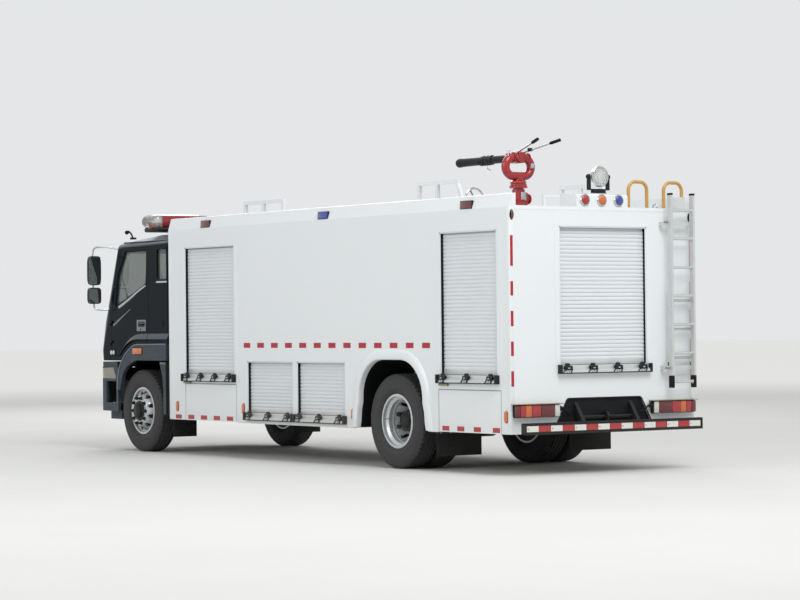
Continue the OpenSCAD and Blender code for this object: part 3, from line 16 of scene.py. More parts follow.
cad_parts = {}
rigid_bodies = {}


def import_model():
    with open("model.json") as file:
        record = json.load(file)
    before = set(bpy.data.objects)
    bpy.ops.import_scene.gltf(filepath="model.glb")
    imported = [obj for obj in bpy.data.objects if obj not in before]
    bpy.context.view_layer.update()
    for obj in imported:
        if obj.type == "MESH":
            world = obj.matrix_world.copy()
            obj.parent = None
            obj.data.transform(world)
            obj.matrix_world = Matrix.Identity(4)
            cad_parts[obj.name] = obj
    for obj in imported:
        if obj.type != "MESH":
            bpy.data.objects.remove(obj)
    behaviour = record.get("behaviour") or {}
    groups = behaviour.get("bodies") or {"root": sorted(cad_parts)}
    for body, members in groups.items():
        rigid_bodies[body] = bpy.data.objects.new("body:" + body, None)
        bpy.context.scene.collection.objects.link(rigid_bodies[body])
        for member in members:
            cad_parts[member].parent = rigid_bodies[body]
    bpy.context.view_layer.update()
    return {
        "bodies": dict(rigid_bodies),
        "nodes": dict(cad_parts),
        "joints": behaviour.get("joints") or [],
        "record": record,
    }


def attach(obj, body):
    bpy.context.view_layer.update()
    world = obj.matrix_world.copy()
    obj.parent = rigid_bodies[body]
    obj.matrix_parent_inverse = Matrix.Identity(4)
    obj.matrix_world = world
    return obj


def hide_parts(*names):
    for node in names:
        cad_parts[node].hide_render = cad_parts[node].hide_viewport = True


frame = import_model()
LOG = logging.getLogger("fire_truck")

# Stations of the source are millimetres from the rear wall; the frame's origin is mid-length
MID_STATION = 4500.0
REAR_WALL = -4.5
SIDE = 1.25
DECK = 2.82
FRONT_AXLE = 3.51
REAR_AXLE = -2.29
HUB_Z = 0.527
CAB_SIDE = 1.2
# Left and right as factors of Y, the same with the ends of names, and the lathe's outward axes
SIDES = (1, -1)
HANDS = ((1, "left"), (-1, "right"))
OUTWARD = {1: "y", -1: "-y"}
# Angle in degrees past which an edge of a mesh is drawn sharp
SHARP_EDGE = 35.0


def at(station: float) -> float:
    """Gives the X of a station.

    Args:
        station: Millimetres forward of the rear wall.

    Returns:
        X in metres.
    """
    return (station - MID_STATION) / 1000.0


def linear(hex_colour: str) -> tuple[float, float, float, float]:
    """Turns an sRGB hex colour into linear values.

    Args:
        hex_colour: Six hex digits after a hash.

    Returns:
        Linear red, green and blue, and an alpha of 1.
    """
    parts = [int(hex_colour[i:i + 2], 16) / 255.0 for i in (1, 3, 5)]
    values = [c / 12.92 if c <= 0.04045 else ((c + 0.055) / 1.055) ** 2.4 for c in parts]
    return (values[0], values[1], values[2], 1.0)


def add(tree: bpy.types.NodeTree, kind: str, inputs: dict | None = None,
        **settings) -> bpy.types.Node:
    """Adds a node with its settings, values and links.

    Args:
        tree: The tree that gets the node.
        kind: Blender's name of the node type.
        inputs: Values or sockets for the node's inputs, by name or number.
        **settings: Attributes of the node.

    Returns:
        The new node.
    """
    node = tree.nodes.new(kind)
    for key, value in settings.items():
        setattr(node, key, value)
    for key, value in (inputs or {}).items():
        if isinstance(value, bpy.types.NodeSocket):
            tree.links.new(value, node.inputs[key])
        else:
            node.inputs[key].default_value = value
    return node


class Grain(Enum):
    """How a surface's small relief lies."""

    PEEL = "peel"
    CAST = "cast"
    BRUSHED_X = "brushed_x"
    BRUSHED_Z = "brushed_z"
    RIBBED_Y = "ribbed_y"
    RIBBED_Z = "ribbed_z"
    WOVEN = "woven"


@dataclass(frozen=True)
class Finish:
    """One finish: its colour, gloss, relief, the dust that lies on it and a painted sky sheen."""

    name: str
    slot: str
    colour: str
    second: str = ""
    mix_size: float = 0.4
    metallic: float = 0.0
    roughness: float = 0.4
    rough_spread: float = 0.08
    coat: float = 0.0
    coat_roughness: float = 0.05
    ior: float = 1.5
    specular: float = 0.5
    # Painted sky reflection: share by which faces that look up are mixed towards a pale colour
    painted_sky_sheen: float = 0.0
    painted_sky_colour: str = "#a9b0ba"
    transmission: float = 0.0
    alpha: float = 1.0
    sheen: float = 0.0
    grain: Grain = Grain.PEEL
    grain_size: float = 0.006
    grain_depth: float = 0.0002
    sway_size: float = 0.0
    sway_depth: float = 0.0
    dust: float = 0.0
    dust_colour: str = "#a39a86"
    dust_top: float = 1.1
    glow: float = 0.0

    def material(self) -> bpy.types.Material:
        """Builds the finish once and gives it again on later calls."""
        found = bpy.data.materials.get(self.name)
        if found is not None:
            return found
        mat = bpy.data.materials.new(self.name)
        mat.use_nodes = True
        tree = mat.node_tree
        tree.nodes.clear()
        place = add(tree, "ShaderNodeTexCoord").outputs["Object"]
        shader = add(tree, "ShaderNodeBsdfPrincipled", {
            "Metallic": self.metallic, "IOR": self.ior, "Alpha": self.alpha,
            "Specular IOR Level": self.specular,
            "Transmission Weight": self.transmission, "Coat Weight": self.coat,
            "Coat Roughness": self.coat_roughness, "Sheen Weight": self.sheen,
            "Emission Color": linear(self.colour), "Emission Strength": self.glow,
        })
        add(tree, "ShaderNodeOutputMaterial", {"Surface": shader.outputs[0]})
        colour, rough = self._colour(tree, place)
        tree.links.new(colour, shader.inputs["Base Color"])
        tree.links.new(rough, shader.inputs["Roughness"])
        tree.links.new(self._relief(tree, place), shader.inputs["Normal"])
        return mat

    def _colour(self, tree: bpy.types.NodeTree, place: bpy.types.NodeSocket) -> tuple:
        """Mixes the base colour with its slow variation, a painted sky sheen and dust.

        Args:
            tree: The material's tree.
            place: Object coordinates.

        Returns:
            The colour socket and the roughness socket.
        """
        slow = add(tree, "ShaderNodeTexNoise", {
            "Vector": place, "Scale": 1.0 / self.mix_size, "Detail": 5.0, "Roughness": 0.6})
        # A mix node keeps its colour sockets at 6, 7 and 2, its number sockets at 2, 3 and 0
        base = add(tree, "ShaderNodeMix", {
            0: slow.outputs["Fac"], 6: linear(self.colour),
            7: linear(self.second or self.colour)}, data_type="RGBA")
        rough = add(tree, "ShaderNodeMapRange", {
            "Value": slow.outputs["Fac"], "From Min": 0.3, "From Max": 0.7,
            "To Min": max(self.roughness - self.rough_spread, 0.02),
            "To Max": min(self.roughness + self.rough_spread, 1.0)})
        # Faces that look up are mixed towards a pale grey: a painted reflection of the bright sky
        if self.painted_sky_sheen > 0.0:
            slope = add(tree, "ShaderNodeSeparateXYZ", {
                "Vector": add(tree, "ShaderNodeNewGeometry").outputs["Normal"]})
            up = add(tree, "ShaderNodeMapRange", {
                "Value": slope.outputs["Z"], "From Min": 0.18, "From Max": 0.75, "To Min": 0.0,
                "To Max": self.painted_sky_sheen})
            base = add(tree, "ShaderNodeMix", {
                0: up.outputs["Result"], 6: base.outputs[2], 7: linear(self.painted_sky_colour)},
                data_type="RGBA")
        if self.dust <= 0.0:
            return base.outputs[2], rough.outputs["Result"]
        height = add(tree, "ShaderNodeSeparateXYZ", {"Vector": place}).outputs["Z"]
        low = add(tree, "ShaderNodeMapRange", {
            "Value": height, "From Min": self.dust_top, "From Max": 0.15, "To Min": 0.0,
            "To Max": 1.0}, interpolation_type="SMOOTHSTEP")
        faces = add(tree, "ShaderNodeSeparateXYZ", {
            "Vector": add(tree, "ShaderNodeNewGeometry").outputs["Normal"]})
        flat = add(tree, "ShaderNodeMapRange", {
            "Value": faces.outputs["Z"], "From Min": 0.35, "From Max": 1.0, "To Min": 0.0,
            "To Max": 0.35})
        where = add(tree, "ShaderNodeMath", {0: low.outputs["Result"], 1: flat.outputs["Result"]},
                    operation="MAXIMUM")
        streak = add(tree, "ShaderNodeTexNoise", {
            "Vector": place, "Scale": 7.0, "Detail": 6.0, "Roughness": 0.7})
        patch = add(tree, "ShaderNodeMapRange", {
            "Value": streak.outputs["Fac"], "From Min": 0.25, "From Max": 0.75, "To Min": 0.35,
            "To Max": 1.0})
        amount = add(tree, "ShaderNodeMath", {
            0: where.outputs[0], 1: patch.outputs["Result"]}, operation="MULTIPLY")
        amount = add(tree, "ShaderNodeMath", {0: amount.outputs[0], 1: self.dust},
                     operation="MULTIPLY", use_clamp=True)
        dusty = add(tree, "ShaderNodeMix", {
            0: amount.outputs[0], 6: base.outputs[2], 7: linear(self.dust_colour)},
            data_type="RGBA")
        dull = add(tree, "ShaderNodeMix", {
            0: amount.outputs[0], 2: rough.outputs["Result"], 3: 0.85})
        return dusty.outputs[2], dull.outputs[0]

    def _relief(self, tree: bpy.types.NodeTree,
                place: bpy.types.NodeSocket) -> bpy.types.NodeSocket:
        """Builds the bump of the grain and of the panel's slow sway.

        Args:
            tree: The material's tree.
            place: Object coordinates.

        Returns:
            The normal socket.
        """
        stretch = {
            Grain.BRUSHED_X: (0.04, 1.0, 1.0), Grain.BRUSHED_Z: (1.0, 1.0, 0.04),
        }.get(self.grain, (1.0, 1.0, 1.0))
        spot = add(tree, "ShaderNodeMapping", {"Vector": place, "Scale": stretch})
        if self.grain in (Grain.RIBBED_Y, Grain.RIBBED_Z, Grain.WOVEN):
            wave = add(tree, "ShaderNodeTexWave", {
                "Vector": spot.outputs[0], "Scale": 0.314 / self.grain_size},
                bands_direction="Z" if self.grain == Grain.RIBBED_Z else "Y")
            height = wave.outputs["Fac"]
            if self.grain == Grain.WOVEN:
                cross = add(tree, "ShaderNodeTexWave", {
                    "Vector": spot.outputs[0], "Scale": 0.314 / self.grain_size},
                    bands_direction="Z")
                height = add(tree, "ShaderNodeMath", {0: height, 1: cross.outputs["Fac"]},
                             operation="MAXIMUM").outputs[0]
        else:
            detail = 4.0 if self.grain == Grain.CAST else 2.0
            height = add(tree, "ShaderNodeTexNoise", {
                "Vector": spot.outputs[0], "Scale": 1.0 / self.grain_size, "Detail": detail,
            }).outputs["Fac"]
        fine = add(tree, "ShaderNodeBump", {
            "Height": height, "Strength": 1.0, "Distance": self.grain_depth})
        if self.sway_depth <= 0.0:
            return fine.outputs[0]
        sway = add(tree, "ShaderNodeTexNoise", {
            "Vector": place, "Scale": 1.0 / self.sway_size, "Detail": 1.0})
        slow = add(tree, "ShaderNodeBump", {
            "Height": sway.outputs["Fac"], "Strength": 1.0, "Distance": self.sway_depth,
            "Normal": fine.outputs[0]})
        return slow.outputs[0]


# Sprayed two-pack enamel on steel panels: cool off-white, soft gloss, a slow sway in the sheet
WHITE_ENAMEL = Finish("white_sprayed_enamel", "white_paint", "#e6e9eb", "#e0e4e6", 1.6,
                      roughness=0.36,
                      coat=0.12, coat_roughness=0.2, grain_size=0.012, grain_depth=0.0001,
                      sway_size=0.9, sway_depth=0.0012, dust=0.22, dust_top=0.9)
# The same enamel on the deck, scuffed by boots
DECK_ENAMEL = Finish("white_deck_enamel", "white_paint", "#d9dbda", "#c8cac8", 0.5,
                     roughness=0.5, dust=0.7,
                     grain_size=0.02, grain_depth=0.0006, dust_top=0.9)
# Deep black cab enamel under clear coat; faces that look up are painted pale as a sky reflection
BLACK_ENAMEL = Finish("black_cab_enamel", "black_paint", "#060d14", "#09121b", 0.8, roughness=0.13,
                      rough_spread=0.03, specular=0.07, painted_sky_sheen=0.6, grain_size=0.012,
                      grain_depth=0.00008, sway_size=0.7, sway_depth=0.002)
# Satin black chassis enamel under road dust
CHASSIS_ENAMEL = Finish("satin_chassis_enamel", "frame_paint", "#0e1116", "#14171b", 0.3,
                        roughness=0.45,
                        specular=0.3, grain_size=0.01, grain_depth=0.0003, dust=0.1, dust_top=1.0)
# Forged and cast iron with dull paint
FORGED_IRON = Finish("painted_forged_iron", "forged_iron", "#141518", "#1c1c1c", 0.12,
                     roughness=0.6,
                     specular=0.3, grain=Grain.CAST, grain_size=0.008, grain_depth=0.0012,
                     dust=0.2, dust_top=1.0)
# Powder-coated aluminium shutter slats
SLAT_COAT = Finish("powder_coated_slats", "shutter_aluminium", "#dde1e4", "#d5dadd", 0.9,
                   roughness=0.42,
                   grain=Grain.BRUSHED_X, grain_size=0.01, grain_depth=0.0002, dust=0.25)
# Brushed stainless latches and bars
STAINLESS = Finish("brushed_stainless", "latch_steel", "#cfd2d4", "#b9bdc0", 0.08,
                   metallic=1.0, roughness=0.26,
                   grain=Grain.BRUSHED_X, grain_size=0.003, grain_depth=0.0002, dust=0.2)
# Extruded aluminium of the ladder, dull from weather
LADDER_ALUMINIUM = Finish("extruded_aluminium", "bare_aluminium", "#d3d5d4", "#c5c8c8", 0.2,
                          metallic=0.35,
                          roughness=0.38, grain=Grain.BRUSHED_Z, grain_size=0.004,
                          grain_depth=0.0002, dust=0.3)
# Silver wheel enamel with brake dust near the hub
WHEEL_SILVER = Finish("silver_wheel_enamel", "wheel_steel", "#d2d5d7", "#bfc3c6", 0.12,
                      metallic=0.45,
                      roughness=0.3, grain_size=0.006, grain_depth=0.0002, dust=0.15, dust_top=0.7,
                      dust_colour="#7a7366")
HUB_BLACK = Finish("black_hub_casting", "forged_iron", "#0a0c0f", "#121316", 0.05, roughness=0.42,
                   specular=0.3, grain=Grain.CAST, grain_size=0.006, grain_depth=0.0006, dust=0.08,
                   dust_top=0.8)
# Tyre rubber, greyed by dust
TYRE_RUBBER = Finish("tyre_rubber", "tyre_rubber", "#171c21", "#1f2429", 0.15, roughness=0.72,
                     specular=0.28,
                     grain=Grain.CAST, grain_size=0.004, grain_depth=0.0004, dust=0.14,
                     dust_top=0.6, dust_colour="#7b7365")
FLAP_RUBBER = Finish("flap_rubber", "black_rubber", "#0a0d11", "#101317", 0.2, roughness=0.62,
                     specular=0.25, grain=Grain.RIBBED_Z, grain_size=0.02, grain_depth=0.0008,
                     dust=0.06, dust_top=0.6)
SEAL_RUBBER = Finish("seal_rubber", "black_rubber", "#08090c", "#0e0f12", 0.1, roughness=0.6,
                     specular=0.25,
                     grain_depth=0.0002)
# Moulded cab plastics with a leather grain
SLATE_PLASTIC = Finish("slate_grained_plastic", "dark_plastic", "#3a444b", "#333c43", 0.3,
                       roughness=0.5,
                       specular=0.35, grain=Grain.CAST, grain_size=0.005, grain_depth=0.0004,
                       dust=0.08, dust_top=1.0)
# The same plastic painted pale where its edges catch the light: a painted highlight
HIGHLIGHT_PLASTIC = Finish("plastic_painted_highlight", "dark_plastic", "#79838b", "#6c757d", 0.1,
                      roughness=0.45,
                      grain=Grain.CAST, grain_size=0.005, grain_depth=0.0003)
# Grey compressible strip in the body's seams
GREY_SEAL = Finish("grey_seam_strip", "black_rubber", "#8d9296", "#83888c", 0.1, roughness=0.7,
                   grain_depth=0.0002)
BLACK_PLASTIC = Finish("black_grained_plastic", "black_plastic", "#0c0e12", "#131519", 0.2,
                       roughness=0.42, specular=0.35,
                       grain=Grain.CAST, grain_size=0.004, grain_depth=0.0003, dust=0.2)
SEAT_CLOTH = Finish("woven_seat_cloth", "black_plastic", "#3b3e43", "#2f3236", 0.05,
                    roughness=0.95, sheen=0.3,
                    grain=Grain.WOVEN, grain_size=0.006, grain_depth=0.0012)
# Red castings of the monitor
MONITOR_RED = Finish("red_casting_enamel", "red_paint", "#a31a20", "#8c1419", 0.08,
                     roughness=0.34, coat=0.5,
                     grain=Grain.CAST, grain_size=0.012, grain_depth=0.0008)
HOOP_YELLOW = Finish("yellow_rail_enamel", "yellow_paint", "#c99b4a", "#b88a3c", 0.1,
                     roughness=0.38, coat=0.3,
                     grain_size=0.01, grain_depth=0.0002)
CHROME = Finish("polished_chrome", "latch_steel", "#d5d8da", "#c8cbcd", 0.2, metallic=1.0,
                roughness=0.1,
                rough_spread=0.04, grain_size=0.01, grain_depth=0.0001)
MIRROR = Finish("silvered_mirror", "latch_steel", "#e6eaec", "#dfe3e6", 0.4, metallic=1.0,
                roughness=0.03,
                rough_spread=0.01, grain_size=0.03, grain_depth=0.00002)
# Moulded lens plastics with prism ribs
RED_LENS = Finish("red_prism_lens", "red_lens", "#b0141c", "#8e0f16", 0.05, roughness=0.12,
                  coat=0.8,
                  grain=Grain.RIBBED_Y, grain_size=0.008, grain_depth=0.0012, glow=0.04)
DARK_RED_LENS = Finish("dark_red_lens", "red_lens", "#6a0d13", "#560a0f", 0.05,
                       roughness=0.14, coat=0.8,
                       grain=Grain.RIBBED_Z, grain_size=0.008, grain_depth=0.001)
AMBER_LENS = Finish("amber_prism_lens", "amber_lens", "#cf6a22", "#bb5a1c", 0.05,
                    roughness=0.14, coat=0.8,
                    grain=Grain.RIBBED_Y, grain_size=0.008, grain_depth=0.0012, glow=0.04)
BLUE_LENS = Finish("blue_dome_lens", "clear_lens", "#1d3f9e", "#17337f", 0.04, roughness=0.12,
                   coat=0.8,
                   grain=Grain.RIBBED_Y, grain_size=0.007, grain_depth=0.001, glow=0.04)
WHITE_LENS = Finish("white_prism_lens", "clear_lens", "#d8d9d3", "#c6c7c1", 0.05,
                    roughness=0.14, coat=0.8,
                    grain=Grain.RIBBED_Y, grain_size=0.007, grain_depth=0.001)
CLEAR_LENS = Finish("clear_moulded_lens", "clear_lens", "#e9ecec", "#dfe3e3", 0.2, roughness=0.06,
                    transmission=0.85, ior=1.49, grain=Grain.RIBBED_Z, grain_size=0.02,
                    grain_depth=0.0006)
RED_SHELL = Finish("red_translucent_shell", "red_lens", "#b3101b", "#9a0c16", 0.1, roughness=0.12,
                   transmission=0.35, ior=1.49, coat=0.7, grain=Grain.RIBBED_Y, grain_size=0.02,
                   grain_depth=0.001)
# Weathered headlamp glass, straw grey against the dark bumper
HEADLAMP_LENS = Finish("weathered_headlamp_lens", "clear_lens", "#a59e88", "#8f8976", 0.08,
                       roughness=0.1,
                       transmission=0.35, ior=1.49, coat=0.8, grain=Grain.RIBBED_Z,
                       grain_size=0.02, grain_depth=0.0008)
# Tinted safety glass
WINDOW_GLASS = Finish("tinted_safety_glass", "window_glass", "#55655d", "#4d5d55", 0.5,
                      roughness=0.03,
                      rough_spread=0.01, transmission=0.0, alpha=0.42, coat=1.0,
                      coat_roughness=0.02, grain_size=0.2, grain_depth=0.0001)
# Retro-reflective tape with its bead pattern drawn coarse enough to show
RED_TAPE = Finish("red_reflective_tape", "red_lens", "#b5182c", "#a01326", 0.06, roughness=0.3,
                  grain=Grain.WOVEN, grain_size=0.012, grain_depth=0.0003, dust=0.3, dust_top=0.8)
WHITE_TAPE = Finish("white_reflective_tape", "white_paint", "#e4e4e0", "#d6d6d0", 0.06,
                    roughness=0.3,
                    grain=Grain.WOVEN, grain_size=0.012, grain_depth=0.0003, dust=0.3, dust_top=0.8)
GALVANISED = Finish("zinc_plated_steel", "latch_steel", "#a9a58f", "#8d8977", 0.03,
                    metallic=0.8, roughness=0.4,
                    grain=Grain.CAST, grain_size=0.012, grain_depth=0.0004)


class Shape:
    """Collects solid forms in one mesh and hands it over as a finished piece."""

    def __init__(self) -> None:
        """Starts with an empty mesh."""
        self.bm = bmesh.new()

    def _take(self, part: bmesh.types.BMesh) -> None:
        """Moves a form into the mesh.

        Args:
            part: The form, which is freed.
        """
        mesh = bpy.data.meshes.new("part")
        bmesh.ops.recalc_face_normals(part, faces=part.faces)
        part.to_mesh(mesh)
        part.free()
        self.bm.from_mesh(mesh)
        bpy.data.meshes.remove(mesh)

    def block(self, low: tuple, high: tuple, bevel: float = 0.003, turn: Matrix | None = None,
              segments: int = 2) -> "Shape":
        """Adds a box with rounded edges.

        Args:
            low: One corner.
            high: The opposite corner.
            bevel: Edge radius.
            turn: A matrix that is applied to the box.
            segments: Faces across each edge.

        Returns:
            This shape.
        """
        part = bmesh.new()
        low_v, high_v = (Vector([pick(pair) for pair in zip(low, high)]) for pick in (min, max))
        scale = Matrix.Diagonal((*(high_v - low_v), 1.0))
        place = Matrix.Translation((low_v + high_v) / 2) @ scale
        bmesh.ops.create_cube(part, size=1.0, matrix=place)
        limit = min(high_v - low_v) * 0.45
        if bevel > 0.0:
            bmesh.ops.bevel(part, geom=list(part.edges), offset=min(bevel, limit),
                            segments=segments, profile=0.5, affect="EDGES")
        if turn is not None:
            bmesh.ops.transform(part, matrix=turn, verts=part.verts)
        self._take(part)
        return self

    def blocks(self, low: tuple, high: tuple, bevel: float = 0.003, segments: int = 2) -> "Shape":
        """Adds a box and its mirror image over the centre plane."""
        self.block(low, high, bevel, segments=segments)
        return self.block((low[0], -low[1], low[2]), (high[0], -high[1], high[2]), bevel,
                          segments=segments)

    def prism(self, outline: list, axis: str, low: float, high: float,
              bevel: float = 0.0) -> "Shape":
        """Adds a flat outline drawn out along an axis.

        Args:
            outline: Points in the plane across the axis, in X, Y, Z order.
            axis: "x", "y" or "z".
            low: First limit along the axis.
            high: Second limit along the axis.
            bevel: Radius of the edges of the two end faces.

        Returns:
            This shape.
        """
        part = bmesh.new()
        lift = {"x": lambda p, d: (d, p[0], p[1]), "y": lambda p, d: (p[0], d, p[1]),
                "z": lambda p, d: (p[0], p[1], d)}[axis]
        ends = [[part.verts.new(lift(p, d)) for p in outline] for d in (low, high)]
        count = len(outline)
        caps = [part.faces.new(ends[0]), part.faces.new(list(reversed(ends[1])))]
        for i in range(count):
            j = (i + 1) % count
            part.faces.new((ends[0][i], ends[1][i], ends[1][j], ends[0][j]))
        if bevel > 0.0:
            rim = list({e for f in caps for e in f.edges})
            bmesh.ops.bevel(part, geom=rim, offset=bevel, segments=2, profile=0.5, affect="EDGES")
        self._take(part)
        return self

    def tube(self, path: list, radius: float, sides: int = 14, closed: bool = False) -> "Shape":
        """Adds a round bar along a path.

        Args:
            path: Points of the centre line.
            radius: Radius of the bar.
            sides: Faces around it.
            closed: Whether the path is a loop.

        Returns:
            This shape.
        """
        part = bmesh.new()
        points = [Vector(p) for p in path]
        count = len(points)
        rings = []
        side = None
        for i, point in enumerate(points):
            before = points[i - 1] if i > 0 or closed else point
            after = points[(i + 1) % count] if i < count - 1 or closed else point
            ahead = (after - before).normalized()
            if side is None:
                side = ahead.orthogonal().normalized()
            side = (side - ahead * side.dot(ahead)).normalized()
            up = ahead.cross(side)
            rings.append([part.verts.new(point + radius * (
                math.cos(math.tau * k / sides) * side + math.sin(math.tau * k / sides) * up))
                for k in range(sides)])
        pairs = count if closed else count - 1
        for i in range(pairs):
            a, b = rings[i], rings[(i + 1) % count]
            shift = 0
            if closed and i == pairs - 1:
                shift = min(range(sides), key=lambda s: (b[s].co - a[0].co).length)
            for k in range(sides):
                part.faces.new((a[k], a[(k + 1) % sides], b[(k + 1 + shift) % sides],
                                b[(k + shift) % sides]))
        if not closed:
            part.faces.new(rings[0])
            part.faces.new(list(reversed(rings[-1])))
        self._take(part)
        return self

    def lathe(self, profile: list, centre: tuple, axis: str = "y", steps: int = 48,
              closed: bool = False) -> "Shape":
        """Adds a turned form.

        Args:
            profile: Radius and distance along the axis for each point.
            centre: The point on the axis at distance 0.
            axis: "x", "y" or "z"; a minus sign before it turns the form round.
            steps: Faces around the axis.
            closed: Whether the profile is a loop, for a ring.

        Returns:
            This shape.
        """
        part = bmesh.new()
        sign = -1.0 if axis.startswith("-") else 1.0
        name = axis[-1]
        place = {
            "x": lambda r, h, c, s: (sign * h, r * c, r * s),
            "y": lambda r, h, c, s: (r * c, sign * h, r * s),
            "z": lambda r, h, c, s: (r * c, r * s, sign * h),
        }[name]
        base = Vector(centre)
        rings = []
        for radius, height in profile:
            if radius < 1e-6:
                rings.append([part.verts.new(base + Vector(place(0.0, height, 1.0, 0.0)))])
                continue
            rings.append([part.verts.new(base + Vector(place(
                radius, height, math.cos(math.tau * k / steps), math.sin(math.tau * k / steps))))
                for k in range(steps)])
        pairs = list(zip(rings, rings[1:])) + ([(rings[-1], rings[0])] if closed else [])
        for a, b in pairs:
            for k in range(steps):
                j = (k + 1) % steps
                if len(a) == 1 and len(b) == 1:
                    continue
                if len(a) == 1:
                    part.faces.new((a[0], b[k], b[j]))
                elif len(b) == 1:
                    part.faces.new((a[k], a[j], b[0]))
                else:
                    part.faces.new((a[k], a[j], b[j], b[k]))
        if not closed:
            for ring in (rings[0], rings[-1]):
                if len(ring) > 1:
                    part.faces.new(ring)
        self._take(part)
        return self

    def strip(self, path: list, width: float, thickness: float, normal: Vector,
              taper: float = 1.0) -> "Shape":
        """Adds a flat strip along a path, with its face across the normal.

        Args:
            path: Points of the centre line.
            width: Width across the path.
            thickness: Height above the path, along the normal.
            normal: Direction in which the strip stands out.
            taper: Share of the width that is left at the path's end.

        Returns:
            This shape.
        """
        part = bmesh.new()
        points = [Vector(p) for p in path]
        out = Vector(normal).normalized()
        rows = []
        for i, point in enumerate(points):
            ahead = (points[min(i + 1, len(points) - 1)] - points[max(i - 1, 0)]).normalized()
            share = 1.0 + (taper - 1.0) * i / (len(points) - 1)
            across = out.cross(ahead).normalized() * (width / 2 * share)
            lift = out * thickness
            edge = 0.2 * across
            rows.append([part.verts.new(point + v) for v in (
                -across, -across + edge + lift, across - edge + lift, across)])
        for a, b in zip(rows, rows[1:]):
            for k in range(4):
                j = (k + 1) % 4
                part.faces.new((a[k], a[j], b[j], b[k]))
        part.faces.new(rows[0])
        part.faces.new(list(reversed(rows[-1])))
        self._take(part)
        return self

    def loft(self, rows: list, caps: bool = True, loop: bool = False) -> "Shape":
        """Adds a skin over rows of points, each row a closed loop.

        Args:
            rows: Loops with equal numbers of points.
            caps: Whether the first and last loops are filled.
            loop: Whether the last row joins the first.

        Returns:
            This shape.
        """
        part = bmesh.new()
        made = [[part.verts.new(p) for p in row] for row in rows]
        for a, b in list(zip(made, made[1:])) + ([(made[-1], made[0])] if loop else []):
            for k in range(len(a)):
                j = (k + 1) % len(a)
                part.faces.new((a[k], a[j], b[j], b[k]))
        if caps and not loop:
            part.faces.new(made[0])
            part.faces.new(list(reversed(made[-1])))
        self._take(part)
        return self

    def mesh(self, name: str, sharp: float = SHARP_EDGE) -> bpy.types.Mesh:
        """Gives the collected form as a mesh with smooth faces and sharp edges.

        Args:
            name: The mesh's name.
            sharp: Angle in degrees past which an edge is sharp.

        Returns:
            The mesh.
        """
        mesh = bpy.data.meshes.new(name)
        self.bm.to_mesh(mesh)
        self.bm.free()
        mesh.polygons.foreach_set("use_smooth", [True] * len(mesh.polygons))
        mesh.set_sharp_from_angle(angle=math.radians(sharp))
        return mesh

    def piece(self, name: str, finish: Finish, body: str = "chassis", replaces: tuple = (),
              sharp: float = SHARP_EDGE) -> bpy.types.Object:
        """Makes the collected form an object that rides on a body.

        Args:
            name: The object's name.
            finish: Its finish.
            body: The body that it rides on.
            replaces: Solids that it stands for.
            sharp: Angle in degrees past which an edge is sharp.

        Returns:
            The object.
        """
        return settle(self.mesh(name, sharp), name, finish, body, replaces)


def shapes(count: int) -> list[Shape]:
    """Starts several empty shapes."""
    return [Shape() for _ in range(count)]


def settle(mesh: bpy.types.Mesh, name: str, finish: Finish, body: str = "chassis",
           replaces: tuple = ()) -> bpy.types.Object:
    """Links a mesh as a piece and ties it to its body.

    Args:
        mesh: The piece's mesh, in place.
        name: The object's name.
        finish: Its finish.
        body: The body that it rides on.
        replaces: Solids that it stands for.

    Returns:
        The object.
    """
    mesh.materials.clear()
    mesh.materials.append(finish.material())
    piece = bpy.data.objects.new(name, mesh)
    bpy.context.scene.collection.objects.link(piece)
    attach(piece, body)
    if replaces:
        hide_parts(*replaces)
    LOG.info("%s: %d faces on %s", name, len(mesh.polygons), body)
    return piece


def rounded(points: list, radius: float, steps: int = 6) -> list:
    """Rounds the inner corners of a path.

    Args:
        points: The path's corners.
        radius: Distance from each corner at which the curve starts.
        steps: Points in each curve.

    Returns:
        The smoother path.
    """
    corners = [Vector(p) for p in points]
    path = [corners[0]]
    for before, corner, after in zip(corners, corners[1:], corners[2:]):
        cut = min(radius, (before - corner).length * 0.49, (after - corner).length * 0.49)
        start = corner + (before - corner).normalized() * cut
        end = corner + (after - corner).normalized() * cut
        for k in range(steps + 1):
            t = k / steps
            path.append(start.lerp(corner, t).lerp(corner.lerp(end, t), t))
    return [tuple(p) for p in path + [corners[-1]]]


def flipped(points: list, side: float) -> list:
    """Gives points with their Y on the left for a side of 1 and on the right for -1."""
    return [(x, side * y, z) for x, y, z in points]


def squircle(count: int, power_x: float, power_y: float) -> list:
    """Gives points round a square with soft corners.

    Args:
        count: Number of points.
        power_x: Power of the cosine; less than 1 squares the outline.
        power_y: Power of the sine.

    Returns:
        Pairs from -1 to 1.
    """
    waves = [(math.cos(a), math.sin(a)) for a in (math.tau * k / count for k in range(count))]
    return [(math.copysign(abs(c) ** power_x, c), math.copysign(abs(s) ** power_y, s))
            for c, s in waves]


class Layout(Enum):
    """How copies of one small form are laid out."""

    ROW = "row"
    RING = "ring"


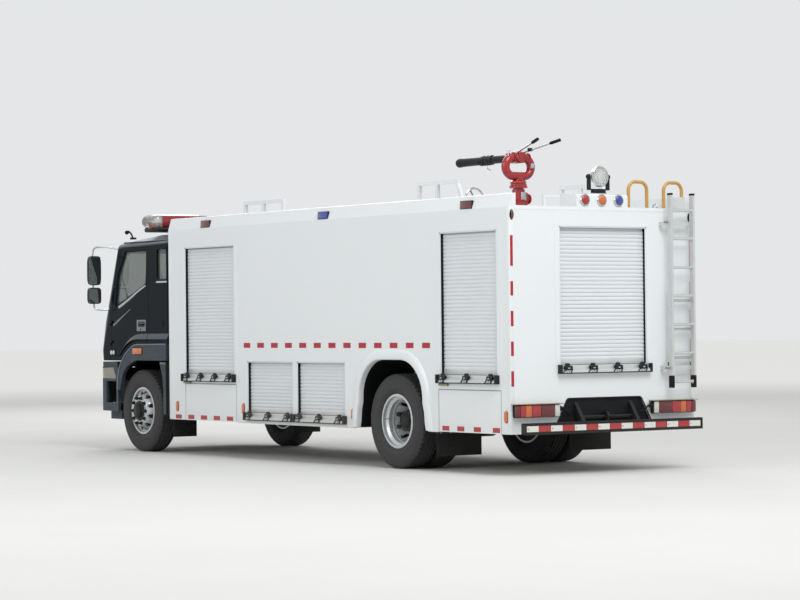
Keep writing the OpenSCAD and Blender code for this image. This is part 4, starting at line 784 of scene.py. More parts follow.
@dataclass
class Repeat:
    """A Geometry Nodes tree that repeats one form along a row or round a ring."""

    layout: Layout
    count: int
    step: tuple = (0.1, 0.0, 0.0)
    radius: float = 0.1

    def bake(self, unit: bpy.types.Mesh, finish: Finish) -> bpy.types.Mesh:
        """Runs the tree on a form and gives the copies as one plain mesh.

        Args:
            unit: The form, at the origin. For a ring, its +X points outwards and +Z is the axis.
            finish: The material that the tree sets.

        Returns:
            The mesh of all copies, about the origin; a ring lies in the XY plane.
        """
        tree = bpy.data.node_groups.new("repeat_" + self.layout.value, "GeometryNodeTree")
        face = tree.interface
        face.new_socket("Geometry", in_out="INPUT", socket_type="NodeSocketGeometry")
        sizes = {}
        for label, kind in (("Count", "NodeSocketInt"), ("Radius", "NodeSocketFloat"),
                            ("Step", "NodeSocketVector")):
            sizes[label] = face.new_socket(label, in_out="INPUT", socket_type=kind).identifier
        face.new_socket("Geometry", in_out="OUTPUT", socket_type="NodeSocketGeometry")
        given = add(tree, "NodeGroupInput")
        if self.layout == Layout.ROW:
            points = add(tree, "GeometryNodeMeshLine", {
                "Count": given.outputs["Count"], "Offset": given.outputs["Step"]}, mode="OFFSET")
            copies = add(tree, "GeometryNodeInstanceOnPoints", {
                "Points": points.outputs[0], "Instance": given.outputs["Geometry"]})
        else:
            points = add(tree, "GeometryNodeMeshCircle", {
                "Vertices": given.outputs["Count"], "Radius": given.outputs["Radius"]})
            facing = add(tree, "FunctionNodeAlignRotationToVector", {
                "Vector": add(tree, "GeometryNodeInputPosition").outputs[0]}, axis="X",
                pivot_axis="Z")
            copies = add(tree, "GeometryNodeInstanceOnPoints", {
                "Points": points.outputs[0], "Instance": given.outputs["Geometry"],
                "Rotation": facing.outputs[0]})
        real = add(tree, "GeometryNodeRealizeInstances", {0: copies.outputs[0]})
        coated = add(tree, "GeometryNodeSetMaterial", {
            "Geometry": real.outputs[0], "Material": finish.material()})
        add(tree, "NodeGroupOutput", {0: coated.outputs[0]})
        holder = bpy.data.objects.new("repeat_holder", unit)
        bpy.context.scene.collection.objects.link(holder)
        modifier = holder.modifiers.new("repeat", "NODES")
        modifier.node_group = tree
        for label, value in (("Count", self.count), ("Radius", self.radius), ("Step", self.step)):
            modifier[sizes[label]] = value
        bpy.context.view_layer.update()
        depsgraph = bpy.context.evaluated_depsgraph_get()
        mesh = bpy.data.meshes.new_from_object(holder.evaluated_get(depsgraph))
        holder.modifiers.clear()
        bpy.data.objects.remove(holder)
        bpy.data.node_groups.remove(tree)
        return mesh


def copies_at(meshes: list, name: str) -> bpy.types.Mesh:
    """Joins meshes, each moved by its own matrix.

    Args:
        meshes: Pairs of a mesh and a matrix.
        name: Name of the result.

    Returns:
        The joined mesh.
    """
    whole = bmesh.new()
    for mesh, place in meshes:
        part = mesh.copy()
        part.transform(place)
        if place.determinant() < 0.0:
            part.flip_normals()
        whole.from_mesh(part)
        bpy.data.meshes.remove(part)
    result = bpy.data.meshes.new(name)
    whole.to_mesh(result)
    whole.free()
    result.polygons.foreach_set("use_smooth", [True] * len(result.polygons))
    result.set_sharp_from_angle(angle=math.radians(SHARP_EDGE))
    return result


def settle_all(parts: list, name: str, finish: Finish, body: str = "chassis",
               replaces: tuple = ()) -> bpy.types.Object:
    """Joins meshes, each moved by its own matrix, as one piece on its body."""
    return settle(copies_at(parts, name), name, finish, body, replaces)


def bolt_head(radius: float, height: float) -> bpy.types.Mesh:
    """Gives a hexagon bolt head on a washer, standing along +Z at the origin."""
    shape = Shape()
    shape.lathe([(0.0, 0.0), (radius * 1.35, 0.0), (radius * 1.35, height * 0.16),
                 (radius * 1.1, height * 0.2), (0.0, height * 0.2)], (0, 0, 0), "z", 12)
    shape.lathe([(0.0, height * 0.1), (radius, height * 0.1), (radius, height * 0.85),
                 (radius * 0.82, height), (0.0, height)], (0, 0, 0), "z", 6)
    return shape.mesh("bolt_head")


def aim(axis: str) -> Matrix:
    """Gives the rotation that turns +Z to an axis, such as "+y" or "-x"."""
    sign = -1.0 if axis.startswith("-") else 1.0
    turns = {"x": Matrix.Rotation(sign * math.pi / 2, 4, "Y"),
             "y": Matrix.Rotation(-sign * math.pi / 2, 4, "X"),
             "z": Matrix.Identity(4) if sign > 0 else Matrix.Rotation(math.pi, 4, "X")}
    return turns[axis[-1]]


class BodyTrim:
    """Tapes, corner profiles, lamps and arch flares on the body's walls."""

    TAPE_T = 0.0012
    STEP_GAP = 0.002
    # Stations of the folding steps' ends, and their top
    STEPS = ((5540, 6760), (170, 1290))
    STEP_TOP = 0.89
    UPPER = (1450.0, 313.0, 13, 150.0, 1.34, 1.40)
    LOW_FRONT = (5620.0, 5932.5, 6245.0, 6557.5, 6870.0)
    LOW_REAR = (190.0, 530.0, 830.0, 1105.0)
    LOW_Z = (0.452, 0.504)
    REAR_BANDS = ((2.20, 2.52), (1.89, 2.04), (1.57, 1.73), (1.26, 1.41), (0.94, 1.10))

    def build(self) -> None:
        """Builds every trim piece of the body."""
        self.side_tapes()
        self.rear_tapes()
        self.corners()
        self.markers()
        self.seams()
        self.jamb_covers()
        self.flares()

    def side_tapes(self) -> None:
        """Sticks the red dashes on both sides."""
        start, pitch, count, length, low, high = self.UPPER
        unit = Shape().block((0, 0, 0), (length / 1000, self.TAPE_T, high - low), 0.0004,
                             segments=1).mesh("dash")
        row = Repeat(Layout.ROW, count, step=(pitch / 1000, 0, 0)).bake(unit, RED_TAPE)
        left = Matrix.Translation((at(start), SIDE, low))
        right = Matrix.Translation((at(start), -SIDE - self.TAPE_T, low))
        settle_all([(row, left), (row, right)], "upper_tapes", RED_TAPE)
        for side, end in HANDS:
            low_y, high_y = side * SIDE, side * (SIDE + self.TAPE_T)
            for place, stations, length, body in (
                    ("front", self.LOW_FRONT[:4], 150, "step_front_" + end),
                    ("rear", self.LOW_REAR, 128, "step_rear_" + end),
                    ("end", self.LOW_FRONT[4:], 150, "chassis")):
                dashes = Shape()
                for s in stations:
                    dashes.block((at(s), low_y, self.LOW_Z[0]),
                                 (at(s + length), high_y, self.LOW_Z[1]), 0.0004,
                                 segments=1)
                dashes.piece(f"low_tapes_{place}_{end}", RED_TAPE, body)

    def rear_tapes(self) -> None:
        """Sticks the bands on the rear corners and along the bumper."""
        bands = Shape()
        for low, high in self.REAR_BANDS:
            bands.blocks((REAR_WALL - 0.0032, 1.205, low), (REAR_WALL - 0.0015, 1.24, high), 0.0004,
                         segments=1)
        count, half, face = 15, 1.185, RearEnd.CHANNEL_X
        white, red, rivets = Shape(), bands, Shape()
        for i in range(count):
            low, high = (-half + 2 * half * (i + k) / count for k in (0, 1))
            segment = white if i % 2 == 0 else red
            segment.block((face - self.TAPE_T, low + 0.002, 0.468),
                          (face, high - 0.002, 0.529), 0.0004, segments=1)
            if i % 2 == 0:
                rivets.lathe([(0.0, 0.0), (0.006, 0.0), (0.005, 0.003), (0.0, 0.004)],
                             (face - self.TAPE_T, high - 0.02, 0.499), "-x", 10)
        red.piece("rear_tapes_red", RED_TAPE)
        white.piece("rear_tapes_white", WHITE_TAPE)
        rivets.piece("tape_rivets", CHASSIS_ENAMEL)

    def corners(self) -> None:
        """Adds the folded corner profiles, the drip rails and the sill folds."""
        fold = Shape()
        low, high, skin = 0.442, DECK - 0.002, 0.0015
        fold.blocks((REAR_WALL - skin, 1.195, low), (REAR_WALL, SIDE + skin, high), 0.0008)
        for start, end in ((REAR_WALL, at(52)), (at(7118), at(7170))):
            fold.blocks((start, SIDE, low), (end, SIDE + skin, high), 0.0007)
        # The flange under the body's edge
        for side in SIDES:
            for start, end in ((1330, 1500), (2985, 5500)):
                fold.block((at(start), side * 1.2, 0.432), (at(end), side * SIDE, 0.4398), 0.002)
        fold.block((REAR_WALL - skin, -1.18, DECK - 0.03), (REAR_WALL, 1.18, high), 0.0007)
        fold.piece("corner_profiles", WHITE_ENAMEL)

    def markers(self) -> None:
        """Replaces the marker lamps with lenses on gaskets."""
        amber, gasket, red, blue = shapes(4)
        for side in SIDES:
            for middle, low, high in ((6970, 0.545, 0.668), (5372, 0.545, 0.668),
                                      (2975, 0.53, 0.652),
                                      (78, 0.56, 0.682)):
                for lens, grow, depth in ((gasket, 0.004, 0.004), (amber, 0.0, 0.012)):
                    lens.prism(self.capsule(at(middle), low - grow, high + grow, 0.026 + grow), "y",
                               side * SIDE, side * (SIDE + depth), 0.0015)
            for middle, lens in ((760, red), (3575, blue), (6255, red)):
                lean = [(side * (1.2495 - 0.4 * h), DECK + h) for h in (0.008, 0.084)]
                out = side * 0.010
                outline = [lean[0], (lean[0][0] + out, lean[0][1] + 0.003),
                           (lean[0][0] + out * 0.6, lean[1][1] + 0.002),
                           (lean[1][0], lean[1][1] - 0.002)]
                lens.prism(outline, "x", at(middle - 102), at(middle + 102), 0.004)
                rim = [(y - 0.3 * out * (k < 1), z) for k, (y, z) in enumerate(outline)]
                gasket.prism([(rim[0][0], rim[0][1] - 0.007),
                              (rim[1][0] - out * 0.5, rim[1][1] - 0.007),
                              (rim[2][0] - out * 0.5, rim[2][1] + 0.006),
                              (rim[3][0], rim[3][1] + 0.006)],
                             "x", at(middle - 109), at(middle + 109), 0.001)
            # Teardrop lenses high on the rear corners
            drop = [(0.0, -0.062), (0.014, -0.05), (0.025, -0.02), (0.027, 0.005), (0.021, 0.035),
                    (0.009, 0.058), (0.0, 0.066)]
            red.lathe(drop, (REAR_WALL + 0.006, side * 1.216, 2.735), "z", 24)
            gasket.lathe([(r * 1.12 + 0.002, h * 1.06) for r, h in drop[1:-1]],
                         (REAR_WALL + 0.012, side * 1.216, 2.735), "z", 24)
        gasket.piece("lamp_gaskets", SEAL_RUBBER, replaces=("marker_lamps",))
        amber.piece("side_markers", AMBER_LENS)
        red.piece("red_markers", DARK_RED_LENS)
        blue.piece("blue_markers", BLUE_LENS)

    @staticmethod
    def capsule(middle: float, low: float, high: float, half: float) -> list:
        """Gives an upright outline with round ends, as X and Z.

        Args:
            middle: Its X.
            low: Its lowest Z.
            high: Its highest Z.
            half: Half its width.

        Returns:
            The outline's points.
        """
        arc = [math.pi * k / 12 for k in range(13)]
        return [(middle + half * math.cos(a), high - half + half * math.sin(a)) for a in arc] + \
            [(middle - half * math.cos(a), low + half - half * math.sin(a)) for a in arc]

    def seams(self) -> None:
        """Lays grey seal strips round the folding step panels."""
        strip, half, gap, top = Shape(), 0.0035, self.STEP_GAP, self.STEP_TOP
        inner, outer = SIDE - 0.02, SIDE + 0.0009
        for start, end in self.STEPS:
            for x in (at(start) - half - gap, at(end) + half + gap):
                strip.blocks((x - half, inner, 0.443), (x + half, outer, top + 0.008), 0.0006, 1)
            strip.blocks((at(start), inner, top + gap), (at(end), outer, top + 0.010), 0.0006, 1)
        strip.piece("step_seams", GREY_SEAL)

    def jamb_covers(self) -> None:
        """Covers the outer edges of the shutter guides with white cover strips."""
        cover = Shape()
        for x, length, low, high in Lockers.SIDE_DOORS:
            for edge in (x, x + length - 15):
                cover.blocks((at(edge), SIDE - 0.002, low),
                             (at(edge + 15), SIDE + 0.0012, high), 0.0005)
            cover.blocks((at(x), SIDE - 0.002, high - 0.015), (at(x + length), SIDE + 0.0012, high),
                         0.0005)
        back, face = REAR_WALL - 0.0012, REAR_WALL + 0.002
        for edge in (Lockers.BACK_Y, 0.58):
            cover.block((back, edge, Lockers.BACK_LOW),
                        (face, edge + 0.015, Lockers.BACK_HIGH), 0.0005)
        cover.block((back, Lockers.BACK_Y, 2.61), (face, -Lockers.BACK_Y, Lockers.BACK_HIGH),
                    0.0005)
        cover.piece("jamb_covers", SLAT_COAT)

    @staticmethod
    def arch_path(grow: float) -> list:
        """Gives the wheel arch's edge seen from the side.

        Args:
            grow: Distance outside the opening.

        Returns:
            Points as X and Z in metres, from the front foot to the rear foot.
        """
        half, top, radius, foot = 0.63, 1.21, 0.43, 0.69
        points = [(foot + grow, 0.445), (foot + grow - 0.02, 0.53), (half + 0.03 + grow, 0.64),
                  (half + grow, 0.74)]
        for k in range(13):
            angle = math.radians(90.0 * k / 12)
            points.append((half - radius + (radius + grow) * math.cos(angle),
                           top - radius + (radius + grow) * math.sin(angle)))
        right = [(REAR_AXLE + x, z) for x, z in points]
        return right + [(REAR_AXLE - x, z) for x, z in reversed(points)]

    def flares(self) -> None:
        """Replaces the wheel arches with pressed flares and a black liner."""
        flare, liner = shapes(2)
        # Distance outside the opening, and height above the wall
        section = ((0.0, -0.05), (0.0, 0.014), (0.005, 0.022), (0.016, 0.025), (0.05, 0.024),
                   (0.082, 0.021), (0.1, 0.013), (0.112, 0.003), (0.118, -0.002), (0.03, -0.006),
                   (0.012, -0.05))
        paths = {grow: self.arch_path(grow) for grow, _ in section}
        for side in SIDES:
            rows = [[(paths[g][i][0], side * (SIDE + out), paths[g][i][1]) for g, out in section]
                    for i in range(len(paths[0.0]))]
            flare.loft(rows)
            inner, outer = self.arch_path(0.001), self.arch_path(0.008)
            rows = [[(inner[i][0], side * 0.56, inner[i][1]),
                     (inner[i][0], side * 1.2, inner[i][1]),
                     (outer[i][0], side * 1.2, outer[i][1]),
                     (outer[i][0], side * 0.56, outer[i][1])]
                    for i in range(len(inner))]
            liner.loft(rows)
        flare.piece("arch_flares", WHITE_ENAMEL, replaces=("wheel_arches",), sharp=50.0)
        liner.piece("arch_liners", SEAL_RUBBER, sharp=50.0)


class Lockers:
    """Latches, lift bars and rods of the roller shutters."""

    # Station of the rear edge, length, low and high edges of each side opening
    SIDE_DOORS = ((220, 1030, 1.06, 2.59), (3130, 1025, 0.545, 1.18), (4245, 1025, 0.545, 1.18),
                  (5570, 1190, 1.02, 2.59))
    LATCHES = (3, 3, 3, 4)
    # Low corner's Y, width, low and high edges of the rear opening
    BACK_Y, BACK_LENGTH, BACK_LOW, BACK_HIGH = -0.595, 1.19, 1.16, 2.625

    def build(self) -> None:
        """Replaces the plain bars with profiled ones that carry real latches."""
        kinds = {name: Shape() for name in ("bars", "black", "bright", "pads", "pedals")}
        for (start, length, low, high), count in zip(self.SIDE_DOORS, self.LATCHES):
            tall = high - low > 1.0
            for side in SIDES:
                place = Matrix.Translation((at(start), side * SIDE, low)) @ Matrix.Diagonal(
                    (1.0, side, 1.0, 1.0))
                self.door(kinds, place, length / 1000, count, 0.0 if tall else 0.024)
                if tall:
                    kinds["pedals"].block((length / 1000 - 0.15, 0.004, -0.124),
                                          (length / 1000 + 0.015, 0.034, -0.101), 0.008, place, 3)
        place = Matrix.Translation((REAR_WALL, self.BACK_Y, self.BACK_LOW)) @ Matrix.Rotation(
            math.pi / 2, 4, "Z")
        self.door(kinds, place, self.BACK_LENGTH, 4, 0.0)
        kinds["bars"].piece("lift_bars", LADDER_ALUMINIUM, replaces=("shutter_bars",))
        kinds["black"].piece("latch_bodies", BLACK_PLASTIC)
        kinds["bright"].piece("latch_levers", STAINLESS)
        kinds["pads"].piece("bar_seals", SLATE_PLASTIC)
        kinds["pedals"].piece("pedal_latches", GALVANISED)

    @staticmethod
    def door(kinds: dict, place: Matrix, length: float, count: int, top: float) -> None:
        """Adds one opening's bar with its latches.

        Args:
            kinds: The shapes that take the bars, black and bright parts and seals.
            place: Moves the opening's low rear corner to its place on the body.
            length: Length of the opening in metres.
            count: Number of latches.
            top: Height of the bar's top above the opening's low edge.
        """
        bars, black, bright = kinds["bars"], kinds["black"], kinds["bright"]
        low = top - 0.098
        bars.block((-0.02, 0.006, low + 0.044), (length + 0.02, 0.018, top - 0.006), 0.003, place)
        ledge = [(0.006, low + 0.052), (0.028, low + 0.047), (0.047, low + 0.033),
                 (0.050, low + 0.011),
                 (0.006, low + 0.011)]
        bars.loft([[place @ Vector((x, y, z)) for y, z in ledge] for x in (-0.028, length + 0.028)])
        kinds["pads"].block((0.0, 0.004, top - 0.006), (length, 0.013, top - 0.0005), 0.001, place)
        black.block((-0.03, 0.004, low), (length + 0.03, 0.053, low + 0.0115), 0.003, place)
        for x in (-0.036, length + 0.004):
            black.block((x, 0.004, low), (x + 0.032, 0.058, top - 0.002), 0.006, place)
        for i in range(count):
            x = 0.088 + i * (length - 0.166) / (count - 1)
            black.block((x - 0.054, 0.016, low + 0.042), (x + 0.050, 0.058, top - 0.012),
                        0.012, place, 3)
            black.block((x - 0.028, 0.014, top - 0.026), (x + 0.030, 0.046, top + 0.014),
                        0.014, place, 3)
            for start, foot in ((-0.050, -0.030), (0.042, 0.078)):
                black.tube([place @ Vector((x + start, 0.052, low + 0.05)),
                            place @ Vector((x + foot, 0.056, low + 0.008))], 0.0055, 8)
            for pad in (-0.012, 0.024):
                bright.block((x + pad - 0.009, 0.046, low + 0.012),
                             (x + pad + 0.009, 0.058, low + 0.038),
                             0.004, place)
            bright.block((x - 0.012, 0.055, low + 0.052), (x + 0.016, 0.0615, low + 0.066),
                         0.002, place)


class RearEnd:
    """Tail lamps, bumper channel, recess, lamp box lenses and ladder feet."""

    LAMP_Z = (0.612, 0.748)
    # Share of the lamp's length from its outer end, and the lens there
    SEGMENTS = ((0.0, 0.11, "dark"), (0.11, 0.23, "red"), (0.23, 0.36, "amber"),
                (0.36, 0.56, "red"), (0.56, 0.86, "dark"), (0.86, 0.97, "white"))

    # Face of the bumper's channel, behind its lips
    CHANNEL_X = at(-184)

    def build(self) -> None:
        """Builds the rear's pieces."""
        self.tail_lamps()
        self.bumper()
        self.recess()
        self.box_lamps()
        self.ladder()

    def tail_lamps(self) -> None:
        """Replaces the tail lamps with housings that carry ribbed lenses."""
        housing, shield, red, dark, amber, white = shapes(6)
        lenses = {"red": red, "dark": dark, "amber": amber, "white": white}
        low, high = self.LAMP_Z
        face = REAR_WALL - 0.05
        for side in SIDES:
            outer, inner = side * 1.235, side * 0.625
            ends = sorted((inner, outer))
            housing.block((face + 0.004, ends[0], low), (REAR_WALL, ends[1], high), 0.028,
                          segments=5)
            shield.block((REAR_WALL - 0.074, ends[0] - 0.02, high + 0.001),
                         (REAR_WALL, ends[1] + 0.015, high + 0.009), 0.003)
            for start, end, kind in self.SEGMENTS:
                span = sorted(outer + (inner - outer) * t for t in (start, end))
                lenses[kind].block((face - 0.010, span[0] + 0.0015, low + 0.006),
                                   (face + 0.012, span[1] - 0.0015, high - 0.006),
                                   0.02 if start == 0.0 else 0.006, segments=3)
            # Gland and short cable into the recess
            gland = [(REAR_WALL - 0.03, inner + side * 0.002, 0.70),
                     (REAR_WALL - 0.03, inner - side * 0.05, 0.70)]
            housing.lathe([(0.0, 0.0), (0.03, 0.0), (0.022, 0.02), (0.012, 0.045), (0.0, 0.05)],
                          gland[0], OUTWARD[-side], 20)
            run = rounded([gland[1], (REAR_WALL - 0.03, side * 0.53, 0.655),
                           (REAR_WALL + 0.01, side * 0.47, 0.635),
                           (REAR_WALL + 0.06, side * 0.42, 0.62)],
                          0.06)
            housing.tube(run, 0.009, 12)
        housing.piece("tail_lamp_housings", SEAL_RUBBER, replaces=("tail_lamps",))
        shield.piece("tail_lamp_shields", GALVANISED)
        red.piece("tail_lenses_red", RED_LENS)
        dark.piece("tail_lenses_dark", DARK_RED_LENS)
        amber.piece("tail_lenses_amber", AMBER_LENS)
        white.piece("tail_lenses_white", WHITE_LENS)

    def bumper(self) -> None:
        """Replaces the rear bumper with a lipped channel, its stays and the recess's lining."""
        lips, half = Shape(), 1.214
        face, back = at(-189.5), at(-130)
        lips.block((self.CHANNEL_X, -half + 0.004, 0.438), (back, half - 0.004, 0.558), 0.003)
        for low, high in ((0.4365, 0.449), (0.547, 0.5595)):
            lips.block((face, -half, low), (back, half, high), 0.003)
        for y in (-half, half - 0.012):
            lips.block((face, y, 0.4365), (back + 0.002, y + 0.012, 0.5595), 0.003)
        for side in SIDES:
            lips.prism([(back, 0.448), (back, 0.548), (at(90), 0.862), (at(90), 0.70)], "y",
                       side * 0.35, side * 0.395, 0.003)
        # The dark lining of the recess, with its pressed ribs
        lips.block((at(66), -0.544, 0.44), (at(76), 0.544, 0.825), 0.002)
        for k in range(8):
            z = 0.47 + 0.042 * k
            lips.blocks((at(53), 0.02, z), (at(67), 0.33, z + 0.022), 0.005)
        heads = []
        for side in SIDES:
            for z in (0.47, 0.52):
                heads.append((bolt_head(0.011, 0.009), Matrix.Translation(
                    (at(-128), side * 0.372, z)) @ aim("+x")))
        lips.piece("bumper_channel", CHASSIS_ENAMEL, replaces=("rear_bumper",))
        settle_all(heads, "bumper_bolts", GALVANISED)

    def recess(self) -> None:
        """Lines the recess around the tow bar with ribbed dark sheet."""
        sheet, frame = shapes(2)
        sheet.block((at(19.6), -0.70, 0.445), (at(21), 0.70, 0.80), 0.0)
        sheet.block((at(31), -0.54, 0.445), (at(58), 0.54, 0.824), 0.002)
        rib = Shape().block((0, 0.03, 0), (0.012, 0.338, 0.022), 0.005, segments=3).mesh("rib")
        row = Repeat(Layout.ROW, 8, step=(0, 0, 0.046)).bake(rib, SLATE_PLASTIC)
        settle_all([(row, Matrix.Translation((at(20), 0, 0.452)))], "recess_ribs", SLATE_PLASTIC)
        edge = [(REAR_WALL, y, z) for y, z in ((-0.70, 0.442), (-0.505, 0.80), (0.505, 0.80),
                                               (0.70, 0.442))]
        frame.tube(rounded(edge, 0.03), 0.007, 8)
        # Folding tow bar pin and its keeper between the brackets
        frame.tube([(at(-20), -0.345, 0.60), (at(-20), 0.345, 0.60)], 0.018, 16)
        frame.lathe([(0.03, 0.0), (0.055, 0.0), (0.055, 0.03), (0.03, 0.03)],
                    (at(-20), -0.015, 0.60), "y", 28, closed=True)
        sheet.piece("recess_sheet", SEAL_RUBBER)
        frame.piece("recess_frame", CHASSIS_ENAMEL)

    def box_lamps(self) -> None:
        """Sets domed lenses with chrome rims into the lamp box."""
        rims = Shape()
        dome = [(0.052, 0.012), (0.047, 0.020), (0.036, 0.026), (0.02, 0.030), (0.0, 0.031)]
        for y, lens, name in ((0.23, RED_LENS, "red"), (0.0, AMBER_LENS, "amber"),
                              (-0.23, BLUE_LENS, "blue")):
            place = (at(12), y, DECK + 0.0875)
            rims.lathe([(0.050, 0.0), (0.062, 0.0), (0.064, 0.006), (0.060, 0.014), (0.052, 0.016),
                        (0.050, 0.012)], place, "-x", 40, closed=True)
            Shape().lathe([(0.052, 0.0)] + dome, place, "-x", 40).piece("box_lens_" + name, lens)
        # Cable grommets and the seam around the box's lid
        rims.lathe([(0.0, 0.0), (0.018, 0.0), (0.014, 0.01), (0.0, 0.012)],
                   (at(180), 0.30, DECK + 0.155), "z", 16)
        rims.piece("box_lamp_rims", CHROME)
        lid = Shape()
        lid.block((at(30), -0.352, DECK + 0.1555), (at(302), 0.332, DECK + 0.1605), 0.002)
        lid.piece("lamp_box_lid", WHITE_ENAMEL)

    def ladder(self) -> None:
        """Adds the ladder's rubber feet, caps, rung treads and clamps."""
        rubber, metal, heads = Shape(), Shape(), []
        for y in (-0.866, -1.176):
            rubber.block((at(-139), y - 0.003, 0.885), (at(-71), y + 0.029, 1.02), 0.006)
            rubber.block((at(-139), y - 0.002, 2.972), (at(-71), y + 0.028, 2.996), 0.005)
            rubber.block((at(-76), y - 0.012, 1.115), (at(-46), y + 0.018, 1.165), 0.004)
        for k in range(7):
            z = 0.95 + 0.31 * k
            for tilt in (-0.009, 0.009):
                metal.block((at(-106) + tilt - 0.0022, -1.148, z + 0.0125),
                            (at(-106) + tilt + 0.0022, -0.868, z + 0.0162), 0.0008, segments=1)
            for y in (-0.8665, -1.149):
                metal.lathe([(0.015, 0.0), (0.023, 0.0), (0.021, 0.004), (0.015, 0.005)],
                            (at(-105), y, z), "y" if y < -1 else "-y", 20, closed=True)
        for z in (1.0825, 2.6625):
            for y in (-1.18, -0.83, -0.80):
                heads.append((bolt_head(0.009, 0.008), Matrix.Translation((at(-75), y, z + 0.02))
                              @ aim("-x")))
        metal.piece("ladder_treads", LADDER_ALUMINIUM)
        rubber.piece("ladder_feet", SEAL_RUBBER)
        settle_all(heads, "ladder_bolts", GALVANISED)


class Fitting:
    """A fitting whose pieces stand about one point, at X, Y and Z."""

    X = Y = Z = 0.0

    def near(self, x: float, y: float, z: float) -> tuple:
        """Gives a point by its distances from the fitting's middle."""
        return (self.X + x, self.Y + y, self.Z + z)


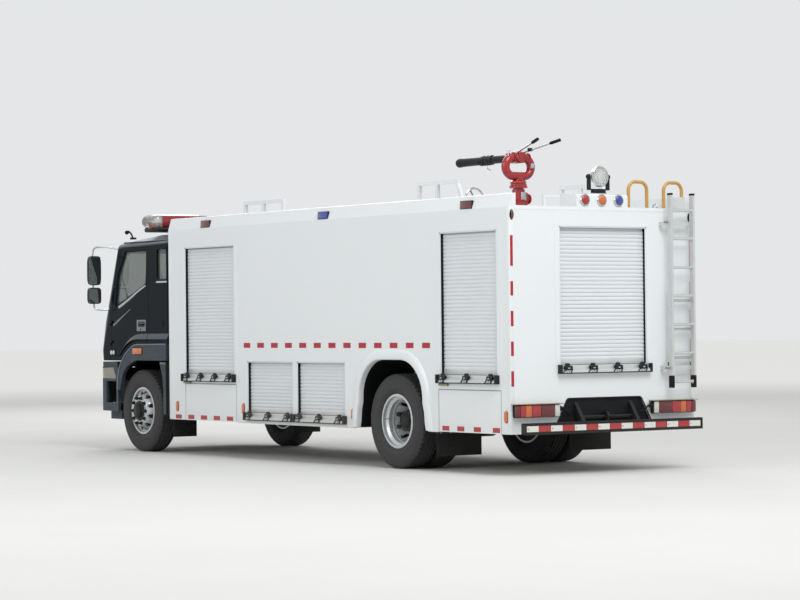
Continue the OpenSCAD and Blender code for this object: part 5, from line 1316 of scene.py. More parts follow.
class Monitor(Fitting):
    """The water monitor's valve body, handles, bolts and dressed barrel."""

    X, Y, Z = at(690), 0.6, 3.385

    def build(self) -> None:
        """Builds the pieces of base, head and barrel."""
        self.base()
        self.head()
        self.barrel()

    def base(self) -> None:
        """Adds flange rings, bolts, the valve's body and its plate."""
        red, bright, heads = Shape(), Shape(), []
        for z, radius, height in ((DECK + 0.016, 0.105, 0.012), (DECK + 0.235, 0.098, 0.026),
                                  (DECK + 0.264, 0.092, 0.016), (DECK + 0.1, 0.082, 0.012)):
            red.lathe([(0.05, 0.0), (radius, 0.0), (radius, height - 0.004),
                       (radius - 0.004, height), (0.05, height)], (self.X, self.Y, z), "z", 48)
        red.lathe([(0.03, 0.0), (0.056, 0.0), (0.056, 0.014), (0.03, 0.014)],
                  (self.X, self.Y - 0.122, DECK + 0.12), "-y", 32)
        red.block((self.X - 0.05, self.Y - 0.10, DECK + 0.05), (self.X + 0.05, self.Y - 0.05,
                                                              DECK + 0.19), 0.016, segments=4)
        unit = copies_at([(bolt_head(0.008, 0.01), Matrix.Identity(4))], "unit")
        for radius, height, count in ((0.098, DECK + 0.018, 8), (0.084, DECK + 0.261, 8)):
            ring = Repeat(Layout.RING, count, radius=radius).bake(unit, GALVANISED)
            heads.append((ring, Matrix.Translation((self.X, self.Y, height))))
        # Ball valve lever and the blank plate beside the column
        bright.tube(rounded([(self.X + 0.06, self.Y, DECK + 0.15),
                             (self.X + 0.1, self.Y, DECK + 0.15),
                             (self.X + 0.12, self.Y + 0.02, DECK + 0.06)], 0.02), 0.008, 10)
        bright.block((self.X - 0.075, self.Y - 0.05, DECK + 0.10), (self.X - 0.071, self.Y + 0.02,
                                                                  DECK + 0.19), 0.001)
        red.piece("monitor_flanges", MONITOR_RED)
        bright.piece("monitor_valve_lever", STAINLESS)
        settle_all(heads, "monitor_bolts", GALVANISED)

    def head(self) -> None:
        """Adds swivel collars, bolts and the plate on the turning ring."""
        red, bright, heads = Shape(), Shape(), []
        red.lathe([(0.04, 0.0), (0.088, 0.0), (0.09, 0.006), (0.086, 0.02), (0.068, 0.034),
                   (0.04, 0.034)], (self.X, self.Y, 3.104), "z", 48)
        unit = bolt_head(0.007, 0.009)
        ring = Repeat(Layout.RING, 8, radius=0.077).bake(unit, GALVANISED)
        heads.append((ring, Matrix.Translation((self.X, self.Y, 3.124))))
        for side in SIDES:
            y = self.Y + side * 0.128
            red.lathe([(0.0, 0.0), (0.052, 0.0), (0.05, 0.010), (0.03, 0.016), (0.0, 0.018)],
                      (self.X, y, self.Z), OUTWARD[side], 36)
        bright.block((self.X - 0.062, self.Y - 0.17, 3.27), (self.X - 0.056, self.Y - 0.125, 3.325),
                     0.001)
        bright.tube([(self.X - 0.02, self.Y + 0.145, 3.40), (self.X - 0.02, self.Y + 0.145, 3.455)],
                    0.006, 8)
        bright.tube([(self.X - 0.055, self.Y + 0.145, 3.455),
                     (self.X + 0.015, self.Y + 0.145, 3.455)],
                    0.006, 8)
        red.piece("monitor_collars", MONITOR_RED, "monitor_head")
        bright.piece("monitor_plate", STAINLESS, "monitor_head")
        settle_all(heads, "swivel_bolts", GALVANISED, "monitor_head")

    def barrel(self) -> None:
        """Replaces the barrel with a banded tube, a red cross body and silver levers."""
        black, red, bright, grips = shapes(4)
        mid = (self.X, self.Y, self.Z)
        red.lathe([(0.0, -0.066), (0.052, -0.066), (0.062, -0.05), (0.064, 0.05), (0.056, 0.075),
                   (0.05, 0.084), (0.0, 0.084)], mid, "x", 36)
        red.lathe([(0.026, -0.098), (0.026, -0.064), (0.052, -0.054), (0.052, 0.054),
                   (0.026, 0.064), (0.026, 0.098)], mid, "y", 32)
        red.lathe([(0.045, 0.085), (0.058, 0.085), (0.058, 0.105), (0.045, 0.105)], mid, "x", 36,
                  closed=True)
        tube = [(0.036, 1.088), (0.036, 0.79), (0.0, 0.79), (0.0, 0.08), (0.042, 0.08),
                (0.042, 0.45)]
        for k in range(5):
            x = 0.455 + 0.042 * k
            tube += [(0.043, x), (0.051, x + 0.006), (0.052, x + 0.026), (0.043, x + 0.034)]
        tube += [(0.043, 0.68), (0.045, 0.70), (0.046, 1.03), (0.05, 1.04), (0.0505, 1.082),
                 (0.047, 1.089)]
        black.lathe(tube, mid, "x", 40, closed=True)
        # The spiral straps around the tube's middle
        for k in range(3):
            turn = [(self.X + 0.44 + 0.07 * k + 0.10 * t / 24,
                     self.Y + 0.0505 * math.cos(math.tau * t / 24),
                     self.Z + 0.0505 * math.sin(math.tau * t / 24)) for t in range(25)]
            black.tube(turn, 0.006, 6)
        bright.tube(rounded([self.near(0.56, 0.0, -0.05),
                             self.near(0.56, 0.0, -0.09),
                             self.near(0.50, 0.0, -0.11)], 0.02), 0.006, 8)
        for side in SIDES:
            foot = Vector((self.X, self.Y + side * 0.03, self.Z + 0.044))
            tip = Vector((self.X - 0.545, self.Y + side * 0.15, self.Z + 0.161))
            bright.tube([foot, foot.lerp(tip, 0.79)], 0.0105, 14)
            grips.tube([foot.lerp(tip, 0.75), foot.lerp(tip, 0.775), foot.lerp(tip, 0.8)],
                       0.0145, 14)
            grips.tube([foot.lerp(tip, 0.78), tip], 0.0165, 16)
            for t in (0.80, 0.86, 0.92, 0.98):
                grips.tube([foot.lerp(tip, t), foot.lerp(tip, t + 0.015)], 0.0185, 16)
        bright.block(self.near(-0.03, -0.055, 0.03), self.near(0.03, 0.055, 0.066), 0.008)
        grips.block(self.near(-0.16, -0.085, 0.062),
                    self.near(-0.115, -0.035, 0.098), 0.008)
        black.piece("barrel_tube", BLACK_PLASTIC, "monitor_barrel", replaces=("monitor_barrel",))
        red.piece("barrel_cross", MONITOR_RED, "monitor_barrel")
        bright.piece("barrel_levers", STAINLESS, "monitor_barrel")
        grips.piece("barrel_grips", SEAL_RUBBER, "monitor_barrel")


class Searchlight(Fitting):
    """The searchlight's chrome head with its gridded lens."""

    X, Y, Z = at(205), -0.11, 3.17

    def build(self) -> None:
        """Replaces the plain head, with ribs at its back, and adds knobs and a foot ring."""
        shell, rim, glass, grid = shapes(4)
        mid = (self.X, self.Y, self.Z)
        shell.lathe([(0.0, -0.052), (0.045, -0.050), (0.07, -0.044), (0.098, -0.018), (0.108, 0.0),
                     (0.110, 0.026), (0.104, 0.026), (0.0, 0.018)], mid, "-x", 48)
        rim.lathe([(0.096, 0.022), (0.112, 0.018), (0.1145, 0.026), (0.1145, 0.038),
                   (0.108, 0.0435),
                   (0.098, 0.04)], mid, "-x", 56, closed=True)
        glass.lathe([(0.0, 0.024), (0.1, 0.024), (0.1, 0.036), (0.06, 0.040), (0.0, 0.0415)], mid,
                    "-x", 48)
        for k in range(-4, 5):
            reach = math.sqrt(max(0.0976 ** 2 - (0.022 * k) ** 2, 0.0))
            x = self.X - 0.0405
            grid.tube([(x, self.Y + 0.022 * k, self.Z - reach),
                       (x, self.Y + 0.022 * k, self.Z + reach)],
                      0.0022, 6)
            grid.tube([(x, self.Y - reach, self.Z + 0.022 * k),
                       (x, self.Y + reach, self.Z + 0.022 * k)],
                      0.0022, 6)
        for k in range(4):
            z = self.Z - 0.036 + 0.024 * k
            shell.block((self.X + 0.04, self.Y - 0.05, z - 0.002), (self.X + 0.062, self.Y + 0.05,
                                                                  z + 0.002), 0.0015, segments=1)
        for side in SIDES:
            shell.lathe([(0.0, 0.0), (0.0088, 0.0), (0.0088, 0.027), (0.0, 0.027)],
                        (self.X, self.Y + side * 0.109, self.Z), OUTWARD[side], 20)
        shell.piece("searchlight_shell", CHROME, "searchlight_head", replaces=("searchlight_head",))
        rim.piece("searchlight_rim", CHROME, "searchlight_head")
        glass.piece("searchlight_lens", WHITE_LENS, "searchlight_head")
        grid.piece("searchlight_grid", STAINLESS, "searchlight_head")
        knobs, base = shapes(2)
        for side in SIDES:
            knobs.lathe([(0.0, 0.0), (0.026, 0.0), (0.026, 0.010), (0.02, 0.018), (0.0, 0.019)],
                        (self.X, self.Y + side * 0.1362, self.Z), OUTWARD[side], 12)
        base.lathe([(0.07, 0.0), (0.095, 0.0), (0.095, 0.012), (0.084, 0.020), (0.07, 0.02)],
                   (self.X, self.Y, DECK + 0.155), "z", 40)
        knobs.piece("searchlight_knobs", BLACK_PLASTIC, "searchlight_yoke")
        base.piece("searchlight_foot", BLACK_PLASTIC)


def ledge(shape: Shape, path: tuple, side: int, last: float = 1.0) -> None:
    """Adds the folded band above the arch trim, whose face looks up and out.

    Args:
        shape: The shape that takes the band.
        path: Stations in millimetres and Z of the band's middle.
        side: 1 for left, -1 for right.
        last: Share of the band's height that is left at the path's end.
    """
    middle = rounded([(at(x), CAB_SIDE, z) for x, z in path], 0.14, 8)
    rows = []
    for i, (x, _, z) in enumerate(middle):
        share = 1.0 + (last - 1.0) * i / (len(middle) - 1)
        half, out = 0.037 * share, 0.034 * share
        section = ((-0.004, half), (0.0, half), (out * 0.94, 0.008 - half), (out, 0.003 - half),
                   (out * 0.9, -half), (-0.004, -half))
        rows.append([(x, side * (CAB_SIDE + y), z + dz) for y, dz in section])
    shape.loft(rows)


class CabOutside:
    """Trim, lamps, mirrors and handles of the cab."""

    def build(self) -> None:
        """Builds the pieces on the cab's outside."""
        self.light_bar()
        self.mirrors()
        self.side_trim()
        self.door_trim()
        self.front()
        self.bumper()

    def light_bar(self) -> None:
        """Replaces the light bar with a red and clear shell on a dark base."""
        base, red, clear, inner, bright = shapes(5)
        middle, low = at(8300), 2.845
        base.block((middle - 0.185, -0.87, low), (middle + 0.185, 0.87, low + 0.062), 0.02,
                   segments=3)
        base.blocks((middle - 0.06, 0.42, 2.775), (middle + 0.06, 0.52, low + 0.01), 0.008)
        base.block((middle - 0.17, -0.24, low + 0.04), (middle + 0.17, 0.24, 3.062), 0.03,
                   segments=4)

        def section(y: float, shrink: float) -> list:
            """Gives the shell's rounded section at a Y, smaller all round by shrink."""
            return [(middle + (0.2 - shrink) * c, y, 2.982 + (0.092 - shrink) * s)
                    for c, s in squircle(28, 0.5, 0.55)]

        for side in SIDES:
            red.loft([section(side * y, g) for y, g in ((0.235, 0.012), (0.24, 0.0), (0.50, 0.0),
                                                        (0.80, 0.002))])
            clear.loft([section(side * y, g) for y, g in (
                (0.802, 0.004), (0.86, 0.006), (0.895, 0.02), (0.915, 0.042), (0.926, 0.070))])
            for y in (0.34, 0.50, 0.66, 0.85):
                inner.lathe([(0.0, 0.0), (0.05, 0.0), (0.058, 0.03), (0.056, 0.05), (0.04, 0.08),
                             (0.0, 0.09)], (middle - 0.02, side * y, low + 0.045), "z", 24)
            for y in (0.42, 0.58, 0.75):
                bright.block((middle - 0.13, side * y - 0.004, low + 0.05),
                             (middle + 0.13, side * y + 0.004, 3.045), 0.003)
        base.piece("light_bar_base", BLACK_PLASTIC, "cab", replaces=("light_bar",))
        red.piece("light_bar_red", RED_SHELL, "cab")
        clear.piece("light_bar_ends", CLEAR_LENS, "cab")
        inner.piece("light_bar_beacons", RED_LENS, "cab")
        bright.piece("light_bar_reflectors", CHROME, "cab")

    def mirrors(self) -> None:
        """Replaces the mirrors with cupped housings, glasses and bent tube arms."""
        shells, glass, arms = shapes(3)
        x, y0 = at(8960), 1.37
        for side in SIDES:
            for low, high in ((2.160, 2.545), (1.915, 2.130)):
                rows = []
                middle, half_h, half_w = (low + high) / 2, (high - low) / 2, 0.0925
                for dx, shrink in ((-0.045, 0.006), (-0.043, 0.0), (0.0, 0.0), (0.03, 0.014),
                                   (0.045, 0.045)):
                    rows.append([(x + dx, side * (y0 + (half_w - shrink) * c),
                                  middle + (half_h - shrink) * s) for c,
                                  s in squircle(28, 0.4, 0.4)])
                shells.loft(rows)
                glass.block((x - 0.0462, side * y0 - half_w + 0.012, low + 0.012),
                            (x - 0.0445, side * y0 + half_w - 0.012, high - 0.012), 0.0008,
                            segments=1)
            top = rounded(flipped([(at(8650), 1.12, 2.625), (at(8800), 1.27, 2.665), (x, y0, 2.66),
                                   (x + 0.01, y0 + 0.01, 2.53)], side), 0.09, 8)
            low = rounded(flipped([(x, y0, 1.93), (x, y0 - 0.01, 1.845), (at(8900), 1.26, 1.835),
                                   (at(8872), 1.155, 1.85)], side), 0.06, 8)
            arms.tube(top, 0.0125, 14)
            arms.tube(low, 0.0125, 14)
            arms.tube(flipped([(x + 0.012, y0, 2.5), (x + 0.012, y0, 1.96)], side), 0.013, 14)
            for place in (top[0], low[-1]):
                arms.block((place[0] - 0.03, place[1] - 0.022, place[2] - 0.028),
                           (place[0] + 0.03, place[1] + 0.022, place[2] + 0.028), 0.012, segments=3)
        shells.piece("mirror_shells", BLACK_PLASTIC, "cab", replaces=("mirrors",), sharp=50.0)
        glass.piece("mirror_glasses", MIRROR, "cab")
        arms.piece("mirror_arms", STAINLESS, "cab")

    def side_trim(self) -> None:
        """Adds arch lips, indicators, quarter window trim and roof fittings."""
        dark, amber, chrome, rubber, black, pale = shapes(6)
        for side in SIDES:
            def flat(points: list) -> list:
                """Puts side-view points onto this side's trim face."""
                return [(at(px), side * 1.251, z) for px, z in points]

            lip = rounded(flat([(7262, 1.186), (8070, 1.186), (8290, 1.10), (8400, 1.0),
                                (8474, 0.795)]), 0.12, 8)
            dark.tube(lip, 0.011, 10)
            # The trim's crown is a pale tube: a painted highlight along the edge that catches the
            # light
            crown = rounded(flat([(7262, 1.384), (8110, 1.379), (8350, 1.249), (8499, 1.08),
                                  (8534, 0.96), (8548, 0.795)]), 0.12, 8)
            pale.tube(crown, 0.008, 10)
            amber.block((at(7885), side * 1.25, 1.255),
                        (at(8120), side * 1.262, 1.335), 0.008, segments=3)
            rubber.block((at(7877), side * 1.249, 1.247),
                         (at(8128), side * 1.254, 1.343), 0.005)
            # The crease above the arch trim, as a folded band in the skin; its upward face shows
            # the painted sky reflection
            ledge(black, ((7264, 1.481), (7795, 1.481)), side)
            # Two small chrome domes low on the cab's corner: a painted highlight for the bright
            # glint there
            for k in (0, 1):
                chrome.lathe([(0.0, 0.0), (0.026, 0.004), (0.03, 0.012), (0.0, 0.016)],
                             (at(8790 - 62 * k), side * 1.195, 1.275), OUTWARD[side], 20)
            # Rubber frame of the quarter window and the pale strip below it
            frame = [(7315, 2.205), (7575, 2.205), (7575, 2.603), (7315, 2.603)]
            ring = [(at(px), side * 1.196, z) for px, z in frame]
            rubber.tube(rounded(ring + [ring[0], ring[1]], 0.04, 6), 0.009, 8)
            chrome.block((at(7310), side * 1.196, 2.165),
                         (at(7585), side * 1.2035, 2.188), 0.003)
            dark.blocks((at(7400), 1.196, 1.60), (at(7420), 1.206, 1.69), 0.004)
        # Hook lamp on the roof's front edge
        for side in SIDES:
            stalk = rounded(flipped([(at(8560), 0.99, 2.76), (at(8590), 1.0, 2.83),
                                     (at(8640), 1.02, 2.87), (at(8680), 1.02, 2.85)], side),
                                     0.03, 6)
            rubber.tube(stalk, 0.011, 10)
            rubber.block((at(8520), side * 0.99 - 0.03, 2.755),
                         (at(8600), side * 0.99 + 0.03, 2.782),
                         0.008)
            rubber.lathe([(0.0, 0.0), (0.022, 0.004), (0.028, 0.02), (0.022, 0.045), (0.0, 0.05)],
                         (at(8700), side * 1.02, 2.85), "-x", 20)
        # Gutter that runs along the roof's edge
        for side in SIDES:
            gutter = [(at(7330), side * 1.165, 2.706), (at(8480), side * 1.165, 2.703)]
            black.tube(gutter, 0.010, 10)
        dark.piece("arch_trim_lips", SLATE_PLASTIC, "cab")
        pale.piece("arch_trim_highlight", HIGHLIGHT_PLASTIC, "cab")
        amber.piece("side_indicators", AMBER_LENS, "cab")
        chrome.piece("quarter_strips", CHROME, "cab")
        rubber.piece("cab_rubbers", SEAL_RUBBER, "cab")
        black.piece("cab_creases", BLACK_ENAMEL, "cab")

    def door_trim(self) -> None:
        """Adds belt strips, handles, seals and inner cards to the doors."""
        for side, end in HANDS:
            body = "door_" + end
            bright, dark, rubber, enamel, card, pale = shapes(6)
            low_y, high_y = side * 1.197, side * 1.206
            belt = rounded([(at(px), side * y, z) for px, y, z in (
                (7852, 1.199, 2.138), (8080, 1.200, 2.056), (8290, 1.198, 1.968),
                (8513, 1.192, 1.892), (8728, 1.178, 1.82))], 0.2, 8)
            bright.strip(belt, 0.024, 0.010, Vector((0, side, 0)), 1.9)
            # The lower door crease is a pale strip: a painted highlight along its edge
            second = [(at(px), side * 1.1985, z) for px, z in ((8270, 1.836), (8500, 1.735),
                                                               (8725, 1.632))]
            pale.strip(rounded(second, 0.1, 6), 0.010, 0.008, Vector((0, side, 0)), 3.0)
            ledge(enamel,
                  ((7806, 1.481), (8110, 1.481), (8300, 1.432), (8440, 1.352), (8560, 1.25)),
                  side, 0.35)
            # Handle: a cup with a rim in the pale painted-highlight plastic and a pull bar across
            # it
            pale.block((at(7864), low_y, 1.552), (at(8098), high_y, 1.698), 0.024, segments=4)
            cup = (side * 1.197, side * 1.2075)
            dark.block((at(7886), cup[0], 1.606), (at(8060), cup[1], 1.676), 0.016, segments=4)
            bar = (side * 1.205, side * 1.222)
            enamel.block((at(7880), bar[0], 1.628), (at(8040), bar[1], 1.656), 0.009, segments=3)
            dark.lathe([(0.0, 0.0), (0.014, 0.0), (0.012, 0.003), (0.0, 0.004)],
                       (at(7990), side * 1.2055, 1.577), OUTWARD[side], 16)
            # Window seal along the glass, and the seal in the door's shut line
            window = [(7852, 1.199, 2.155), (8675, 1.176, 1.882), (8622, 1.174, 2.262),
                      (8418, 1.172, 2.588), (7852, 1.175, 2.590)]
            ring = [(at(px), side * y, z) for px, y, z in window]
            rubber.tube(rounded(ring + [ring[0], ring[1]], 0.03, 5), 0.009, 8)
            inner = (side * 1.10, side * 1.143)
            card.block((at(7850), inner[0], 1.45), (at(8740), inner[1], 1.95), 0.02, segments=3)
            card.block((at(7990), side * 1.06, 1.72),
                       (at(8450), side * 1.12, 1.77), 0.018, segments=3)
            bright.piece("door_bright_" + end, STAINLESS, body)
            pale.piece("door_pale_" + end, HIGHLIGHT_PLASTIC, body)
            dark.piece("door_cup_" + end, BLACK_PLASTIC, body)
            rubber.piece("door_seal_" + end, SEAL_RUBBER, body)
            enamel.piece("door_crease_" + end, BLACK_ENAMEL, body)
            card.piece("door_card_" + end, SLATE_PLASTIC, body)

    def front(self) -> None:
        """Adds wipers, grille bars, the bare badge plate and washer jets."""
        black, chrome = shapes(2)
        for y, reach in ((0.62, 0.62), (0.02, 0.6), (-0.58, 0.6)):
            foot = Vector((at(9120), y, 1.70))
            head = Vector((at(9052), y + 0.22, 2.08))
            black.tube([foot, foot.lerp(head, 0.5) + Vector((0.02, 0, 0)), head], 0.008, 8)
            black.tube([head + Vector((0.055, -reach / 2 * 0.35, -0.30)), head,
                        head + Vector((-0.05, reach / 2 * 0.3, 0.25))], 0.007, 8)
            black.lathe([(0.0, 0.0), (0.02, 0.0), (0.018, 0.02), (0.0, 0.024)], foot, "x", 16)
        for z in (1.2, 1.6):
            chrome.block((at(9172), -0.58, z), (at(9181), 0.58, z + 0.014), 0.003)
        chrome.block((at(9172), -0.12, 1.36), (at(9182), 0.12, 1.44), 0.004)
        black.piece("wipers", BLACK_PLASTIC, "cab")
        chrome.piece("grille_brightwork", CHROME, "cab")

    def bumper(self) -> None:
        """Adds lamps, steps and trim to the bumper."""
        reflectors, amber, black, treads, chrome = shapes(5)
        for side in SIDES:
            for y in (0.80, 0.98):
                reflectors.lathe([(0.0, 0.0), (0.04, 0.004), (0.062, 0.03), (0.064, 0.036),
                                  (0.058, 0.036), (0.0, 0.012)], (at(9080), side * y, 1.005),
                                  "x", 28)
            amber.block((at(8700), side * 1.165, 0.95),
                        (at(8760), side * 1.19, 1.06), 0.01)
            # Housing behind the headlamp, seen through the arch
            black.block((at(8985), side * 0.69, 0.935),
                        (at(9084), side * 1.12, 1.072), 0.03, segments=3)
            for k in range(4):
                treads.block((at(8700) + 0.045 * k, side * 1.08 - 0.08, 0.6195),
                             (at(8700) + 0.045 * k + 0.02, side * 1.08 + 0.08, 0.6235), 0.001,
                             segments=1)
            black.lathe([(0.0, 0.0), (0.055, 0.0), (0.06, 0.02), (0.0, 0.026)],
                        (at(9154), side * 0.86, 0.66), "x", 28)
            chrome.tube([(at(9160), side * 0.34, 0.56), (at(9160), side * 0.34, 0.62)], 0.018, 12)
        black.block((at(9165), -0.24, 0.62), (at(9176), 0.24, 0.75), 0.006)
        black.block((at(9150), -0.68, 0.846), (at(9168), 0.68, 0.862), 0.004)
        reflectors.piece("headlamp_reflectors", CHROME)
        amber.piece("bumper_indicators", AMBER_LENS)
        black.piece("bumper_details", BLACK_PLASTIC)
        treads.piece("bumper_treads", LADDER_ALUMINIUM)
        chrome.piece("bumper_brightwork", CHROME)


class CabInside:
    """Seats, dashboard and wheel behind the windows."""

    SEAT_Y = 0.56
    FLOOR = 1.225

    def build(self) -> None:
        """Replaces the plain interior with cushions, a moulded dash and pedals."""
        self.seats()
        self.dash()
        self.wheel()

    def seats(self) -> None:
        """Builds the two seats as padded cushions on plinths."""
        plinth = Shape()
        for side, end in ((1, "driver"), (-1, "mate")):
            y = side * self.SEAT_Y
            x = at(7450)
            plinth.block((x + 0.06, y - 0.18, self.FLOOR), (x + 0.44, y + 0.18, self.FLOOR + 0.28),
                         0.03, segments=3)
            plinth.lathe([(0.19, 0.0), (0.2, 0.05), (0.19, 0.1), (0.2, 0.15)],
                         (x + 0.25, y, self.FLOOR + 0.06), "z", 24)
            lift = Matrix.Translation((x + 0.26, y, self.FLOOR + 0.28))
            # Stands a cushion up and leans it back
            upright = Matrix.Rotation(math.radians(96.0), 4, "Y") @ Matrix.Rotation(math.pi, 4, "X")
            back = Matrix.Translation((x + 0.13, y, self.FLOOR + 0.70)) @ upright
            head = Matrix.Translation((x + 0.12, y, self.FLOOR + 1.09)) @ upright
            for name, size, place, fill in (("seat_base_", (0.52, 0.50, 0.13), lift, 0.75),
                                            ("seat_back_", (0.60, 0.47, 0.12), back, 0.7),
                                            ("head_rest_", (0.17, 0.28, 0.09), head, 0.8)):
                cushion = Shape().loft(self.cushion(*size))
                bmesh.ops.transform(cushion.bm, matrix=place, verts=cushion.bm.verts)
                cushion.piece(name + end, SEAT_CLOTH, "cab", sharp=80.0)
        plinth.piece("seat_plinths", BLACK_PLASTIC, "cab")

    @staticmethod
    def cushion(length: float, width: float, height: float) -> list:
        """Gives a crowned closed form with pulled-in sides and two sewn channels.

        Args:
            length: Size along X.
            width: Size along Y.
            height: Height of the crown above the flat underside.

        Returns:
            Loops of points from the underside to the middle of the crown.
        """
        rows, around = [], 48
        # Share of the outline and share of the height, from below up the side and over the crown
        steps = ((0.90, 0.0), (0.97, 0.10), (1.0, 0.35), (0.985, 0.56), (0.96, 0.60), (0.965, 0.64),
                 (0.93, 0.80), (0.82, 0.91), (0.62, 0.97), (0.4, 0.99), (0.2, 1.0), (0.04, 1.0))
        for share, level in steps:
            row = []
            for k, (c, s) in enumerate(squircle(around, 0.45, 0.45)):
                corner = abs(math.sin(2 * (math.tau * k / around)))
                pull = 1.0 - 0.035 * (1.0 - corner) * min(1.0, 4.0 * level)
                u, v = c * share * pull, s * share * pull
                dip = sum(math.exp(-((v - spot) / 0.035) ** 2) for spot in (-0.52, 0.52))
                low = 0.10 * dip if level > 0.62 else 0.0
                row.append((u * length / 2, v * width / 2, (level - low) * height))
            rows.append(row)
        return rows

    def dash(self) -> None:
        """Moulds the dashboard, its binnacle and the tunnel."""
        dash, black, bright = shapes(3)
        dash.prism([(at(8720), 1.36), (at(8700), 1.52), (at(8740), 1.66), (at(8800), 1.69),
                    (at(8960), 1.665), (at(8970), 1.40), (at(8850), 1.35)], "y", -1.04, 1.04, 0.02)
        dash.block((at(8700), 0.30, 1.64), (at(8860), 0.82, 1.76), 0.04, segments=4)
        dash.block((at(7560), -0.23, self.FLOOR), (at(8720), 0.23, self.FLOOR + 0.18), 0.05,
                   segments=4)
        black.block((at(8690), 0.36, 1.655), (at(8702), 0.76, 1.735), 0.01)
        black.block((at(8700), -0.2, 1.46), (at(8716), 0.2, 1.63), 0.01)
        for y in (-0.14, 0.0, 0.14):
            bright.lathe([(0.0, 0.0), (0.02, 0.0), (0.017, 0.02), (0.0, 0.022)], (at(8700), y, 1.5),
                         "-x", 20)
        black.tube(rounded([(at(8300), 0.12, self.FLOOR + 0.17), (at(8310), 0.13, 1.62),
                            (at(8270), 0.13, 1.72)], 0.05), 0.012, 10)
        black.lathe([(0.0, 0.0), (0.022, 0.004), (0.027, 0.022), (0.02, 0.042), (0.0, 0.05)],
                    (at(8270), 0.13, 1.70), "z", 20)
        for y in (0.42, 0.55, 0.7):
            black.block((at(8640), y - 0.035, self.FLOOR + 0.06), (at(8660), y + 0.035,
                                                                 self.FLOOR + 0.18), 0.008)
        column = [(at(8719), 0.56, 1.632), (at(8573), 0.56, 1.84)]
        black.tube([column[0], column[1]], 0.034, 20)
        dash.piece("dashboard", SLATE_PLASTIC, "cab", replaces=("cab_interior",))
        black.piece("cab_controls", BLACK_PLASTIC, "cab")
        bright.piece("dash_knobs", STAINLESS, "cab")

    def wheel(self) -> None:
        """Adds a hub pad to the steering wheel."""
        pad = Shape()
        lean = Matrix.Translation((at(8570), 0.56,
                                   1.845)) @ Matrix.Rotation(math.radians(-35), 4, "Y")
        pad.block((-0.075, -0.06, 0.045), (0.075, 0.06, 0.064), 0.012, lean, segments=3)
        pad.piece("wheel_pad", SLATE_PLASTIC, "steering_wheel")


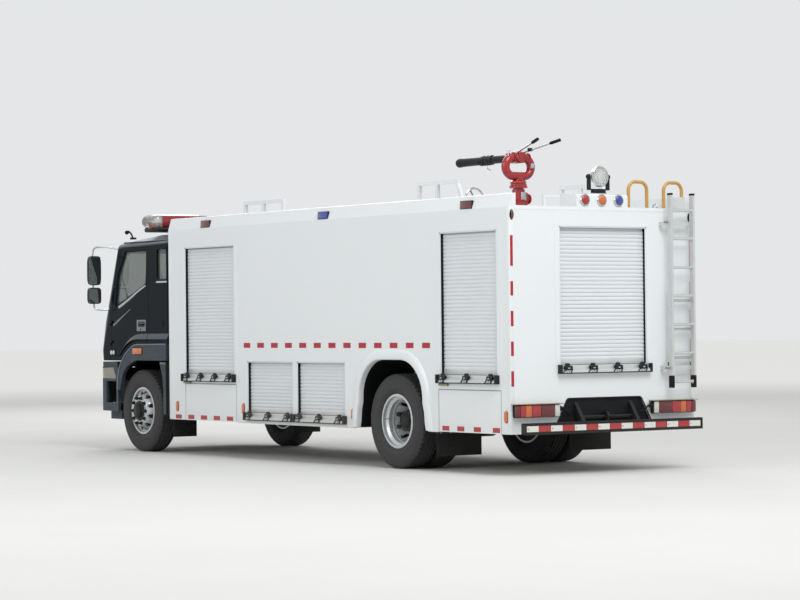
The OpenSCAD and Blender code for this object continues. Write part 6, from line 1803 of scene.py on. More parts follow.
class Wheels:
    """Tyres with tread and sidewall rings, hubs, nuts and valves."""

    TYRE_R = 0.527
    # Radius and distance from the tyre's centre plane, from the bead to the shoulder's foot
    SIDEWALL = ((0.286, 0.1015), (0.3005, 0.1025), (0.304, 0.1045), (0.3125, 0.1130),
                (0.317, 0.1185),
                (0.322, 0.1180), (0.331, 0.1262), (0.345, 0.1338), (0.368, 0.1378), (0.372, 0.1392),
                (0.377, 0.1392), (0.381, 0.1382), (0.405, 0.1390), (0.432, 0.1383), (0.455, 0.1362),
                (0.4685, 0.1335), (0.4715, 0.1358), (0.4775, 0.1355), (0.481, 0.1318),
                (0.494, 0.1262),
                (0.503, 0.1222), (0.509, 0.1202), (0.5125, 0.1150))
    GROOVES = (0.072, 0.026)
    LUGS = 58
    FRONT_Y = 1.06
    OUTER_Y = 1.06
    INNER_Y = 0.738
    DISC_Y = 0.161
    NUT_R = 0.167
    HOLE_R = 0.222

    def build(self) -> None:
        """Builds all wheels, left and right."""
        tyre = self.tyre()
        for side, end in HANDS:
            front = self.spot(FRONT_AXLE, side, self.FRONT_Y)
            outer = self.spot(REAR_AXLE, side, self.OUTER_Y)
            inner = self.spot(REAR_AXLE, side, self.INNER_Y)
            settle_all([(tyre, front)], "tread_tyre_front_" + end, TYRE_RUBBER,
                       "wheel_front_" + end, ("tyre_front_" + end,))
            settle_all([(tyre, outer), (tyre, inner)], "tread_tyres_rear_" + end, TYRE_RUBBER,
                       "wheels_rear_" + end, ("tyres_rear_" + end,))
            self.front_hub(front, end)
            self.rear_hub(outer, end)
            self.rim_details(front, outer, end)
            self.shadows(front, outer, inner, end)

    def shadows(self, front: Matrix, outer: Matrix, inner: Matrix, end: str) -> None:
        """Adds the drums, and painted shade in black in the hand holes and on the inner sides of
        the rims.

        Args:
            front: Place of the front wheel.
            outer: Place of the outer rear wheel.
            inner: Place of the inner rear wheel.
            end: "left" or "right".
        """
        back = Shape()
        # A black ring on the rim's inboard side: painted shade
        back.lathe([(0.13, -0.092), (0.268, -0.106), (0.3045, -0.1152), (0.3045, -0.1135),
                    (0.268, -0.103), (0.13, -0.088)], (0, 0, 0), "y", 72, closed=True)
        back.lathe([(0.10, -0.10), (0.205, -0.10), (0.205, 0.05), (0.10, 0.05)], (0, 0, 0), "y", 48,
                   closed=True)
        inside = back.mesh("inside")
        # Black discs set back in the hand holes: painted shade that makes the holes read dark
        shade_disc = Shape().lathe([(0.0, 0.0), (0.0262, 0.0), (0.0262, 0.004), (0.0, 0.004)], (0, 0, 0),
                             "z", 24).mesh("shade_disc")
        ring = Repeat(Layout.RING, 10, radius=self.HOLE_R).bake(shade_disc, HUB_BLACK)
        turn = Matrix.Rotation(math.pi / 10, 4, "Y")
        holes = turn @ Matrix.Translation((0, 0.121, 0)) @ aim("+y")
        far = turn @ Matrix.Translation((0, -0.121, 0)) @ aim("-y")
        settle_all([(inside, front), (ring, front @ holes)], "front_drum_and_shade_" + end, HUB_BLACK,
                   "wheel_front_" + end)
        settle_all([(inside, inner), (ring, outer @ far)], "rear_drum_and_shade_" + end, HUB_BLACK,
                   "wheels_rear_" + end)

    @staticmethod
    def spot(axle_x: float, side: int, y: float) -> Matrix:
        """Places a wheel that is made about Y at the origin, facing +Y.

        Args:
            axle_x: X of the axle.
            side: 1 for left, -1 for right.
            y: Distance of the wheel's plane from the centre.

        Returns:
            The placing matrix, which mirrors the wheel for the right side.
        """
        return Matrix.Translation((axle_x, side * y, HUB_Z)) @ Matrix.Diagonal((1.0, side,
                                                                                1.0, 1.0))

    def tyre(self) -> bpy.types.Mesh:
        """Makes one tyre about Y: carcass with four grooves and a ring of lugs on each shoulder."""
        half = list(self.SIDEWALL) + [(0.5135, 0.105), (0.5135, self.GROOVES[0] + 0.0045)]
        crown = self.TYRE_R - 0.0004
        for groove in self.GROOVES:
            floor = crown - 0.011
            if groove == self.GROOVES[0]:
                half.append((floor, groove + 0.0035))
            else:
                half += [(crown, groove + 0.0045), (floor, groove + 0.003)]
            half += [(floor, groove - 0.003), (crown, groove - 0.0045)]
        profile = half + [(r, -y) for r, y in reversed(half)]
        carcass = Shape().lathe(profile, (0, 0, 0), "y", 112, closed=True).mesh("carcass", 28.0)
        lug = Shape()
        lug.prism([(0.009, 0.079), (0.0262, 0.079), (0.0262, 0.100), (0.0215, 0.1085),
                   (0.014, 0.1165), (0.007, 0.1205), (0.003, 0.112)], "z", -0.0225, 0.0225)
        unit = lug.mesh("lug")
        # The prism lies in XY; the ring wants X outwards and its axis along Z
        unit.transform(Matrix(((1, 0, 0, 0), (0, 0, 1, 0), (0, 1, 0, 0), (0, 0, 0, 1))))
        unit.flip_normals()
        ring = Repeat(Layout.RING, self.LUGS, radius=0.5).bake(unit, TYRE_RUBBER)
        return copies_at([(carcass, Matrix.Identity(4)), (ring, aim("+y")),
                          (ring, Matrix.Rotation(math.pi / self.LUGS, 4, "Y") @ aim("-y"))], "tyre")

    @staticmethod
    def nut() -> bpy.types.Mesh:
        """Makes one wheel nut with its captive washer, standing along +Z."""
        shape = Shape()
        shape.lathe([(0.0, 0.0), (0.0245, 0.0), (0.0245, 0.0045), (0.021, 0.0075), (0.0, 0.0075)],
                    (0, 0, 0), "z", 20)
        shape.lathe([(0.0, 0.005), (0.0188, 0.005), (0.0188, 0.0295), (0.0165, 0.0335),
                     (0.0, 0.0335)],
                    (0, 0, 0), "z", 6)
        shape.lathe([(0.0, 0.03), (0.0115, 0.03), (0.0115, 0.041), (0.009, 0.043), (0.0, 0.043)],
                    (0, 0, 0), "z", 14)
        return shape.mesh("nut")

    def nuts(self, face: float) -> tuple:
        """Gives the ring of nuts and its place on a disc's face."""
        ring = Repeat(Layout.RING, 10, radius=self.NUT_R).bake(self.nut(), HUB_BLACK)
        return ring, Matrix.Translation((0, face, 0)) @ aim("+y")

    def front_hub(self, spot: Matrix, end: str) -> None:
        """Adds the black front hub with its cap, bolts and nuts.

        Args:
            spot: Place of the wheel.
            end: "left" or "right".
        """
        hub, face = Shape(), self.DISC_Y
        hub.lathe([(0.0, face + 0.052), (0.056, face + 0.052), (0.063, face + 0.049),
                   (0.066, face + 0.044), (0.084, face + 0.044), (0.0935, face + 0.0405),
                   (0.0945, face + 0.034), (0.0935, face + 0.018), (0.102, face + 0.010),
                   (0.128, face + 0.006), (0.131, face + 0.0008), (0.09, face + 0.0008),
                   (0.0925, face + 0.002), (0.0925, face + 0.041), (0.0, face + 0.041)], (0, 0, 0),
                  "y", 56)
        body = hub.mesh("hub")
        ring, place = self.nuts(face)
        bolts = Repeat(Layout.RING, 10, radius=0.0755).bake(bolt_head(0.0062, 0.007), HUB_BLACK)
        whole = [(body, spot), (ring, spot @ place),
                 (bolts, spot @ Matrix.Translation((0, face + 0.0435, 0)) @ aim("+y"))]
        settle_all(whole, "front_hub_" + end, HUB_BLACK, "wheel_front_" + end)

    def rear_hub(self, spot: Matrix, end: str) -> None:
        """Adds the black rear hub with the axle shaft's flange and nuts.

        Args:
            spot: Place of the outer wheel.
            end: "left" or "right".
        """
        foot = -self.DISC_Y + 0.0125
        hub = Shape().lathe([
            (0.1125, foot), (0.133, foot), (0.131, foot + 0.007), (0.1165, foot + 0.016),
            (0.1135, foot + 0.03), (0.1135, -0.012), (0.1105, 0.0015), (0.103, 0.0035),
            (0.092, 0.0035),
            (0.090, 0.0115), (0.084, 0.0145), (0.046, 0.0155), (0.040, 0.0205), (0.0, 0.022),
            (0.0, 0.0008), (0.1122, 0.0008)], (0, 0, 0), "y", 56).mesh("hub")
        ring, place = self.nuts(foot)
        studs = Repeat(Layout.RING, 8, radius=0.067).bake(bolt_head(0.0085, 0.0095), HUB_BLACK)
        whole = [(hub, spot), (ring, spot @ place),
                 (studs, spot @ Matrix.Translation((0, 0.0135, 0)) @ aim("+y"))]
        settle_all(whole, "rear_hub_" + end, HUB_BLACK, "wheels_rear_" + end)

    def rim_details(self, front: Matrix, outer: Matrix, end: str) -> None:
        """Adds the lock ring's bead, balance weights and valves of the rims.

        Args:
            front: Place of the front wheel.
            outer: Place of the outer rear wheel.
            end: "left" or "right".
        """
        bead = Shape()
        bead.lathe([(0.2775, 0.1105), (0.2865, 0.1142), (0.2985, 0.1148), (0.3035, 0.1122),
                    (0.3035, 0.1060), (0.3005, 0.1045), (0.286, 0.1065), (0.2775, 0.1040)],
                   (0, 0, 0), "y", 96, closed=True)
        bead.lathe([(0.2440, 0.0480), (0.2476, 0.0545), (0.2476, 0.0575), (0.2440, 0.0560)],
                   (0, 0, 0), "y", 72, closed=True)
        ring = bead.mesh("bead")
        valve = Shape()
        valve.tube(rounded([(0.236, 0.052, 0.02), (0.236, 0.085, 0.02), (0.222, 0.125, 0.02)],
                           0.02),
                   0.0045, 8)
        valve.lathe([(0.0, 0.0), (0.0065, 0.0), (0.0065, 0.014), (0.004, 0.018), (0.0, 0.018)],
                    (0.2225, 0.119, 0.02), "y", 10)
        weight = Shape().block((-0.022, 0.108, 0.2795), (0.022, 0.1165, 0.2875),
                               0.002).mesh("weight")
        stem = valve.mesh("valve")
        for spot, body, name in ((front, "wheel_front_" + end, "front_"),
                                 (outer, "wheels_rear_" + end, "rear_")):
            settle_all([(ring, spot)], name + "lock_ring_" + end, WHEEL_SILVER, body)
            settle_all([(stem, spot), (weight, spot @ Matrix.Rotation(2.1, 4, "Y"))],
                       name + "valve_" + end, GALVANISED, body)


class Shutters:
    """Roller shutters with rounded slats, hinge grooves and bottom rails."""

    PITCH = 0.042
    RECESS = 0.038
    THICK = 0.014
    GUIDE = 0.014

    def build(self) -> None:
        """Replaces the plain shutters with one slat repeated up each opening."""
        parts, rails = [], Shape()
        doors = [(at(x), at(x + length), low, high) for x, length, low, high in Lockers.SIDE_DOORS]
        for side in SIDES:
            flip = Matrix.Diagonal((1.0, side, 1.0, 1.0))
            for start, end, low, high in doors:
                place = flip @ Matrix.Translation((start + self.GUIDE, SIDE - self.RECESS, low))
                parts.append(self.curtain(end - start - 2 * self.GUIDE,
                                          high - low - self.GUIDE, place))
        turn = Matrix.Translation((REAR_WALL + self.RECESS, Lockers.BACK_Y + self.GUIDE,
                                   Lockers.BACK_LOW)) @ Matrix.Rotation(math.pi / 2, 4, "Z")
        parts.append(self.curtain(Lockers.BACK_LENGTH - 2 * self.GUIDE,
                                  Lockers.BACK_HIGH - Lockers.BACK_LOW - self.GUIDE, turn))
        for _, place, length in parts:
            rails.block((0.002, 0.0, 0.0), (length - 0.002, 0.0075, 0.052), 0.003, place)
            rails.block((0.002, 0.0065, 0.018), (length - 0.002, 0.0125, 0.028), 0.003, place)
        settle_all([(mesh, place) for mesh, place, _ in parts], "shutter_slats", SLAT_COAT,
                   replaces=("roller_shutters",))
        rails.piece("shutter_rails", LADDER_ALUMINIUM)

    def curtain(self, length: float, height: float, place: Matrix) -> tuple:
        """Makes one shutter: a slat with a bulged face, repeated upwards.

        Args:
            length: Length of the slats.
            height: Height of the opening.
            place: Puts the opening's low corner in place, with the outside along +Y.

        Returns:
            The mesh, its place and the length.
        """
        pitch = self.PITCH
        face = [(-0.0045, 0.0), (-0.0045, 0.0028), (0.0, 0.0036), (0.0026, 0.0105), (0.0034, 0.019),
                (0.0028, 0.0275), (0.0, 0.0352), (-0.0012, 0.0372), (-0.0045, 0.0385),
                (-0.0045, pitch)]
        outline = face + [(-self.THICK, pitch), (-self.THICK, 0.0)]
        slat = Shape().prism(outline, "x", 0.0, length).mesh("slat")
        count = int(height / pitch + 1e-6)
        mesh = Repeat(Layout.ROW, count, step=(0, 0, pitch)).bake(slat, SLAT_COAT)
        rest = height - count * pitch
        if rest < 0.002:
            return mesh, place, length
        cap = Shape().block((0.0, -self.THICK, count * pitch), (length, -0.001, height), 0.0005)
        return copies_at([(mesh, Matrix.Identity(4)), (cap.mesh("cap"), Matrix.Identity(4))],
                         "curtain"), place, length


class Underbody:
    """Springs, brakes, tanks, exhaust, lines and mud flaps below the body."""

    SPRING_Y = 0.39
    RAIL_Z = 0.70
    GUARD_X = at(7345)
    LEAF_PITCH = 0.0135
    # Y and Z of the exhaust, and of the air tanks
    PIPE = (-0.66, 0.62)
    TANK_Y, TANK_Z = 0.25, 0.57

    def build(self) -> None:
        """Builds the pieces between the frame and the road."""
        self.springs()
        self.dampers()
        self.brakes()
        self.tanks()
        self.exhaust()
        self.lines()
        self.flaps()

    @staticmethod
    def leaf(x: float, y: float, z: float, half: float, rise: float, thick: float) -> list:
        """Gives the rows of one bowed leaf.

        Args:
            x: Middle of the leaf.
            y: Its lateral middle.
            z: Height of its underside at the middle.
            half: Half its length.
            rise: How much an end at a reach of 1 m stands above the middle.
            thick: Its thickness.

        Returns:
            Loops of four points along the leaf.
        """
        rows = []
        for k in range(21):
            t = -1.0 + k / 10.0
            lift = z + rise * (t * half) ** 2
            thin = thick * (1.0 if abs(t) < 0.9 else 0.75)
            rows.append([(x + t * half, y - 0.037, lift), (x + t * half, y + 0.037, lift),
                         (x + t * half, y + 0.037, lift + thin),
                         (x + t * half, y - 0.037, lift + thin)])
        return rows

    def springs(self) -> None:
        """Replaces the stacked springs with bowed leaves, clips, shackles and U-bolts."""
        leaves, iron = shapes(2)
        for side in SIDES:
            y = side * self.SPRING_Y
            for x, z, half, count in ((FRONT_AXLE, 0.492, 0.76, 4), (REAR_AXLE, 0.607, 0.83, 6)):
                rise = (self.RAIL_Z - 0.045 - z - count * self.LEAF_PITCH) / half ** 2
                for i in range(count):
                    reach = half * (1.0 if i == count - 1 else 0.28 + 0.62 * (i + 1) / count)
                    leaves.loft(self.leaf(x, y, z + i * self.LEAF_PITCH, reach, rise, 0.0128))
                top = z + count * self.LEAF_PITCH
                for end in (-1, 1):
                    eye = (x + end * half, y - 0.037, self.RAIL_Z - 0.042)
                    leaves.lathe([(0.015, 0.0), (0.03, 0.0), (0.03, 0.074), (0.015, 0.074)],
                                 eye, "y",
                                 20, closed=True)
                    iron.lathe([(0.0, -0.014), (0.0145, -0.014), (0.0145, 0.088),
                                (0.0, 0.088)], eye,
                               "y", 14)
                    for dy in (-0.050, 0.040):
                        iron.block((eye[0] - 0.03, y + dy, self.RAIL_Z - 0.075),
                                   (eye[0] + 0.03, y + dy + 0.010, self.RAIL_Z + 0.05), 0.008)
                    clip = x + end * half * 0.55
                    lift = z + rise * (half * 0.55) ** 2
                    iron.block((clip - 0.014, y - 0.043, lift - 0.004),
                               (clip + 0.014, y + 0.043,
                                lift + count * self.LEAF_PITCH + 0.004), 0.003)
                iron.block((x - 0.09, y - 0.05, top + 0.001),
                           (x + 0.09, y + 0.05, top + 0.03), 0.008)
                for dx in (-0.07, 0.07):
                    iron.tube(rounded([(x + dx, y - 0.046, z - 0.03),
                                       (x + dx, y - 0.046, top + 0.046),
                                       (x + dx, y + 0.046, top + 0.046),
                                       (x + dx, y + 0.046, z - 0.03)],
                                      0.03), 0.009, 10)
        leaves.piece("bowed_leaves", FORGED_IRON, replaces=("leaf_springs",))
        iron.piece("spring_ironwork", FORGED_IRON)

    def dampers(self) -> None:
        """Adds the telescopic dampers and the front bump stops."""
        body, rod = shapes(2)
        for side in SIDES:
            for low, high in (((FRONT_AXLE - 0.09, 0.50, 0.44), (FRONT_AXLE - 0.30, 0.47, 0.86)),
                              ((REAR_AXLE + 0.16, 0.475, 0.50), (REAR_AXLE + 0.36, 0.47, 0.90))):
                foot, head = (Vector((p[0], side * p[1], p[2])) for p in (low, high))
                body.tube([foot.lerp(head, 0.45), head], 0.038, 20)
                rod.tube([foot, foot.lerp(head, 0.5)], 0.03, 16)
                for spot in (foot, head):
                    rod.lathe([(0.0, -0.035), (0.026, -0.035), (0.026, 0.035), (0.0, 0.035)],
                              spot, "y", 16)
            body.lathe([(0.0, 0.0), (0.035, 0.0), (0.03, -0.05), (0.018, -0.075), (0.0, -0.08)],
                       (FRONT_AXLE, side * 0.39, self.RAIL_Z - 0.002), "z", 20)
        body.piece("damper_tubes", CHASSIS_ENAMEL)
        rod.piece("damper_rods", FORGED_IRON)

    def brakes(self) -> None:
        """Adds brake chambers with clamps and hoses at the rear axle."""
        pots, hoses = shapes(2)
        for side in SIDES:
            spot = Vector((REAR_AXLE - 0.20, side * 0.40, 0.47))
            pots.lathe([(0.0, -0.10), (0.05, -0.098), (0.074, -0.08), (0.078, -0.02),
                        (0.088, -0.012),
                        (0.088, 0.006), (0.078, 0.014), (0.078, 0.09), (0.065, 0.11), (0.0, 0.115)],
                       spot, "x", 32)
            pots.block((REAR_AXLE - 0.13, side * 0.40 - 0.03, 0.44),
                       (REAR_AXLE - 0.04, side * 0.40 + 0.03,
                                                                    0.50), 0.01)
            hoses.tube(rounded([tuple(spot + Vector((-0.06, 0, 0.08))),
                                tuple(spot + Vector((-0.10, 0, 0.20))),
                                (REAR_AXLE - 0.42, side * 0.30, 0.66),
                                (REAR_AXLE - 0.50, side * 0.28, 0.80)],
                               0.08), 0.009, 8)
        pots.piece("brake_chambers", CHASSIS_ENAMEL)
        hoses.piece("brake_hoses", SEAL_RUBBER)

    def tanks(self) -> None:
        """Replaces the air tanks with domed ones in strap cradles."""
        tank, strap = shapes(2)
        start = at(3430)
        dome = [(0.0, 0.0), (0.03, 0.002), (0.07, 0.012), (0.10, 0.034), (0.115, 0.058),
                (0.12, 0.085)]
        for side in SIDES:
            profile = dome + [(0.12, 0.815)] + [(r, 0.9 - h) for r, h in reversed(dome[:-1])]
            tank.lathe(profile, (start, side * self.TANK_Y, self.TANK_Z), "x", 44)
            for x in (start + 0.12, start + 0.72):
                strap.lathe([(0.1195, 0.0), (0.123, 0.0), (0.123, 0.06), (0.1195, 0.06)],
                            (x, side * self.TANK_Y, self.TANK_Z), "x", 44, closed=True)
                strap.block((x - 0.004, side * self.TANK_Y - 0.05, 0.67),
                            (x + 0.064, side * self.TANK_Y + 0.05, 0.705), 0.004)
                strap.block((x, side * 0.2, 0.672), (x + 0.06, side * 0.43,
                                                                      0.70), 0.004)
            strap.lathe([(0.0, 0.0), (0.012, 0.0), (0.012, -0.03), (0.0, -0.034)],
                        (start + 0.45, side * self.TANK_Y, 0.453), "z", 12)
        tank.piece("air_tanks", CHASSIS_ENAMEL, replaces=("underbody_tanks",))
        strap.piece("tank_straps", CHASSIS_ENAMEL)

    def exhaust(self) -> None:
        """Adds the silencer and its pipe on the right of the frame."""
        pipe, hanger = shapes(2)
        pipe.lathe([(0.0, 0.0), (0.09, 0.004), (0.105, 0.02), (0.105, 0.63), (0.09, 0.646),
                    (0.0, 0.65)],
                   (at(6250), *self.PIPE), "x", 36)
        for x in (at(6300), at(6840)):
            hanger.lathe([(0.1045, 0.0), (0.108, 0.0), (0.108, 0.03), (0.1045, 0.03)],
                         (x, *self.PIPE),
                         "x", 36, closed=True)
            hanger.block((x, -0.60, 0.70), (x + 0.03, -0.42, 0.73), 0.004)
            hanger.block((x, -0.60, 0.69), (x + 0.03, -0.57, 0.73), 0.004)
        pipe.tube(rounded([(at(6905), *self.PIPE), (at(7150), *self.PIPE),
                           (at(7340), -0.40, 0.68),
                           (at(7560), -0.30, 0.80)], 0.12), 0.045, 18)
        pipe.tube(rounded([(at(6255), *self.PIPE), (at(6120), *self.PIPE),
                           (at(6080), -0.66, 0.55),
                           (at(6060), -0.70, 0.50)], 0.06), 0.04, 18)
        pipe.piece("exhaust_pipe", FORGED_IRON)
        hanger.piece("exhaust_hangers", CHASSIS_ENAMEL)

    def lines(self) -> None:
        """Runs brake lines and a cable loom along the rails, with clips."""
        lines = Shape()
        for side in SIDES:
            for k, (dz, radius) in enumerate(((0.10, 0.006), (0.125, 0.006), (0.155, 0.014))):
                y = side * (0.43 + radius)
                points = [(at(200) + 0.02 * k, y, self.RAIL_Z + dz),
                          (at(7100), y, self.RAIL_Z + dz)]
                lines.tube(points, radius, 8)
        clip = Shape().block((0, -0.006, 0), (0.02, 0.022, 0.08), 0.003).mesh("clip")
        row = Repeat(Layout.ROW, 12, step=(0.58, 0, 0)).bake(clip, GALVANISED)
        left = Matrix.Translation((at(350), 0.436, self.RAIL_Z + 0.09))
        right = Matrix.Translation((at(350), -0.458, self.RAIL_Z + 0.09))
        lines.piece("frame_lines", SEAL_RUBBER)
        settle_all([(row, left), (row, right)], "line_clips", GALVANISED)

    def flaps(self) -> None:
        """Replaces the guards with a slate fender leg and ribbed rubber flaps."""
        leg, flap, plate, cap = shapes(4)
        x, flap_x, heads = self.GUARD_X, at(1392), []
        # Shape, opposite corners of its box on the left, edge radius and faces across an edge
        for shape, low, high, bevel, segments in (
                (leg, (x - 0.03, 0.70, 0.49), (x, 1.19, 1.13), 0.01, 3),
                (cap, (x + 0.012, 1.1975, 1.128), (x + 0.162, 1.204, 1.152), 0.004, 3),
                (flap, (x - 0.05, 1.16, 0.49), (x + 0.012, 1.19, 1.15), 0.004, 2),
                (plate, (x - 0.03, 0.43, 0.70), (x, 0.70, 0.76), 0.005, 2),
                (plate, (at(7170), 1.07, 0.64), (x - 0.03, 1.14, 0.70), 0.005, 2),
                (flap, (x - 0.020, 0.77, 0.205), (x - 0.010, 1.105, 0.53), 0.003, 2),
                (plate, (x - 0.034, 0.77, 0.47), (x - 0.02, 1.105, 0.51), 0.003, 2),
                (flap, (flap_x, 0.61, 0.165), (flap_x + 0.010, 1.21, 0.44), 0.003, 2),
                (plate, (flap_x - 0.008, 0.61, 0.405), (flap_x, 1.21, 0.44), 0.002, 2)):
            shape.blocks(low, high, bevel, segments)
        for side in SIDES:
            y = sorted((side * 1.16, side * 1.2))
            leg.loft([[(a, y[0], z), (b, y[0], z), (b, y[1], z), (a, y[1], z)] for a, b, z in (
                (x + 0.012, x + 0.078, 0.49), (x + 0.012, x + 0.078, 0.80),
                (x + 0.014, x + 0.10, 0.97), (x + 0.016, x + 0.15, 1.09),
                (x + 0.016, x + 0.17, 1.158))])
            for k in range(5):
                heads.append((bolt_head(0.009, 0.007), Matrix.Translation(
                    (flap_x - 0.008, side * (0.66 + 0.125 * k), 0.423)) @ aim("-x")))
            for k in range(4):
                heads.append((bolt_head(0.008, 0.006), Matrix.Translation(
                    (x - 0.034, side * (0.80 + 0.09 * k), 0.49)) @ aim("-x")))
        leg.piece("fender_legs", SLATE_PLASTIC, replaces=("mudguards",))
        # The fender's pale cap is a painted highlight along its top edge
        cap.piece("fender_caps", HIGHLIGHT_PLASTIC)
        flap.piece("mud_flaps", FLAP_RUBBER)
        plate.piece("flap_brackets", CHASSIS_ENAMEL)
        settle_all(heads, "flap_bolts", GALVANISED)


class Roof:
    """Deck tread, hatch, rack feet, rivets and small fittings on the roof."""

    HATCH_X = at(3700)
    # Stations of each rack's ends and middle post, and how far its rear end leans
    RACKS = ((1230, 2000, 1610, 140), (4800, 5710, 5250, 0))

    def build(self) -> None:
        """Builds the roof's pieces."""
        self.tread()
        self.hatch()
        self.racks()
        self.fittings()
        self.rivets()

    def tread(self) -> None:
        """Lays raised anti-slip panels with bars on both walkways."""
        panel, seam = shapes(2)
        for start, end in ((330, 640), (2150, 3260), (4080, 5350), (5420, 6960)):
            for low, high in ((-0.88, -0.34), (0.34, 0.88)):
                panel.block((at(start), low, DECK + 0.0002), (at(end), high, DECK + 0.004), 0.0015)
        bar = Shape().block((-0.008, -0.012, 0), (0.008, 0.012, 0.0022), 0.0009,
                            segments=1).mesh("bar")
        bar.transform(Matrix.Rotation(math.radians(45), 4, "Z"))
        whole = []
        for start, end in ((2150, 3260), (4080, 5350), (5420, 6960)):
            count = int((end - start - 60) / 55)
            row = Repeat(Layout.ROW, count, step=(0.055, 0, 0)).bake(bar, DECK_ENAMEL)
            for k in range(9):
                for y in (-0.84, 0.38):
                    whole.append((row, Matrix.Translation((
                        at(start + 40 + 27 * (k % 2)), y + 0.055 * k, DECK + 0.0038))))
        settle_all(whole, "tread_bars", DECK_ENAMEL)
        for station in (1420, 3300, 5380):
            seam.tube([(at(station), -1.15, DECK + 0.0005),
                       (at(station), 1.15, DECK + 0.0005)], 0.0035, 6)
        panel.piece("tread_panels", DECK_ENAMEL)
        seam.piece("deck_seams", SEAL_RUBBER)

    def hatch(self) -> None:
        """Replaces the hatch lid with a domed one that has a handle, clamp and seal."""
        lid, steel, seal, ring = shapes(4)
        x, z = self.HATCH_X, DECK + 0.15
        lid.lathe([(0.0, 0.0), (0.262, 0.0), (0.262, 0.010), (0.258, 0.0135), (0.215, 0.0145),
                   (0.208, 0.018), (0.196, 0.0245), (0.15, 0.0285), (0.08, 0.0305), (0.0, 0.031)],
                  (x, 0.0, z), "z", 72)
        for k in range(6):
            turn = Matrix.Translation((x, 0.0, z)) @ Matrix.Rotation(math.tau * k / 6, 4, "Z")
            lid.block((0.06, -0.008, 0.02), (0.2, 0.008, 0.0335), 0.004, turn)
        for y in (-0.062, 0.062):
            steel.block((x - 0.302, y - 0.010, z + 0.006), (x - 0.19, y + 0.010, z + 0.022), 0.004)
            steel.lathe([(0.0065, -0.012), (0.0175, -0.012), (0.0175, 0.012), (0.0065, 0.012)],
                        (x - 0.29, y, z + 0.014), "y", 20, closed=True)
        steel.tube([(x - 0.29, -0.1, z + 0.014), (x - 0.29, 0.1, z + 0.014)], 0.006, 12)
        steel.tube(rounded([(x + 0.1, -0.07, z + 0.026), (x + 0.1, -0.07, z + 0.075),
                            (x + 0.1, 0.07, z + 0.075), (x + 0.1, 0.07, z + 0.026)], 0.02),
                            0.008, 12)
        steel.block((x + 0.225, -0.03, z + 0.0125), (x + 0.262, 0.03, z + 0.028), 0.006)
        steel.tube(rounded([(x + 0.245, 0, z + 0.02), (x + 0.259, 0, z + 0.05),
                            (x + 0.22, 0, z + 0.075)],
                           0.015), 0.006, 10)
        seal.lathe([(0.236, -0.004), (0.249, -0.004), (0.249, -0.0005), (0.236, -0.0005)],
                   (x, 0.0, z),
                   "z", 64, closed=True)
        ring.lathe([(0.2495, 0.0), (0.275, 0.0), (0.275, 0.006), (0.256, 0.008), (0.252, 0.02),
                    (0.2495, 0.02)], (x, 0.0, DECK), "z", 72, closed=True)
        lid.piece("domed_lid", WHITE_ENAMEL, "hatch_lid", replaces=("hatch_lid",))
        steel.piece("lid_fittings", STAINLESS, "hatch_lid")
        seal.piece("hatch_seal", SEAL_RUBBER)
        ring.piece("hatch_flange", WHITE_ENAMEL)
        unit = bolt_head(0.007, 0.006)
        bolts = Repeat(Layout.RING, 16, radius=0.266).bake(unit, GALVANISED)
        settle_all([(bolts, Matrix.Translation((x, 0, DECK + 0.006)))], "hatch_bolts", GALVANISED)

    def racks(self) -> None:
        """Adds foot plates and bolts at the roof racks."""
        plates, heads = Shape(), []
        for start, end, post, lean in self.RACKS:
            for x in (start - lean + 20, post + 20, end - 20):
                for side in SIDES:
                    y = side * 1.0
                    plates.block((at(x) - 0.05, y - 0.045, DECK),
                                 (at(x) + 0.05, y + 0.045, DECK + 0.008),
                                 0.003)
                    for dx in (-0.036, 0.036):
                        for dy in (-0.033, 0.033):
                            heads.append((bolt_head(0.006, 0.006), Matrix.Translation(
                                (at(x) + dx, y + dy, DECK + 0.008))))
        plates.piece("rack_plates", WHITE_ENAMEL)
        settle_all(heads, "rack_bolts", GALVANISED)

    def fittings(self) -> None:
        """Adds lifting eyes, drain grids and the searchlight's cable."""
        eyes, black = shapes(2)
        for x in (at(420), at(6700)):
            for side in SIDES:
                y = side * 1.08
                eyes.block((x - 0.05, y - 0.03, DECK), (x + 0.05, y + 0.03, DECK + 0.01), 0.004)
                ring = [(x + 0.034 * math.cos(a), y, DECK + 0.045 + 0.034 * math.sin(a))
                        for a in (math.tau * k / 24 for k in range(24))]
                eyes.tube(ring, 0.009, 10, closed=True)
        for x in (at(200), at(7000)):
            for side in SIDES:
                black.block((x - 0.04, side * 1.12 - 0.025, DECK), (x + 0.04, side * 1.12 + 0.025,
                                                                   DECK + 0.004), 0.0015)
        black.tube(rounded([(at(205), -0.11, DECK + 0.175), (at(270), -0.11, DECK + 0.172),
                            (at(300), -0.2, DECK + 0.165), (at(330), -0.28, DECK + 0.01)],
                            0.04), 0.008, 10)
        eyes.piece("lifting_eyes", STAINLESS)
        black.piece("deck_drains", BLACK_PLASTIC)

    def rivets(self) -> None:
        """Sets rows of blind rivets along the coaming's inner foot and the rear corner folds."""
        head = Shape().lathe([(0.0, 0.0), (0.0048, 0.0), (0.0042, 0.0018), (0.0, 0.0028)],
                             (0, 0, 0),
                             "z", 8).mesh("rivet")
        long_row = Repeat(Layout.ROW, 46, step=(0.15, 0, 0)).bake(head, WHITE_ENAMEL)
        tall_row = Repeat(Layout.ROW, 15, step=(0.15, 0, 0)).bake(head, WHITE_ENAMEL)
        rise = Matrix.Rotation(-math.pi / 2, 4, "Y")
        whole = []
        for side in SIDES:
            whole.append((long_row, Matrix.Translation((at(210), side * 1.145, DECK))))
            whole.append((tall_row,
                          Matrix.Translation((REAR_WALL - 0.0015, side * 1.2, 0.56)) @ rise))
        settle_all(whole, "deck_rivets", WHITE_ENAMEL)


ASSEMBLIES = (BodyTrim(), Lockers(), Shutters(), RearEnd(), Monitor(), Searchlight(), CabOutside(),
              CabInside(), Wheels(), Underbody(), Roof())


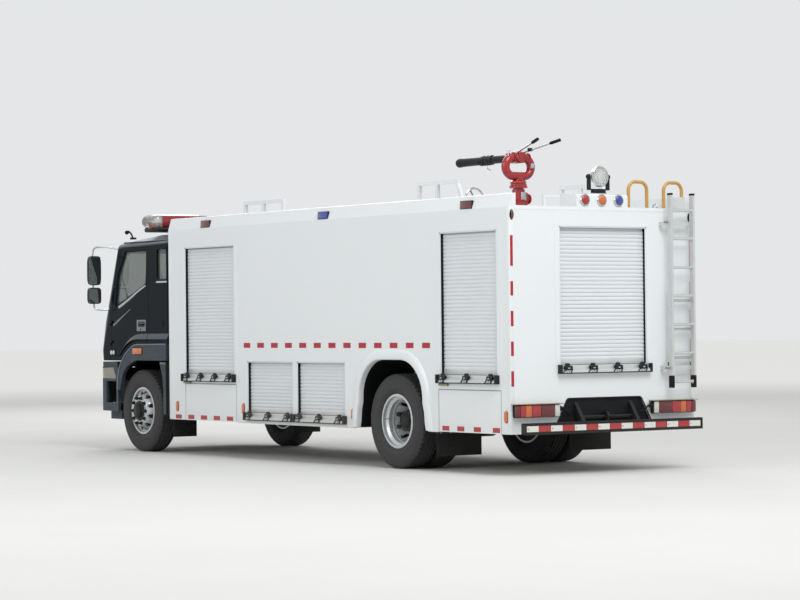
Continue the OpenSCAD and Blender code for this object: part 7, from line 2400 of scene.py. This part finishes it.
NODE_FINISH = {
    "chassis_frame": CHASSIS_ENAMEL, "axle_front": FORGED_IRON, "axle_rear": FORGED_IRON,
    "leaf_springs": FORGED_IRON, "engine_block": FORGED_IRON, "driveline": FORGED_IRON,
    "underbody_tanks": CHASSIS_ENAMEL, "front_bumper": SLATE_PLASTIC, "headlamps": HEADLAMP_LENS,
    "side_walls": WHITE_ENAMEL, "end_walls": WHITE_ENAMEL, "roof_deck": WHITE_ENAMEL,
    "body_floor": DECK_ENAMEL, "wheel_arches": WHITE_ENAMEL, "roller_shutters": SLAT_COAT,
    "shutter_guides": SEAL_RUBBER, "shutter_bars": STAINLESS, "rear_bumper": CHASSIS_ENAMEL,
    "tail_lamps": DARK_RED_LENS, "mudguards": FLAP_RUBBER, "ladder": LADDER_ALUMINIUM,
    "grab_hoops": HOOP_YELLOW, "roof_racks": WHITE_ENAMEL, "deck_bracket": WHITE_ENAMEL,
    "roof_valve": CHROME, "lamp_box": WHITE_ENAMEL, "marker_lamps": AMBER_LENS,
    "monitor_base": MONITOR_RED, "monitor_head": MONITOR_RED, "monitor_barrel": BLACK_PLASTIC,
    "searchlight_base": BLACK_PLASTIC, "searchlight_yoke": BLACK_PLASTIC,
    "searchlight_head": CHROME, "hatch_lid": WHITE_ENAMEL, "step_front_left": WHITE_ENAMEL,
    "step_front_right": WHITE_ENAMEL, "step_rear_left": WHITE_ENAMEL,
    "step_rear_right": WHITE_ENAMEL, "cab_shell": BLACK_ENAMEL, "cab_glass": WINDOW_GLASS,
    "cab_interior": BLACK_PLASTIC, "steering_wheel": BLACK_PLASTIC, "light_bar": RED_SHELL,
    "mirrors": BLACK_PLASTIC, "cab_trim": SLATE_PLASTIC, "door_left": BLACK_ENAMEL,
    "door_right": BLACK_ENAMEL, "door_glass_left": WINDOW_GLASS,
    "door_glass_right": WINDOW_GLASS, "knuckle_left": FORGED_IRON, "knuckle_right": FORGED_IRON,
    "tyre_front_left": TYRE_RUBBER, "tyre_front_right": TYRE_RUBBER,
    "rim_front_left": WHEEL_SILVER, "rim_front_right": WHEEL_SILVER,
    "tyres_rear_left": TYRE_RUBBER, "tyres_rear_right": TYRE_RUBBER,
    "rims_rear_left": WHEEL_SILVER, "rims_rear_right": WHEEL_SILVER,
}


def dress_solids() -> None:
    """Gives each solid of the frame its finish."""
    for name, solid in frame["nodes"].items():
        material = NODE_FINISH[name].material()
        solid.data.materials.clear()
        solid.data.materials.append(material)


@dataclass
class Studio:
    """The camera at the photo's angle, a pale floor and soft light."""

    eye: tuple = (-26.7775, 17.9454, 1.5785)
    focal_px: float = 2670.37
    yaw: float = -34.497
    pitch: float = 0.5691
    roll: float = -0.5724
    width_px: float = 800.0
    sensor: float = 36.0
    reach: float = 160.0
    # Distances between which the floor's glow grows, and its end value
    fade: tuple = (14.0, 46.0, 0.47)
    # Strength of the surround as light, and as what rays see
    surround: tuple = (0.62, 0.86)
    # Name, place, target, size in metres and power in watts
    lamps: tuple = (("key", (-16.0, 3.0, 17.0), (0.0, 0.0, 1.5), 12.0, 2600.0),
                    ("side", (-3.0, 20.0, 9.0), (0.0, 0.0, 1.2), 12.0, 900.0),
                    ("front", (17.0, -9.0, 12.0), (2.0, 0.0, 1.5), 10.0, 1100.0))

    def camera(self) -> None:
        """Places the camera that was fitted to the photo."""
        yaw, pitch, roll = (math.radians(a) for a in (self.yaw, self.pitch, self.roll))
        ahead = Vector((math.cos(yaw) * math.cos(pitch), math.sin(yaw) * math.cos(pitch),
                        math.sin(pitch)))
        right = Vector((math.sin(yaw), -math.cos(yaw), 0.0))
        up = right.cross(ahead)
        right, up = (math.cos(roll) * right + math.sin(roll) * up,
                     math.cos(roll) * up - math.sin(roll) * right)
        data = bpy.data.cameras.new("camera")
        data.sensor_width = self.sensor
        data.lens = self.focal_px / self.width_px * self.sensor
        data.clip_end = 500.0
        camera = bpy.data.objects.new("camera", data)
        turn = Matrix((right, up, -ahead)).transposed().to_4x4()
        camera.matrix_world = Matrix.Translation(self.eye) @ turn
        bpy.context.scene.collection.objects.link(camera)
        bpy.context.scene.camera = camera

    def floor(self) -> None:
        """Lays the pale floor, which reaches to the horizon."""
        mesh = bpy.data.meshes.new("floor")
        corners = ((-1, -1), (1, -1), (1, 1), (-1, 1))
        mesh.from_pydata([(self.reach * x, self.reach * y, 0) for x, y in corners], [],
                         [(0, 1, 2, 3)])
        plane = bpy.data.objects.new("floor", mesh)
        bpy.context.scene.collection.objects.link(plane)
        # Pale honed concrete: broad soft clouds, no gloss
        ground = Finish("pale_honed_concrete", "", "#dcdcd9", "#d4d4d0", 2.5, roughness=0.9,
                        grain=Grain.CAST, grain_size=0.05, grain_depth=0.0008)
        concrete = ground.material()
        mesh.materials.append(concrete)
        # Far off, the floor pales to the surround's level, so that no band shows at the horizon
        tree = concrete.node_tree
        far = add(tree, "ShaderNodeVectorMath", {
            0: add(tree, "ShaderNodeTexCoord").outputs["Object"]}, operation="LENGTH")
        pale = add(tree, "ShaderNodeMapRange", {
            "Value": far.outputs["Value"], "From Min": self.fade[0], "From Max": self.fade[1],
            "To Min": 0.0,
            "To Max": self.fade[2]}, interpolation_type="SMOOTHSTEP")
        shader = next(n for n in tree.nodes if n.type == "BSDF_PRINCIPLED")
        tree.links.new(pale.outputs["Result"], shader.inputs["Emission Strength"])

    def light(self) -> None:
        """Sets a white surround and three large soft lamps."""
        world = bpy.data.worlds.new("surround")
        bpy.context.scene.world = world
        world.use_nodes = True
        tree = world.node_tree
        tree.nodes.clear()
        rays = add(tree, "ShaderNodeLightPath")
        seen = add(tree, "ShaderNodeMath", {0: rays.outputs["Is Camera Ray"],
                                            1: rays.outputs["Is Transmission Ray"]},
                   operation="MAXIMUM")
        seen = add(tree, "ShaderNodeMath", {0: seen.outputs[0],
                                            1: rays.outputs["Is Glossy Ray"]},
                   operation="MAXIMUM")
        level = add(tree, "ShaderNodeMapRange",
                    {"Value": seen.outputs[0], "To Min": self.surround[0],
                                                 "To Max": self.surround[1]})
        sky = add(tree, "ShaderNodeBackground", {"Color": linear("#f4f6f8"),
                                                 "Strength": level.outputs["Result"]})
        add(tree, "ShaderNodeOutputWorld", {"Surface": sky.outputs[0]})
        for name, place, target, size, power in self.lamps:
            data = bpy.data.lights.new(name, "AREA")
            data.energy = power
            data.size = size
            data.shape = "DISK"
            lamp = bpy.data.objects.new(name, data)
            spot = Vector(place)
            aimed = (Vector(target) - spot).to_track_quat("-Z", "Y").to_matrix().to_4x4()
            lamp.matrix_world = Matrix.Translation(spot) @ aimed
            bpy.context.scene.collection.objects.link(lamp)

    def build(self) -> None:
        """Sets up the whole studio."""
        bpy.context.scene.view_settings.view_transform = "Standard"
        self.camera()
        self.floor()
        self.light()


def main() -> None:
    """Builds every sub-assembly in order."""
    Studio().build()
    dress_solids()
    for assembly in ASSEMBLIES:
        LOG.info("building %s", type(assembly).__name__)
        assembly.build()


if __name__ == "__main__":
    logging.basicConfig(level=logging.INFO, format="%(message)s")
    main()
